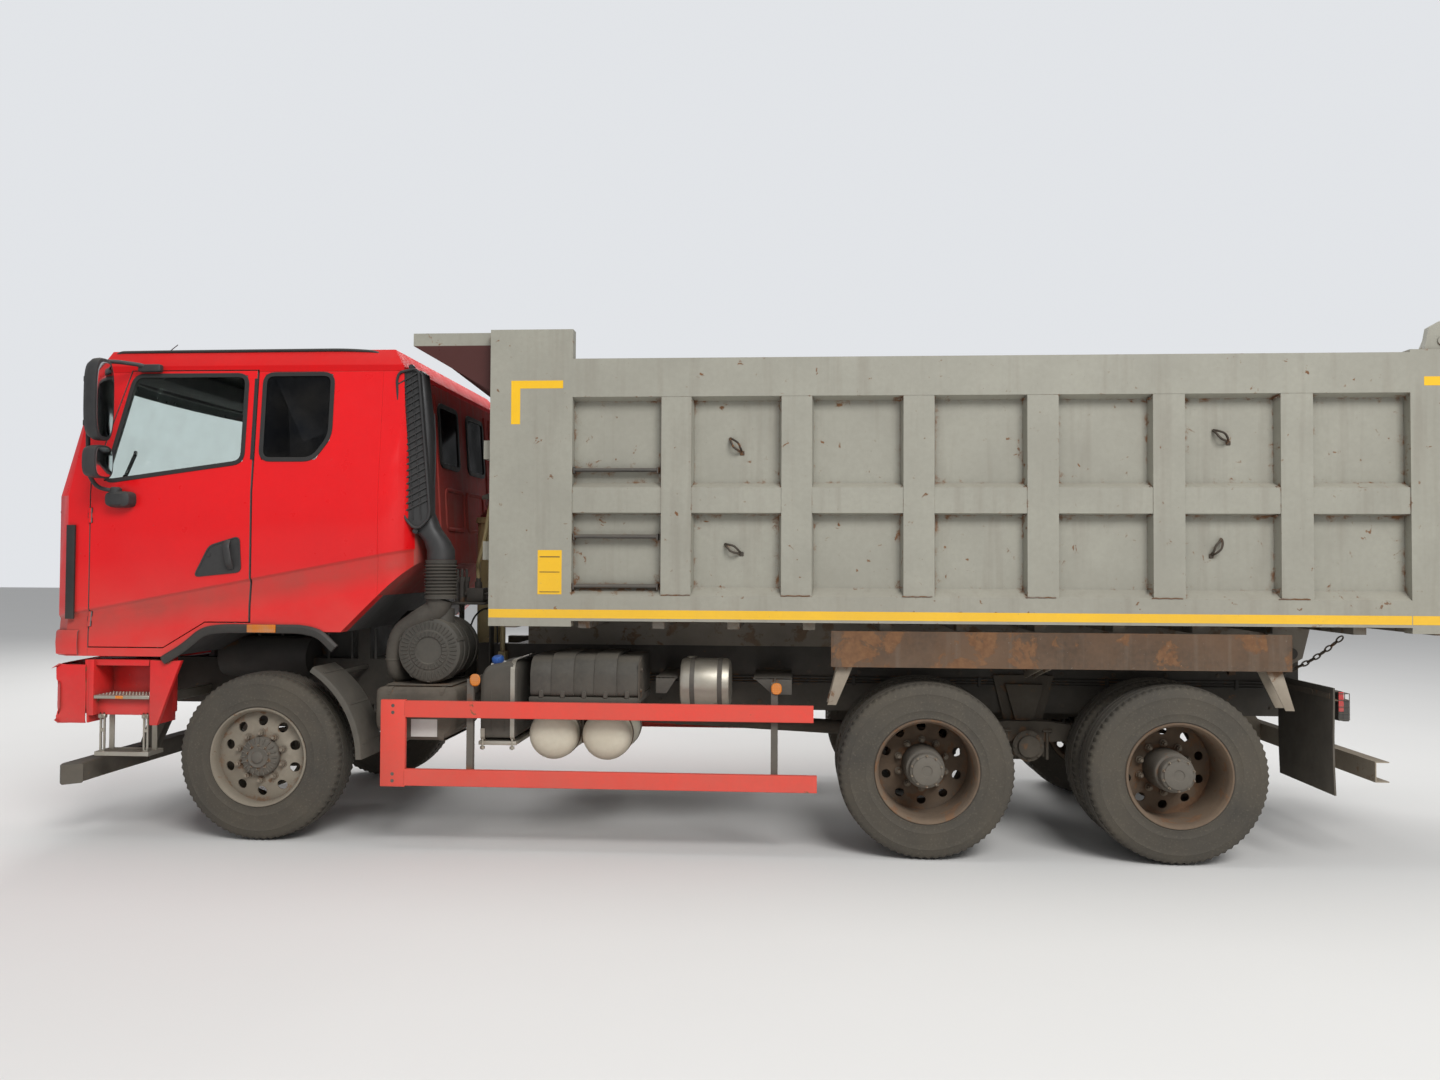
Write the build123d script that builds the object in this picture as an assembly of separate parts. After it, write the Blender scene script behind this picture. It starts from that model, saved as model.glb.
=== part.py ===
from build123d import *
from math import atan2, cos, degrees, hypot, radians, sin, sqrt
import os

# Six-wheel tipper: +X forward, +Y to its left, +Z up, millimetres.
# The origin is on the ground under the middle of its length.

# Axles and wheels
FRONT_AXLE_X = 2815
WHEELBASE = 3975
TANDEM_SPACING = 1400
MID_AXLE_X = FRONT_AXLE_X - WHEELBASE
REAR_AXLE_X = MID_AXLE_X - TANDEM_SPACING
TYRE_R = 505
TYRE_W = 276
BEAD_R = 285
RIM_FLANGE_R = 298
RIM_WALL = 12
FRONT_TYRE_Y = 1007
DUAL_Y = 948
DUAL_SPACING = 318
AXLE_Z = TYRE_R

RAIL_TOP = 2 * TYRE_R + 30

PINION_REACH = 300
PINION_Z = AXLE_Z + 60
BANJO_BACK = 120

# Clearances
SEAT_GAP = 0.3
RUN_FIT = 0.05
MOVING_GAP = 6

# Chassis ladder
RAIL_H = 300
RAIL_FLANGE = 90
RAIL_WALL = 10
RAIL_OUT = 430
RAIL_FRONT_X = FRONT_AXLE_X + 1020
SUBFRAME_H = 110
FRONT_TOW_REACH = 260
REAR_TOW_REACH = 225
TOW_Z = RAIL_TOP - 210
TOW_GAP = 80
TOW_PLATE = 25
TOW_PIN_R = 21
SUBFRAME_FRONT_X = FRONT_AXLE_X - 1130
SUBFRAME_TOP = RAIL_TOP + SUBFRAME_H

# Bed
BED_FRONT_X = FRONT_AXLE_X - 1430
BED_LENGTH = 5600
BED_REAR_X = BED_FRONT_X - BED_LENGTH
BED_HALF_W = 1245
RIB_DEPTH = 72
WALL_T = 10
BEAM_H = 150
BEARER_H = 96
FLOOR_T = 12
BEAM_BOTTOM = SUBFRAME_TOP + SEAT_GAP
BEARER_BOTTOM = BEAM_BOTTOM + BEAM_H
FLOOR_BOTTOM = BEARER_BOTTOM + BEARER_H
FLOOR_TOP = FLOOR_BOTTOM + FLOOR_T
SILL_BOTTOM = RAIL_TOP + 306
SILL_EDGE = RAIL_TOP + 455
SILL_TOP = RAIL_TOP + 507
MID_RAIL_BOTTOM = RAIL_TOP + 930
MID_RAIL_TOP = RAIL_TOP + 1085
TOP_RAIL_BOTTOM = RAIL_TOP + 1595
TOP_RAIL_TOP = RAIL_TOP + 1840
FRONT_POST_W = 490
FRONT_POST_TOP = RAIL_TOP + 2014
POST_BOTTOM = RAIL_TOP + 273
REAR_POST_W = 397
REAR_POST_TOP = RAIL_TOP + 1856
RIB_W = 175
BAYS = 7
CANOPY_REACH = 494
CANOPY_EDGE = 75
HINGE_X = BED_REAR_X + 715
# the rails reach behind the bed's hinge or the rear axle, whichever is further back
RAIL_REAR_X = min(HINGE_X - 70, REAR_AXLE_X - 1010)
HINGE_Z = SUBFRAME_TOP - 10
HINGE_PIN_R = 35
BED_ANGLE = 45

# Tailgate
GATE_T = 90
GATE_PIN_X = BED_REAR_X + 215
GATE_PIN_Z = RAIL_TOP + 1905
GATE_PIN_R = 24

# Hoist between cab and bed
HOIST_X = FRONT_AXLE_X - 1100
HOIST_BASE_Z = RAIL_TOP - 140
HOIST_TOP_Z = RAIL_TOP + 1060
HOIST_STAGES = 4
HOIST_R = 98
HOIST_STEP = 15
HOIST_PIN_R = 25
HOIST_FOOT = 20
STAGE_LIFT = 5
STAGE_HEAD = 18
TRUNNION_R = 45
TRUNNION_EAR_Y = HOIST_R + 10
TRUNNION_EAR_T = 25
EYE_R = HOIST_R - HOIST_STAGES * HOIST_STEP + 6
HOIST_COLLAR = EYE_R + (HOIST_STAGES - 1) * STAGE_HEAD + 2
EYE_EAR_Y = HOIST_R - 48
EYE_HALF_W = EYE_EAR_Y - 12
EYE_EAR_T = 25

# Cab
CAB_HALF_W = 1170
INTAKE_Y = CAB_HALF_W - 170
CAB_BOTTOM = RAIL_TOP + 65
CAB_ROOF = RAIL_TOP + 1952
CAB_WALL = 45
CAB_CORNER_X = FRONT_AXLE_X + 1290
CAB_NOSE_X = FRONT_AXLE_X + 1400
CAB_BACK_X = FRONT_AXLE_X - 930
SCREEN_BASE = RAIL_TOP + 1040
SCREEN_LEAN = 270
SIDE_BREAK_Z = RAIL_TOP + 1060
ROOF_HALF_W = CAB_HALF_W - 95
DOOR_FRONT_X = FRONT_AXLE_X + 1060
DOOR_REAR_X = FRONT_AXLE_X + 60
DOOR_TOP = RAIL_TOP + 1810
DOOR_BREAK_Z = RAIL_TOP + 1130
DOOR_BOTTOM = CAB_BOTTOM + CAB_WALL + 12
DOOR_GAP = 6
DOOR_REAR_GAP = 13
DOOR_PIN_R = 6
DOOR_BARREL_R = 11
HINGE_LEN = 90
HINGE_PLACES = (RAIL_TOP + 290, RAIL_TOP + 920)
CAB_HINGE_X = FRONT_AXLE_X + 1300
CAB_HINGE_Z = RAIL_TOP - 190
CAB_EAR_Y = 470
CAB_EAR_T = 40
CAB_PIN_R = 24
CAB_FLOOR_Z = RAIL_TOP + 222
CAB_BACK_R = 190
BUMPER_LEAD = 50
BUMPER_SIDE_LEAD = 10
BUMPER_TOP = RAIL_TOP + 15
BUMPER_BOTTOM = RAIL_TOP - 345
HEADLAMP_IN = 720
HEADLAMP_OUT = 1060
HEADLAMP_LOW = RAIL_TOP - 240
HEADLAMP_HIGH = RAIL_TOP - 110
ARCH_R = TYRE_R + 95

# Engine and gearbox, between the rails
ENGINE_HALF_W = 270
ENGINE_TOP = RAIL_TOP + 290
ENGINE_BOTTOM = RAIL_TOP - 450
ENGINE_FRONT_X = FRONT_AXLE_X + 760
ENGINE_BACK_X = FRONT_AXLE_X - 350
TUNNEL_GAP = 25
GEARBOX_HALF_W = 215
GEARBOX_TOP = RAIL_TOP - 10
GEARBOX_BOTTOM = RAIL_TOP - 440
GEARBOX_BACK_X = FRONT_AXLE_X - 960
GEAR_OUT_Z = RAIL_TOP - 350

# Front steering
KINGPIN_Y = 800
KINGPIN_R = 22
SPINDLE_R = 45
HUB_R = 118
DRUM_R = 205
ARM_BACK = 190
ARM_Z = AXLE_Z - 107
BALL_R = 12
TIE_R = 18


def between(x0, x1, y0, y1, z0, z1):
    """Block between two corners."""
    size = (abs(x1 - x0), abs(y1 - y0), abs(z1 - z0))
    return Pos((x0 + x1) / 2, (y0 + y1) / 2, (z0 + z1) / 2) * Box(*size)


def side_prism(points, y0, y1):
    """Outline of (x, z) points drawn out along Y from y0 to y1."""
    plane = Plane(origin=(0, max(y0, y1), 0), x_dir=(1, 0, 0), z_dir=(0, -1, 0))
    return extrude(plane * make_face(Polyline(*points, close=True)), abs(y1 - y0))


def plan_prism(points, z0, z1):
    """Outline of (x, y) points drawn up from z0 to z1."""
    return extrude(Pos(0, 0, z0) * make_face(Polyline(*points, close=True)), z1 - z0)


def front_prism(points, x0, x1):
    """Outline of (y, z) points drawn out along X from x0 to x1."""
    plane = Plane(origin=(min(x0, x1), 0, 0), x_dir=(0, 1, 0), z_dir=(1, 0, 0))
    return extrude(plane * make_face(Polyline(*points, close=True)), abs(x1 - x0))


def rod(start, end, radius):
    """Round bar between two points."""
    a = Vector(*start)
    b = Vector(*end)
    plane = Plane(origin=a, z_dir=b - a)
    return plane * Cylinder(radius, (b - a).length, align=(Align.CENTER, Align.CENTER, Align.MIN))


def ring(start, end, outer, inner):
    """Round tube between two points."""
    return rod(start, end, outer) - rod(start, end, inner)


def turned(profile, x, z):
    """Outline of (radius, y) points turned about the line along Y through (x, z)."""
    face = Plane.XY * make_face(Polyline(*profile, close=True))
    return Pos(x, 0, z) * revolve(face, Axis.Y)


def mirrored(shape):
    """The same shape on the truck's other side."""
    return mirror(shape, about=Plane.XZ)


def both(shape):
    """Left piece and its mirror image on the right."""
    return [shape, mirrored(shape)]


def save(name, *shapes):
    solids = []
    for shape in shapes:
        solids.extend(shape.solids())
    target = solids[0] if len(solids) == 1 else Compound(children=solids)
    target.label = name
    export_step(target, f"parts/{name}.step")


# Wheels


def tyre(x, y):
    """Tyre on its bead, with flat tread and sloped shoulders."""
    half = TYRE_W / 2
    # columns: radius, offset from the tyre's middle
    profile = [(BEAD_R, -half + 16), (400, -half), (TYRE_R, -half + 34),
               (TYRE_R, half - 34), (400, half), (BEAD_R, half - 16)]
    return turned([(r, y + w) for r, w in profile], x, AXLE_Z)


def rim_barrel(x, y):
    """Open barrel with a flange at each edge, seated in the tyre's bead."""
    seat = BEAD_R - SEAT_GAP
    half = TYRE_W / 2
    bore = seat - RIM_WALL
    profile = [(bore, -half - 2), (RIM_FLANGE_R, -half - 2), (RIM_FLANGE_R, -half + 12),
               (seat, -half + 12), (seat, half - 12), (RIM_FLANGE_R, half - 12),
               (RIM_FLANGE_R, half + 2), (bore, half + 2)]
    return turned([(r, y + w) for r, w in profile], x, AXLE_Z)


def hand_holes(x, y0, y1, radius, size, count=10):
    """Round of windows through a wheel disc."""
    hole = Pos(x, y0, AXLE_Z) * Rot(90, 0, 0) * extrude(Pos(radius, 0) * RegularPolygon(size, 4), y0 - y1)
    cuts = []
    for i in range(count):
        cuts.append(Pos(x, 0, AXLE_Z) * Rot(0, 360 / count * (i + 0.5), 0) * Pos(-x, 0, -AXLE_Z) * hole)
    return cuts


def front_rim(side):
    """Front wheel's steel disc near its outer edge, with its hub and drum."""
    x = FRONT_AXLE_X
    y = FRONT_TYRE_Y
    inner = BEAD_R - SEAT_GAP - RIM_WALL
    barrel = rim_barrel(x, y)
    sheet = [(HUB_R - 1, y + 70), (HUB_R - 1, y + 84), (inner + 1, y + 84), (inner + 1, y + 70)]
    disc = turned(sheet, x, AXLE_Z)
    for cut in hand_holes(x, y + 120, y, 215, 30):
        disc -= cut
    hub = rod((x, y - 90, AXLE_Z), (x, y + 128, AXLE_Z), HUB_R)
    cap = rod((x, y + 128, AXLE_Z), (x, y + 150, AXLE_Z), 62)
    bore = rod((x, y - 91, AXLE_Z), (x, y + 90, AXLE_Z), SPINDLE_R + RUN_FIT)
    drum = ring((x, y - 132, AXLE_Z), (x, y - 20, AXLE_Z), DRUM_R, DRUM_R - 18)
    drum_web = ring((x, y - 34, AXLE_Z), (x, y - 20, AXLE_Z), DRUM_R - 1, HUB_R - 1)
    wheel = barrel + disc + hub + cap + drum + drum_web - bore
    return wheel if side == "left" else mirrored(wheel)


def dual_rim(x, side):
    """Two barrels on discs bolted back to back, with the deep dish and long hub outside."""
    inner = BEAD_R - SEAT_GAP - RIM_WALL
    y = DUAL_Y
    outer_y = y + DUAL_SPACING / 2
    inner_y = y - DUAL_SPACING / 2
    seat = inner + RIM_WALL
    half = TYRE_W / 2
    flange = RIM_FLANGE_R
    profile = [(inner, inner_y - half - 2)]
    for middle in (inner_y, outer_y):
        profile += [(flange, middle - half - 2), (flange, middle - half + 12), (seat, middle - half + 12),
                    (seat, middle + half - 12), (flange, middle + half - 12), (flange, middle + half + 2)]
        if middle == inner_y:
            profile += [(seat, inner_y + half + 2), (seat, outer_y - half - 2)]
    profile.append((inner, outer_y + half + 2))
    wheel = turned(profile, x, AXLE_Z)
    sheet = [(HUB_R - 1, y - 12), (inner + 1, y - 12), (inner + 1, y + 12), (HUB_R - 1, y + 12)]
    disc = turned(sheet, x, AXLE_Z)
    for cut in hand_holes(x, y + 120, y - 120, 222, 26):
        disc -= cut
    hub = rod((x, y - 150, AXLE_Z), (x, outer_y + 60, AXLE_Z), HUB_R)
    cap = rod((x, outer_y + 60, AXLE_Z), (x, outer_y + 125, AXLE_Z), 96)
    bore = rod((x, y - 151, AXLE_Z), (x, y + 120, AXLE_Z), SPINDLE_R + RUN_FIT)
    drum = ring((x, y - 250, AXLE_Z), (x, y - 60, AXLE_Z), DRUM_R, DRUM_R - 18)
    drum_web = ring((x, y - 74, AXLE_Z), (x, y - 60, AXLE_Z), DRUM_R - 1, HUB_R - 1)
    wheel = wheel + disc + hub + cap + drum + drum_web - bore
    return wheel if side == "left" else mirrored(wheel)


def wheels():
    for side in ("left", "right"):
        sign = 1 if side == "left" else -1
        save(f"front_{side}_tyre", tyre(FRONT_AXLE_X, sign * FRONT_TYRE_Y))
        save(f"front_{side}_rim", front_rim(side))
        for axle, x in (("mid", MID_AXLE_X), ("rear", REAR_AXLE_X)):
            pair = [tyre(x, sign * (DUAL_Y + d * DUAL_SPACING / 2)) for d in (-1, 1)]
            save(f"{axle}_{side}_tyres", *pair)
            save(f"{axle}_{side}_rims", dual_rim(x, side))


# Running gear


def knuckle(side):
    """Steering knuckle: spindle, forked ears, kingpin and steering arm."""
    x = FRONT_AXLE_X
    y = KINGPIN_Y
    ear_in = 62
    ear_out = 98
    body = between(x - 50, x + 50, y + 48, y + 75, AXLE_Z - ear_out, AXLE_Z + ear_out)
    for z0, z1 in ((ear_in, ear_out), (-ear_out, -ear_in)):
        body += between(x - 42, x + 42, y - 42, y + 60, AXLE_Z + z0, AXLE_Z + z1)
    body += rod((x, y, AXLE_Z - ear_out), (x, y, AXLE_Z + ear_out), KINGPIN_R)
    body += rod((x, y + 60, AXLE_Z), (x, FRONT_TYRE_Y + 80, AXLE_Z), SPINDLE_R)
    body += plan_prism([(x - 30, y - 38), (x - 30, y + 38), (x - ARM_BACK - 20, y + 25),
                        (x - ARM_BACK - 20, y - 25)], ARM_Z, ARM_Z + 24)
    body += rod((x - ARM_BACK, y, ARM_Z - 64), (x - ARM_BACK, y, ARM_Z + 2), BALL_R)
    return body if side == "left" else mirrored(body)


def tie_rod():
    """Track rod between the two steering arms, with an eye at each end."""
    x = FRONT_AXLE_X - ARM_BACK
    y = KINGPIN_Y
    z = ARM_Z - 40
    bar = rod((x, -y, z), (x, y, z), TIE_R)
    for sign in (1, -1):
        bar += rod((x, sign * y, z - 22), (x, sign * y, z + 22), 30)
    for sign in (1, -1):
        bar -= rod((x, sign * y, z - 30), (x, sign * y, z + 30), BALL_R + SEAT_GAP)
    return bar


def front_axle():
    """Dropped forged beam with an eye for each kingpin."""
    x = FRONT_AXLE_X
    y = KINGPIN_Y
    z = AXLE_Z
    # columns: distance from the middle, beam's top, beam's bottom
    stations = [(0, z - 20, z - 130), (550, z - 20, z - 130), (y - 60, z + 55, z - 55),
                (y - 30, z + 55, z - 55)]
    top = [(-d, t) for d, t, b in reversed(stations)] + [(d, t) for d, t, b in stations[1:]]
    low = [(d, b) for d, t, b in reversed(stations)] + [(-d, b) for d, t, b in stations[1:]]
    beam = front_prism(top + low, x - 45, x + 45)
    for sign in (1, -1):
        beam += rod((x, sign * y, z - 55), (x, sign * y, z + 55), 44)
        beam -= rod((x, sign * y, z - 60), (x, sign * y, z + 60), KINGPIN_R + RUN_FIT)
    return beam


def driven_axle(x):
    """Axle casing with a round banjo in the middle and a spindle at each end."""
    casing = between(x - 75, x + 75, -DUAL_Y + 262, DUAL_Y - 262, AXLE_Z - 75, AXLE_Z + 75)
    casing += rod((x - BANJO_BACK, 0, AXLE_Z), (x + 130, 0, AXLE_Z), 215)
    casing += rod((x + 129, 0, PINION_Z), (x + PINION_REACH, 0, PINION_Z), 95)
    casing += rod((x, -DUAL_Y - 110, AXLE_Z), (x, DUAL_Y + 110, AXLE_Z), SPINDLE_R)
    for sign in (1, -1):
        casing += rod((x, sign * (DUAL_Y - 262), AXLE_Z), (x, sign * (DUAL_Y - 160), AXLE_Z), 80)
    return casing


def leaf_springs():
    """Front springs under the rails and the tandem's springs on their middle trunnions."""
    solids = []
    x = FRONT_AXLE_X
    z = AXLE_Z - 20 + SEAT_GAP
    y0 = RAIL_OUT - RAIL_FLANGE
    y1 = RAIL_OUT
    reach = 720
    eye_z = RAIL_TOP - RAIL_H - 60
    low = ThreePointArc((x - reach, eye_z - 14), (x, z), (x + reach, eye_z - 14))
    high = Polyline((x + reach, eye_z + 10), (x + 260, z + 75), (x + 90, z + 100), (x - 90, z + 100),
                    (x - 260, z + 75), (x - reach, eye_z + 10))
    plane = Plane(origin=(0, y1, 0), x_dir=(1, 0, 0), z_dir=(0, -1, 0))
    face = make_face([low, Line((x + reach, eye_z - 14), (x + reach, eye_z + 10)), high,
                      Line((x - reach, eye_z + 10), (x - reach, eye_z - 14))])
    spring = extrude(plane * face, y1 - y0)
    for end in (-reach, reach):
        spring += rod((x + end, y0, eye_z), (x + end, y1, eye_z), 34)
        hanger = between(x + end - 30, x + end + 30, y0, y0 + 12, eye_z - 20, RAIL_TOP - RAIL_H - SEAT_GAP)
        spring += hanger
    solids += both(spring)
    mid = (MID_AXLE_X + REAR_AXLE_X) / 2
    seat = AXLE_Z + 75 + SEAT_GAP
    half = TANDEM_SPACING / 2
    outline = [(mid - half - 90, seat), (mid + half + 90, seat), (mid + half + 90, seat + 30),
               (mid + 130, seat + 125), (mid - 130, seat + 125), (mid - half - 90, seat + 30)]
    outline_low = side_prism(outline, 470, 560)
    trunnion = rod((mid, RAIL_OUT + SEAT_GAP, seat - 60), (mid, 590, seat - 60), 62)
    outline_low += trunnion
    bracket = side_prism([(mid - 190, RAIL_TOP - 60), (mid + 190, RAIL_TOP - 60), (mid + 60, seat - 130),
                          (mid - 60, seat - 130)], RAIL_OUT + SEAT_GAP, RAIL_OUT + 30)
    solids += both(outline_low + bracket)
    return solids


def propeller_shafts():
    """Tube from the gearbox to the middle axle, and the short one between the driven axles."""
    solids = []
    # columns: start x, start z, end x, end z
    ends = ((GEARBOX_BACK_X - SEAT_GAP, GEAR_OUT_Z, MID_AXLE_X + PINION_REACH + SEAT_GAP, PINION_Z),
            (MID_AXLE_X - BANJO_BACK - SEAT_GAP, AXLE_Z + 40,
             REAR_AXLE_X + PINION_REACH + SEAT_GAP, PINION_Z))
    for x0, z0, x1, z1 in ends:
        tube = rod((x0 - 15, 0, z0), (x1 + 15, 0, z1), 48)
        tube += rod((x0, 0, z0), (x0 - 30, 0, z0), 80)
        tube += rod((x1 + 30, 0, z1), (x1, 0, z1), 80)
        solids.append(tube)
    return solids


def engine():
    """Plain block for engine and gearbox, between the rails."""
    block = between(ENGINE_BACK_X, ENGINE_FRONT_X, -ENGINE_HALF_W, ENGINE_HALF_W, ENGINE_BOTTOM, ENGINE_TOP)
    gearbox = between(GEARBOX_BACK_X, ENGINE_BACK_X + 1, -GEARBOX_HALF_W, GEARBOX_HALF_W,
                      GEARBOX_BOTTOM, GEARBOX_TOP)
    web = RAIL_OUT - RAIL_WALL - SEAT_GAP
    mounts = None
    for x in (ENGINE_FRONT_X - 220, GEARBOX_BACK_X + 100):
        mount = between(x, x + 80, -web, web, RAIL_TOP - 180, RAIL_TOP - 100)
        mounts = mount if mounts is None else mounts + mount
    return block + gearbox + mounts


# Chassis


def rail(y_sign):
    """One channel of the ladder, open towards the middle."""
    length = RAIL_FRONT_X - RAIL_REAR_X
    outer = between(RAIL_FRONT_X, RAIL_REAR_X, RAIL_OUT - RAIL_FLANGE, RAIL_OUT, RAIL_TOP - RAIL_H, RAIL_TOP)
    inner = between(RAIL_FRONT_X + 1, RAIL_REAR_X - 1, RAIL_OUT - RAIL_FLANGE - 1, RAIL_OUT - RAIL_WALL,
                    RAIL_TOP - RAIL_H + RAIL_WALL, RAIL_TOP - RAIL_WALL)
    channel = outer - inner
    return channel if y_sign > 0 else mirrored(channel)


def cab_mounts():
    """Front hinge brackets with their pins, and the rear posts that the cab rests on."""
    near = CAB_EAR_Y - MOVING_GAP
    far = CAB_EAR_Y + CAB_EAR_T + MOVING_GAP
    y_in = near - CAB_EAR_T
    bracket = side_prism([(RAIL_FRONT_X - 60, RAIL_TOP - RAIL_H + 30), (RAIL_FRONT_X - 60, RAIL_TOP - 60),
                          (CAB_HINGE_X, CAB_HINGE_Z + 40), (CAB_HINGE_X + 40, CAB_HINGE_Z),
                          (CAB_HINGE_X, CAB_HINGE_Z - 40)], y_in, near)
    bracket += rod((CAB_HINGE_X, y_in, CAB_HINGE_Z), (CAB_HINGE_X, far + 6, CAB_HINGE_Z), CAB_PIN_R)
    post_x = CAB_BACK_X + 530
    post = between(post_x, post_x + 80, RAIL_OUT - RAIL_FLANGE, RAIL_OUT,
                   RAIL_TOP - 1, CAB_FLOOR_Z - SEAT_GAP)
    return both(bracket) + both(post)


def chassis_frame():
    """Ladder of two channels with its cross members and the towing cross member behind."""
    frame = rail(1) + rail(-1)
    mid = (MID_AXLE_X + REAR_AXLE_X) / 2
    # columns: x of the cross member, its half length along x, bottom, top
    low = RAIL_TOP - 280
    half_way = RAIL_TOP - 140
    high = RAIL_TOP - 10
    members = [(RAIL_FRONT_X - 60, 50, low, half_way), (FRONT_AXLE_X - 1650, 40, half_way, high),
               (MID_AXLE_X + 700, 40, half_way, high), (mid, 110, low, high),
               (RAIL_REAR_X + 160, 40, low, high)]
    web = RAIL_OUT - RAIL_WALL
    for x, half, z0, z1 in members:
        frame += between(x - half, x + half, -web - 1, web + 1, z0, z1)
    frame += between(RAIL_REAR_X, RAIL_REAR_X + 20, -web - 1, web + 1, RAIL_TOP - 280, RAIL_TOP - 10)
    saddle_top = HOIST_BASE_Z - TRUNNION_R - MOVING_GAP
    frame += between(HOIST_X - 80, HOIST_X + 80, -web - 1, web + 1, saddle_top - 60, saddle_top)
    for sign in (1, -1):
        frame += side_prism([(HOIST_X - 60, saddle_top - 1), (HOIST_X + 60, saddle_top - 1),
                             (HOIST_X + 38, HOIST_BASE_Z + 38), (HOIST_X - 38, HOIST_BASE_Z + 38)],
                            TRUNNION_EAR_Y * sign, (TRUNNION_EAR_Y + TRUNNION_EAR_T) * sign)
    ear_end = TRUNNION_EAR_Y + TRUNNION_EAR_T + 1
    frame -= rod((HOIST_X, -ear_end, HOIST_BASE_Z), (HOIST_X, ear_end, HOIST_BASE_Z), HOIST_PIN_R + RUN_FIT)
    rear_eye = RAIL_REAR_X - REAR_TOW_REACH
    front_eye = RAIL_FRONT_X + FRONT_TOW_REACH
    for x, root in ((rear_eye, RAIL_REAR_X + 1), (front_eye, RAIL_FRONT_X - 61)):
        for z in (TOW_Z - TOW_GAP / 2 - TOW_PLATE, TOW_Z + TOW_GAP / 2):
            frame += between(x, root, -60, 60, z, z + TOW_PLATE)
            frame += rod((x, 0, z), (x, 0, z + TOW_PLATE), 60)
        frame -= rod((x, 0, TOW_Z - 200), (x, 0, TOW_Z + 200), TOW_PIN_R)
    for piece in cab_mounts():
        frame += piece
    return frame


def bed_subframe():
    """Long members bolted on the ladder, with the hinge brackets and pin for the bed."""
    solids = []
    y0 = RAIL_OUT - RAIL_FLANGE
    y1 = RAIL_OUT
    base = RAIL_TOP
    runner = between(RAIL_REAR_X, SUBFRAME_FRONT_X, y0, y1, base, SUBFRAME_TOP)
    runner -= between(HINGE_X - 200, HINGE_X + 60, y0 - 1, y1 + 1, SUBFRAME_TOP - 60, SUBFRAME_TOP + 1)
    frame = runner + mirrored(runner)
    bracket = side_prism([(HINGE_X - 70, base), (HINGE_X + 110, base), (HINGE_X + 55, HINGE_Z + 30),
                          (HINGE_X, HINGE_Z + 55), (HINGE_X - 50, HINGE_Z + 25)], y0, y1)
    frame += bracket + mirrored(bracket)
    frame += rod((HINGE_X, -505, HINGE_Z), (HINGE_X, 505, HINGE_Z), HINGE_PIN_R)
    for x in (BED_FRONT_X + 60, BED_FRONT_X - 1200, MID_AXLE_X):
        frame += between(x - 40, x + 40, -y1 + 1, y1 - 1, base + 5, SUBFRAME_TOP - 15)
    return frame


# Hoist


def hoist_travel():
    """Tilt in degrees and growth in length that carry the hoist's eye to the raised bed."""
    up = HOIST_TOP_Z - HINGE_Z
    ahead = HOIST_X - HINGE_X
    angle = radians(BED_ANGLE)
    eye_x = HINGE_X + ahead * cos(angle) - up * sin(angle)
    eye_z = HINGE_Z + ahead * sin(angle) + up * cos(angle)
    run = HOIST_X - eye_x
    rise = eye_z - HOIST_BASE_Z
    return degrees(atan2(run, rise)), hypot(run, rise) - (HOIST_TOP_Z - HOIST_BASE_Z)


def hoist():
    """Telescopic cylinder: outer tube on its trunnion and nested stages up to the eye."""
    foot = HOIST_BASE_Z + HOIST_FOOT
    plate = TRUNNION_R - HOIST_FOOT + 1
    collar = 40
    head = HOIST_TOP_Z - HOIST_COLLAR
    bore = HOIST_R - HOIST_STEP + RUN_FIT
    ear_end = TRUNNION_EAR_Y + TRUNNION_EAR_T
    tube = ring((HOIST_X, 0, foot), (HOIST_X, 0, head), HOIST_R, bore)
    tube += rod((HOIST_X, 0, foot), (HOIST_X, 0, foot + plate), HOIST_R)
    tube += ring((HOIST_X, 0, head - collar), (HOIST_X, 0, head), HOIST_R + 10, bore)
    trunnion_half = TRUNNION_EAR_Y - MOVING_GAP
    tube += rod((HOIST_X, -trunnion_half, HOIST_BASE_Z), (HOIST_X, trunnion_half, HOIST_BASE_Z), TRUNNION_R)
    tube += rod((HOIST_X, -ear_end, HOIST_BASE_Z), (HOIST_X, ear_end, HOIST_BASE_Z), HOIST_PIN_R)
    save("hoist_tube", tube)
    for stage in range(1, HOIST_STAGES + 1):
        outer = HOIST_R - HOIST_STEP * stage
        start = foot + plate + STAGE_LIFT * stage
        top = head + STAGE_HEAD * stage
        if stage < HOIST_STAGES:
            piece = ring((HOIST_X, 0, start), (HOIST_X, 0, top), outer, outer - HOIST_STEP + RUN_FIT)
        else:
            piece = rod((HOIST_X, 0, start), (HOIST_X, 0, HOIST_TOP_Z), outer)
            piece += rod((HOIST_X, -EYE_HALF_W, HOIST_TOP_Z), (HOIST_X, EYE_HALF_W, HOIST_TOP_Z), EYE_R)
            pin_half = EYE_EAR_Y + EYE_EAR_T + MOVING_GAP
            piece += rod((HOIST_X, -pin_half, HOIST_TOP_Z), (HOIST_X, pin_half, HOIST_TOP_Z), HOIST_PIN_R)
        save(f"hoist_stage_{stage}", piece)


# Bed


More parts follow.
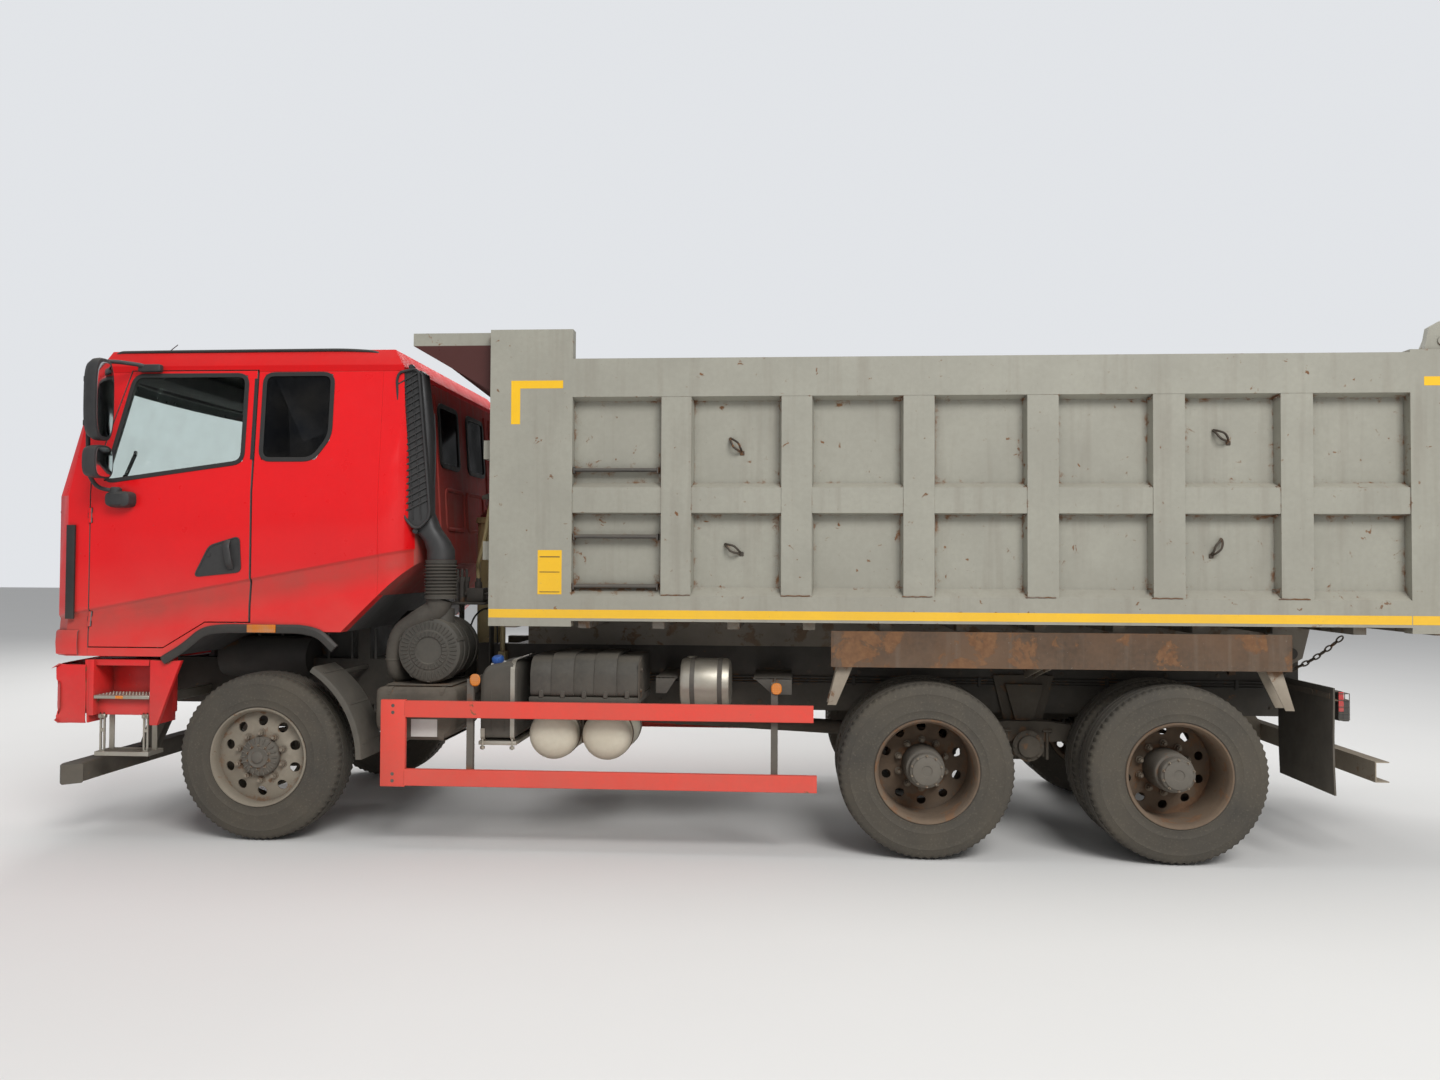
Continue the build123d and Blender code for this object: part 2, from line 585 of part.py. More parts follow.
def bed_floor():
    """Floor plate on bearers and two long beams, with the hinge ears."""
    front = BED_FRONT_X - WALL_T - SEAT_GAP
    rear = BED_REAR_X + GATE_T + MOVING_GAP
    inner = BED_HALF_W - RIB_DEPTH - WALL_T - SEAT_GAP
    floor = between(front, rear, -inner, inner, FLOOR_BOTTOM, FLOOR_TOP)
    beam_y0 = RAIL_OUT - RAIL_FLANGE
    beam_front = BED_FRONT_X - 40
    beam_rear = HINGE_X + 110
    for sign in (1, -1):
        floor += between(beam_front, beam_rear, sign * beam_y0, sign * RAIL_OUT, BEAM_BOTTOM, BEARER_BOTTOM)
    pitch = (front - rear - 200) / 12
    for i in range(13):
        x = front - 100 - pitch * i
        floor += between(x - 35, x + 35, -inner, inner, BEARER_BOTTOM, FLOOR_BOTTOM)
    for sign in (1, -1):
        y0 = (RAIL_OUT + 10) * sign
        y1 = (RAIL_OUT + 60) * sign
        outline = [(HINGE_X - 140, FLOOR_BOTTOM), (HINGE_X + 200, FLOOR_BOTTOM), (HINGE_X + 70, HINGE_Z - 30),
                   (HINGE_X, HINGE_Z - 70), (HINGE_X - 70, HINGE_Z - 30)]
        ear = side_prism(outline, y0, y1)
        ear -= rod((HINGE_X, y0 - sign, HINGE_Z), (HINGE_X, y1 + sign, HINGE_Z), HINGE_PIN_R + RUN_FIT)
        floor += ear
    return floor


def rib_places():
    """Middles of the upright ribs, spaced evenly between the two posts."""
    first = BED_FRONT_X - FRONT_POST_W
    last = BED_REAR_X + REAR_POST_W
    bay = (first - last - (BAYS - 1) * RIB_W) / BAYS
    return [first - bay * (i + 1) - RIB_W * (i + 0.5) for i in range(BAYS - 1)]


def bed_side():
    """Left side wall: plate, sill, middle rail, top rail, posts and hat ribs."""
    out = BED_HALF_W
    skin = out - RIB_DEPTH
    inner = skin - WALL_T
    side = between(BED_FRONT_X, BED_REAR_X, inner, skin, SILL_BOTTOM, TOP_RAIL_TOP)
    side += between(BED_FRONT_X, BED_FRONT_X - FRONT_POST_W, inner, out, POST_BOTTOM, FRONT_POST_TOP)
    side += between(BED_REAR_X, BED_REAR_X + REAR_POST_W, inner, out, POST_BOTTOM, REAR_POST_TOP)
    run0 = BED_FRONT_X - FRONT_POST_W
    run1 = BED_REAR_X + REAR_POST_W
    sill = front_prism([(skin - 1, SILL_BOTTOM), (out, SILL_BOTTOM), (out, SILL_EDGE), (skin - 1, SILL_TOP)],
                       run1, run0)
    mid_rail = front_prism([(skin - 1, MID_RAIL_BOTTOM), (out - 6, MID_RAIL_BOTTOM + 8),
                            (out - 6, MID_RAIL_TOP), (skin - 1, MID_RAIL_TOP + 32)], run1, run0)
    top_rail = front_prism([(skin - 1, TOP_RAIL_BOTTOM), (out, TOP_RAIL_BOTTOM + 20), (out, TOP_RAIL_TOP),
                            (skin - 1, TOP_RAIL_TOP)], run1, run0)
    side += sill + mid_rail + top_rail
    flank = 14
    for x in rib_places():
        half = RIB_W / 2
        side += plan_prism([(x - half - flank, skin - 1), (x - half, out - 2), (x + half, out - 2),
                            (x + half + flank, skin - 1)], SILL_BOTTOM + 20, TOP_RAIL_BOTTOM + 60)
    ear = side_prism([(GATE_PIN_X - 95, REAR_POST_TOP - 5), (GATE_PIN_X + 95, REAR_POST_TOP - 5),
                      (GATE_PIN_X + 70, GATE_PIN_Z + 75), (GATE_PIN_X, GATE_PIN_Z + 115),
                      (GATE_PIN_X - 70, GATE_PIN_Z + 75)], out - 60, out - 20)
    ear -= rod((GATE_PIN_X, out - 70, GATE_PIN_Z), (GATE_PIN_X, out, GATE_PIN_Z), GATE_PIN_R + RUN_FIT)
    side += ear
    return side


def bed_front():
    """Front wall with its stiffeners, the canopy over the cab's back and the hoist's saddle."""
    half = BED_HALF_W - RIB_DEPTH - WALL_T - SEAT_GAP
    wall = between(BED_FRONT_X, BED_FRONT_X - WALL_T, -half, half, FLOOR_BOTTOM, FRONT_POST_TOP)
    for z in (RAIL_TOP + 660, RAIL_TOP + 1260, RAIL_TOP + 1860):
        wall += between(BED_FRONT_X - 1, BED_FRONT_X + 60, -half, half, z, z + 110)
    tip = BED_FRONT_X + CANOPY_REACH
    top = FRONT_POST_TOP
    wall += between(BED_FRONT_X - 1, tip, -half, half, top - 6, top)
    wall += between(tip - 6, tip, -half, half, top - CANOPY_EDGE, top)
    for y in (-half, -half / 2, half / 2 - 8, half - 8):
        wall += side_prism([(BED_FRONT_X - 1, top - 1), (tip - 1, top - 1), (tip - 1, top - CANOPY_EDGE),
                            (BED_FRONT_X - 1, RAIL_TOP + 1655)], y, y + 8)
    z = HOIST_TOP_Z
    hook = [(BED_FRONT_X - 1, z - 130), (HOIST_X - 70, z - 60), (HOIST_X - 30, z - 50),
            (HOIST_X + 55, z - 10), (HOIST_X + 55, z + 50), (HOIST_X - 30, z + 80),
            (BED_FRONT_X - 1, z + 180)]
    seat = HOIST_PIN_R + SEAT_GAP
    # the pin leaves its seat forwards and down while the bed rises
    mouth = [(HOIST_X - seat, z), (HOIST_X - seat + 6, z - 60), (HOIST_X - 10, z - 140),
             (HOIST_X + 100, z - 140), (HOIST_X + 100, z + seat), (HOIST_X, z + seat), (HOIST_X, z)]
    for sign in (1, -1):
        y0 = EYE_EAR_Y * sign
        y1 = (EYE_EAR_Y + EYE_EAR_T) * sign
        ear = side_prism(hook, y0, y1)
        ear -= rod((HOIST_X, y0 - sign, z), (HOIST_X, y1 + sign, z), seat)
        ear -= side_prism(mouth, y0 - sign, y1 + sign)
        wall += ear
    return wall


def tailgate():
    """Rear wall hung from the pins at its upper corners."""
    half = BED_HALF_W - RIB_DEPTH - WALL_T - MOVING_GAP
    x0 = BED_REAR_X
    x1 = BED_REAR_X + GATE_T
    low = SILL_BOTTOM - 20
    gate = between(x0 + 60, x1, -half, half, low, REAR_POST_TOP - 90)
    for z in (low, RAIL_TOP + 760, RAIL_TOP + 1220, REAR_POST_TOP - 190):
        gate += between(x0, x0 + 61, -half, half, z, z + 100)
    for y in (-half, -half / 3 - 45, half / 3 - 45, half - 90):
        gate += between(x0, x0 + 61, y, y + 90, low, REAR_POST_TOP - 90)
    for sign in (1, -1):
        y1 = BED_HALF_W - 60 - MOVING_GAP
        y0 = y1 - 34
        arm = side_prism([(x0 + 5, REAR_POST_TOP - 300), (x1, REAR_POST_TOP - 300), (x1, REAR_POST_TOP - 50),
                          (GATE_PIN_X + 48, GATE_PIN_Z - 20), (GATE_PIN_X + 20, GATE_PIN_Z + 45),
                          (GATE_PIN_X - 35, GATE_PIN_Z + 40), (x0 + 5, REAR_POST_TOP - 40)],
                         min(half - 40, y0 - 60) * sign, half * sign)
        gate += arm
        gate += rod((GATE_PIN_X, (half - 20) * sign, GATE_PIN_Z),
                    (GATE_PIN_X, (BED_HALF_W - 12) * sign, GATE_PIN_Z), GATE_PIN_R)
    return gate


# Cab


def cab_form(inset):
    """Outer form of the cab, or the same form drawn in by a wall."""
    nose = CAB_NOSE_X - inset
    corner = CAB_CORNER_X - inset
    half = CAB_HALF_W - inset
    back = CAB_BACK_X + inset
    far_back = CAB_BACK_X - 1500
    front_arc = ThreePointArc((corner, -half + 60), (nose, 0), (corner, half - 60))
    side_line = Polyline((corner, half - 60), (corner - 90, half), (far_back, half), (far_back, -half),
                         (corner - 90, -half), (corner, -half + 60))
    plan = make_face([front_arc, side_line])
    low = extrude(Pos(0, 0, CAB_BOTTOM + inset) * plan, SCREEN_BASE - CAB_BOTTOM - inset)
    lean = SCREEN_LEAN
    rise = CAB_ROOF - SCREEN_BASE
    high = extrude(Pos(0, 0, SCREEN_BASE) * plan, sqrt(lean ** 2 + rise ** 2), dir=(-lean, 0, rise))
    form = low + high
    side = [(-half, CAB_BOTTOM + inset), (half, CAB_BOTTOM + inset), (half, SIDE_BREAK_Z),
            (ROOF_HALF_W - inset + 20, CAB_ROOF - 110), (ROOF_HALF_W - inset - 70, CAB_ROOF - inset),
            (-ROOF_HALF_W + inset + 70, CAB_ROOF - inset), (-ROOF_HALF_W + inset - 20, CAB_ROOF - 110),
            (-half, SIDE_BREAK_Z)]
    form = form & front_prism(side, back - 10, nose + 10)
    rear = between(back, nose + 10, -half, half, CAB_BOTTOM, CAB_ROOF)
    rear = fillet(rear.edges().filter_by(Axis.Z).group_by(Axis.X)[0], CAB_BACK_R - inset)
    arch_x = FRONT_AXLE_X
    bottom = CAB_BOTTOM + inset
    arch_z = CAB_FLOOR_Z + inset
    profile = [(back, RAIL_TOP + 640), (back + 75, CAB_ROOF - 120), (back + 170, CAB_ROOF + 10),
               (nose + 10, CAB_ROOF + 10),
               (nose + 10, bottom - 1), (arch_x + 560, bottom - 1), (arch_x + 330, arch_z),
               (arch_x - 330, arch_z), (back + 420, arch_z)]
    tunnel_half = ENGINE_HALF_W + TUNNEL_GAP + inset
    tunnel = between(back - 10, FRONT_AXLE_X + 760 + TUNNEL_GAP + inset, -tunnel_half, tunnel_half,
                     CAB_BOTTOM - 10, ENGINE_TOP + TUNNEL_GAP + inset)
    return (form & rear & side_prism(profile, -half - 10, half + 10)) - tunnel


def door_outline(grow):
    """Door's outline seen from the side, larger by grow and by more at its swinging edge."""
    arch = CAB_FLOOR_Z + CAB_WALL + 12
    rear = DOOR_REAR_X - grow * DOOR_REAR_GAP / DOOR_GAP
    return [(DOOR_FRONT_X + grow, DOOR_BOTTOM - grow), (DOOR_FRONT_X + grow, DOOR_BREAK_Z),
            (FRONT_AXLE_X + 850 + grow, DOOR_TOP + grow), (rear, DOOR_TOP + grow), (rear, arch - grow),
            (FRONT_AXLE_X + 330, arch - grow), (FRONT_AXLE_X + 590, DOOR_BOTTOM - grow)]


def window_outline(grow):
    """Door window's outline seen from the side."""
    top = RAIL_TOP + 1780 + grow
    rear = FRONT_AXLE_X + 120 - grow
    return [(FRONT_AXLE_X + 985 + grow, DOOR_BREAK_Z - grow), (FRONT_AXLE_X + 830 + grow, top),
            (rear, top), (rear, RAIL_TOP + 1250 - grow)]


def quarter_outline(grow):
    """Rear quarter window's outline seen from the side."""
    front = FRONT_AXLE_X + 5 + grow
    back = FRONT_AXLE_X - 415 - grow
    return [(front, RAIL_TOP + 1260 - grow), (front, RAIL_TOP + 1785 + grow), (back, RAIL_TOP + 1785 + grow),
            (back, RAIL_TOP + 1380), (FRONT_AXLE_X - 330, RAIL_TOP + 1260 - grow)]


def screen_opening(grow):
    """Windscreen's opening seen from the front."""
    low = SCREEN_BASE + 20 - grow
    high = CAB_ROOF - 150 + grow
    wide_low = CAB_HALF_W - 120 + grow
    wide_high = ROOF_HALF_W - 120 + grow
    return [(-wide_low, low), (wide_low, low), (wide_high, high), (-wide_high, high)]


def cab():
    """Hollow cab split into floor, sides, back, roof and front, with doors and glass."""
    outer = cab_form(0)
    inner = cab_form(CAB_WALL)
    shell = outer - inner
    far = CAB_HALF_W + 50
    door_zone = side_prism(door_outline(0), CAB_HALF_W - 330, far)
    door_cut = side_prism(door_outline(DOOR_GAP), CAB_HALF_W - 330, far)
    window_cut = side_prism(window_outline(0), CAB_HALF_W - 330, far)
    quarter_cut = side_prism(quarter_outline(0), CAB_HALF_W - 330, far)
    left_skin = shell & between(CAB_BACK_X - 10, CAB_NOSE_X + 10, CAB_HALF_W - 250, far,
                                CAB_BOTTOM - 100, CAB_ROOF + 20)
    lugs, knuckles, pockets, reliefs = door_hinges()
    door = (left_skin & door_zone) - window_cut - pockets + knuckles
    save("left_door", door)
    save("right_door", mirrored(door))
    pane_t = 6
    deep = 16
    panes = cab_form(deep) - cab_form(deep + pane_t)
    pane = panes & side_prism(window_outline(-SEAT_GAP), CAB_HALF_W - 330, far)
    save("left_door_glass", pane)
    save("right_door_glass", mirrored(pane))
    openings = door_cut + quarter_cut
    shell = shell - openings - mirrored(openings)
    screen_cut = front_prism(screen_opening(0), FRONT_AXLE_X + 700, CAB_NOSE_X + 50)
    shell -= screen_cut
    screen = panes & front_prism(screen_opening(-SEAT_GAP), FRONT_AXLE_X + 700, CAB_NOSE_X + 50)
    quarter = panes & side_prism(quarter_outline(-SEAT_GAP), CAB_HALF_W - 330, far)
    save("cab_glass", screen, quarter, mirrored(quarter))

    roof_z = CAB_ROOF - 150
    front_x = DOOR_FRONT_X + DOOR_GAP
    pillar_lean = (DOOR_FRONT_X - FRONT_AXLE_X - 850) / (DOOR_TOP - DOOR_BREAK_Z)
    pillar_x = front_x - (roof_z - DOOR_BREAK_Z) * pillar_lean
    back_x = CAB_BACK_X + 200
    big = 2 * CAB_ROOF
    roof_zone = between(-big, big * 2, -big, big, roof_z, roof_z + big)
    front_zone = side_prism([(front_x, 0), (front_x, DOOR_BREAK_Z), (pillar_x, roof_z), (big * 2, roof_z),
                             (big * 2, 0)], -big, big)
    back_zone = between(back_x, -big, -big, big, 0, roof_z)
    mid_zone = between(back_x, big * 2, -big, big, 0, roof_z) - front_zone
    roof = shell & roof_zone
    front = shell & front_zone
    back = shell & back_zone
    middle = shell & mid_zone
    floor_y = CAB_HALF_W - CAB_WALL - 60
    floor_zone = between(back_x, front_x, -floor_y, floor_y, 0, RAIL_TOP + 710)
    floor = middle & floor_zone
    sides = middle - floor_zone
    save("cab_roof", roof)
    ears = cab_hinge_ears()
    front = front - reliefs - mirrored(reliefs) + lugs + mirrored(lugs)
    save("cab_front", front + ears[0] + ears[1])
    save("cab_back", back)
    save("cab_floor", floor)
    save("cab_sides", sides)


def door_hinges():
    """Left door's hinges: lugs with pins, knuckles, and the pockets they turn in."""
    lugs = None
    knuckles = None
    pockets = None
    reliefs = None
    y = CAB_HALF_W
    for z in HINGE_PLACES:
        lug = rod((DOOR_FRONT_X, y, z - HINGE_LEN / 2), (DOOR_FRONT_X, y, z + HINGE_LEN / 2), DOOR_PIN_R)
        low = z - HINGE_LEN / 6 + 1
        high = z + HINGE_LEN / 6 - 1
        knuckle = rod((DOOR_FRONT_X, y, low), (DOOR_FRONT_X, y, high), DOOR_BARREL_R)
        knuckle += between(DOOR_FRONT_X - 30, DOOR_FRONT_X, y - 16, y, low, high)
        bore = rod((DOOR_FRONT_X, y, z - HINGE_LEN), (DOOR_FRONT_X, y, z + HINGE_LEN), DOOR_PIN_R + RUN_FIT)
        pocket = rod((DOOR_FRONT_X, y, z - HINGE_LEN / 2 - 2), (DOOR_FRONT_X, y, z + HINGE_LEN / 2 + 2),
                     DOOR_BARREL_R + 5)
        relief = rod((DOOR_FRONT_X, y, z - HINGE_LEN / 6), (DOOR_FRONT_X, y, z + HINGE_LEN / 6),
                     DOOR_BARREL_R + 5)
        for z0, z1 in ((z - HINGE_LEN / 2, z - HINGE_LEN / 6), (z + HINGE_LEN / 6, z + HINGE_LEN / 2)):
            lug += rod((DOOR_FRONT_X, y, z0), (DOOR_FRONT_X, y, z1), DOOR_BARREL_R)
            lug += between(DOOR_FRONT_X, DOOR_FRONT_X + 30, y - 12, y, z0, z1)
        lugs = lug if lugs is None else lugs + lug
        knuckle -= bore
        knuckles = knuckle if knuckles is None else knuckles + knuckle
        pockets = pocket if pockets is None else pockets + pocket
        reliefs = relief if reliefs is None else reliefs + relief
    return lugs, knuckles, pockets, reliefs


def mirrors():
    """Left mirror heads on their arms, standing off the door."""
    x = DOOR_FRONT_X - 260
    y = CAB_HALF_W
    head = between(x, x + 190, y + 110, y + 300, RAIL_TOP + 1380, RAIL_TOP + 1880)
    small = rod((x + 80, y + 190, RAIL_TOP + 1245), (x + 150, y + 190, RAIL_TOP + 1245), 105)
    post = between(x + 126, x + 154, y + 46, y + 74, RAIL_TOP + 1010, RAIL_TOP + 1820)
    for z in (RAIL_TOP + 1200, RAIL_TOP + 1460, RAIL_TOP + 1760):
        post += between(x + 130, x + 150, y + 60, y + 160, z - 10, z + 10)
    z = RAIL_TOP + 970
    base = side_prism([(x - 50, z), (x + 170, z), (x + 170, z + 80), (x + 60, z + 120), (x - 50, z + 120)],
                      y + SEAT_GAP, y + 80)
    return head + small + post + base


def cab_hinge_ears():
    """Pair of ears under the cab's nose, on the tilt pin's line."""
    ears = []
    for sign in (1, -1):
        y0 = CAB_EAR_Y * sign
        y1 = (CAB_EAR_Y + CAB_EAR_T) * sign
        # bent back, to pass behind the bumper's top when the cab tilts
        ear = side_prism([(CAB_HINGE_X - 230, CAB_BOTTOM + 1), (CAB_HINGE_X - 130, CAB_BOTTOM + 1),
                          (CAB_HINGE_X - 130, CAB_BOTTOM - 60), (CAB_HINGE_X - 75, CAB_HINGE_Z + 100),
                          (CAB_HINGE_X + 20, CAB_HINGE_Z + 38), (CAB_HINGE_X + 42, CAB_HINGE_Z),
                          (CAB_HINGE_X + 20, CAB_HINGE_Z - 38), (CAB_HINGE_X - 25, CAB_HINGE_Z - 38),
                          (CAB_HINGE_X - 150, CAB_HINGE_Z + 60), (CAB_HINGE_X - 230, CAB_BOTTOM - 80)],
                         y0, y1)
        ear -= rod((CAB_HINGE_X, y0 - sign, CAB_HINGE_Z), (CAB_HINGE_X, y1 + sign, CAB_HINGE_Z),
                   CAB_PIN_R + RUN_FIT)
        ears.append(ear)
    return ears


def sun_visor():
    """Curved shade held off the top of the windscreen by three brackets."""
    z = RAIL_TOP + 1760
    back = SCREEN_LEAN * (z - SCREEN_BASE) / (CAB_ROOF - SCREEN_BASE)
    half = ROOF_HALF_W - 60
    lead = 75
    t = 12
    corner = CAB_CORNER_X - back + lead + 20
    nose = CAB_NOSE_X - back + lead
    face = make_face([ThreePointArc((corner, -half), (nose, 0), (corner, half)),
                      Line((corner, half), (corner - t, half)),
                      ThreePointArc((corner - t, half), (nose - t, 0), (corner - t, -half)),
                      Line((corner - t, -half), (corner, -half))])
    shade = extrude(Pos(0, 0, z) * face, 170, dir=(-SCREEN_LEAN, 0, CAB_ROOF - SCREEN_BASE))
    for y in (-half + 60, 0, half - 60):
        shade += between(nose - 400, nose - 45, y - 12, y + 12, z + 120, z + 145) & between(
            nose - 400, nose, y - 20, y + 20, z, z + 200)
    return shade


def cab_fittings():
    """Dashboard with column and wheel, seats, sun visor and the intake behind the cab."""
    x = FRONT_AXLE_X
    half = CAB_HALF_W - CAB_WALL - 25
    z = RAIL_TOP
    dash = side_prism([(CAB_NOSE_X + 100, z + 560), (CAB_NOSE_X + 100, z + 1000), (x + 900, z + 1020),
                       (x + 800, z + 860), (x + 860, z + 520), (x + 1000, z + 460)], -half, half)
    column = rod((x + 880, 520, RAIL_TOP + 740), (x + 560, 520, RAIL_TOP + 1000), 30)
    wheel_plane = Plane(origin=(x + 560, 520, RAIL_TOP + 1000), z_dir=(-320, 0, 260))
    rim = wheel_plane * (Cylinder(236, 26) - Cylinder(212, 26))
    spoke = wheel_plane * Box(440, 30, 14)
    save("dashboard", (dash + column + rim + spoke) & cab_form(CAB_WALL + SEAT_GAP))
    seats = []
    for y in (610, -610):
        base = between(x - 100, x + 250, y - 200, y + 200, CAB_FLOOR_Z + CAB_WALL + SEAT_GAP, RAIL_TOP + 560)
        cushion = between(x - 100, x + 400, y - 235, y + 235, RAIL_TOP + 560, RAIL_TOP + 690)
        back = side_prism([(x - 100, z + 660), (x + 50, z + 660), (x - 100, z + 1440), (x - 210, z + 1440)],
                          y - 230, y + 230)
        seats.append(base + cushion + back)
    save("seats", *seats)
    skin = cab_form(-SEAT_GAP)
    save("sun_visor", sun_visor() - skin)
    duct_x = CAB_BACK_X
    y = INTAKE_Y
    duct = between(duct_x - 80, duct_x + 120, y - 70, y + 120, RAIL_TOP + 720, RAIL_TOP + 1815)
    pipe = rod((x - 1065, y, RAIL_TOP + 660), (x - 1065, y, RAIL_TOP + 725), 95)
    link = between(x - 1160, x - 1000, y - 70, y + 95, RAIL_TOP + 720, RAIL_TOP + 810)
    save("air_intake", duct + pipe + link - skin)


# Pieces along the chassis


def bumper_skirt():
    """Bumper's skin, bowed like the cab's nose and turned back at its ends."""
    corner = CAB_CORNER_X + BUMPER_SIDE_LEAD
    half = CAB_HALF_W
    nose = CAB_NOSE_X + BUMPER_LEAD
    t = BUMPER_LEAD
    outer_arc = ThreePointArc((corner, -half), (nose, 0), (corner, half))
    inner_arc = ThreePointArc((corner - t, half - t), (nose - t, 0), (corner - t, -half + t))
    back = corner - 230
    edges = [outer_arc, Polyline((corner, half), (back, half), (back, half - t), (corner - t, half - t)),
             inner_arc,
             Polyline((corner - t, -half + t), (back, -half + t), (back, -half), (corner, -half))]
    return extrude(Pos(0, 0, BUMPER_BOTTOM) * make_face(edges), BUMPER_TOP - BUMPER_BOTTOM)


def lamp_zone(shrink):
    """Space of the left head lamp in the bumper, smaller by shrink all round."""
    return between(CAB_CORNER_X - 100, CAB_NOSE_X + 100, HEADLAMP_IN + shrink, HEADLAMP_OUT - shrink,
                   HEADLAMP_LOW + shrink, HEADLAMP_HIGH - shrink)


def bumper():
    """Bumper with its lamp openings and the brackets that reach back to the rails."""
    skirt = bumper_skirt() - lamp_zone(0) - mirrored(lamp_zone(0))
    inner_nose = CAB_NOSE_X
    low = RAIL_TOP - 240
    high = RAIL_TOP - 80
    for sign in (1, -1):
        skirt += between(RAIL_FRONT_X - 100, inner_nose - 35, sign * 560, sign * 620, low, high)
        skirt += between(RAIL_FRONT_X - 200, RAIL_FRONT_X - 66, sign * (RAIL_OUT + SEAT_GAP), sign * 620,
                         low, high)
    return skirt


def steps():
    """Entry steps under each door: boxed upper step and the lower tread on two straps."""
    x0 = FRONT_AXLE_X + 640
    x1 = FRONT_AXLE_X + 1055
    y1 = CAB_HALF_W
    box = between(x0, x1, y1 - 260, y1, RAIL_TOP - 300, CAB_BOTTOM - 20)
    box -= between(x0 + 30, x1 - 30, y1 - 200, y1 + 1, RAIL_TOP - 170, CAB_BOTTOM)
    low = between(x0 + 40, x1 - 30, y1 - 180, y1 - 20, RAIL_TOP - 540, RAIL_TOP - 515)
    for x in (x0 + 60, x1 - 80):
        low += between(x, x + 40, y1 - 60, y1 - 50, RAIL_TOP - 516, RAIL_TOP - 299)
    arm = between(x0 + 60, x0 + 140, RAIL_OUT + SEAT_GAP, y1 - 250, RAIL_TOP - 240, RAIL_TOP - 160)
    return box + low + arm


def mudguards():
    """Front mudguard behind each front wheel, and the flaps behind the tandem."""
    solids = []
    x = FRONT_AXLE_X
    inner = ARCH_R + 10
    outer = inner + 40
    arc = make_face([ThreePointArc((x - inner * cos(radians(58)), AXLE_Z + inner * sin(radians(58))),
                                   (x - inner * cos(radians(30)), AXLE_Z + inner * sin(radians(30))),
                                   (x - inner, AXLE_Z)),
                     Line((x - inner, AXLE_Z), (x - outer, AXLE_Z)),
                     ThreePointArc((x - outer, AXLE_Z),
                                   (x - outer * cos(radians(30)), AXLE_Z + outer * sin(radians(30))),
                                   (x - outer * cos(radians(58)), AXLE_Z + outer * sin(radians(58)))),
                     Line((x - outer * cos(radians(58)), AXLE_Z + outer * sin(radians(58))),
                          (x - inner * cos(radians(58)), AXLE_Z + inner * sin(radians(58))))])
    plane = Plane(origin=(0, CAB_HALF_W, 0), x_dir=(1, 0, 0), z_dir=(0, -1, 0))
    guard = extrude(plane * arc, 330)
    stay_z = RAIL_TOP - 280
    stay_x = x - sqrt((inner + 20) ** 2 - (stay_z - AXLE_Z) ** 2)
    guard += rod((stay_x, RAIL_OUT + SEAT_GAP, stay_z), (stay_x, CAB_HALF_W - 300, stay_z), 24)
    solids += both(guard)
    flap_x = REAR_AXLE_X - 830
    flap = between(flap_x, flap_x - 14, 560, 1240, RAIL_TOP - 630, RAIL_TOP - 30)
    flap += between(flap_x - 14, flap_x - 54, RAIL_OUT + SEAT_GAP, 1200, RAIL_TOP - 110, RAIL_TOP - 50)
    solids += both(flap)
    return solids


def side_equipment():
    """Battery box, tanks, urea tank, exhaust box and air filter hung on the rails."""
    x = FRONT_AXLE_X
    z = RAIL_TOP
    web = RAIL_OUT + SEAT_GAP
    battery = between(x - 1650, x - 2310, 600, 1150, z - 190, z + 110)
    battery += between(x - 1700, x - 2260, web, 601, z - 180, z - 40)
    tanks = []
    for s in (1790, 2110):
        tank = rod((x - s, 560, z - 378), (x - s, 1150, z - 378), 147)
        tank += between(x - s - 40, x - s + 40, web, 640, z - 340, z - 260)
        tanks.append(tank)
    urea = between(x - 1345, x - 1585, 620, 1140, z - 420, z + 70)
    urea += between(x - 1400, x - 1530, web, 621, z - 280, z - 140)
    oil = rod((x - 2530, 900, z - 80), (x - 2840, 900, z - 80), 150)
    oil += between(x - 2600, x - 2770, web, 800, z - 160, z - 60)
    fuel = between(x - 1345, x - 2650, -620, -1180, z - 520, z + 70)
    fuel += between(x - 1500, x - 2500, -web, -621, z - 240, z - 80)
    save("side_tanks", *tanks, urea, oil, fuel)
    exhaust = between(x - ARCH_R - 100, x - 1210, 600, 1120, z - 428, z - 95)
    exhaust += between(x - 800, x - 1100, web, 601, z - 260, z - 140)
    save("side_boxes", battery, exhaust)
    cleaner = rod((x - 1015, 620, z + 112), (x - 1015, INTAKE_Y + 90, z + 112), 205)
    cleaner += rod((x - 1065, INTAKE_Y, z + 112), (x - 1065, INTAKE_Y, z + 440), 80)
    cleaner += rod((x - 1065, INTAKE_Y, z + 440), (x - 1065, INTAKE_Y, z + 650), 100)
    cleaner += between(x - 960, x - 1070, web, 640, z - 80, z + 20)
    save("air_filter", cleaner)


def side_guards():
    """Two rails a side on posts, with the plate that joins them in front."""
    x = FRONT_AXLE_X
    y1 = BED_HALF_W - 3
    y0 = y1 - 40
    front = x - 790
    rear = MID_AXLE_X + 645
    guard = between(front, rear, y0, y1, RAIL_TOP - 270, RAIL_TOP - 170)
    guard += between(front, rear - 20, y0, y1, RAIL_TOP - 670, RAIL_TOP - 570)
    guard += between(front, front - 150, y0, y1, RAIL_TOP - 675, RAIL_TOP - 165)
    for post in (x - 1290, rear + 250):
        guard += between(post, post - 50, y0 - 30, y0 + 1, RAIL_TOP - 660, RAIL_TOP - 40)
        guard += between(post, post - 50, RAIL_OUT + SEAT_GAP, y0 - 29, RAIL_TOP - 90, RAIL_TOP - 40)
    return both(guard)


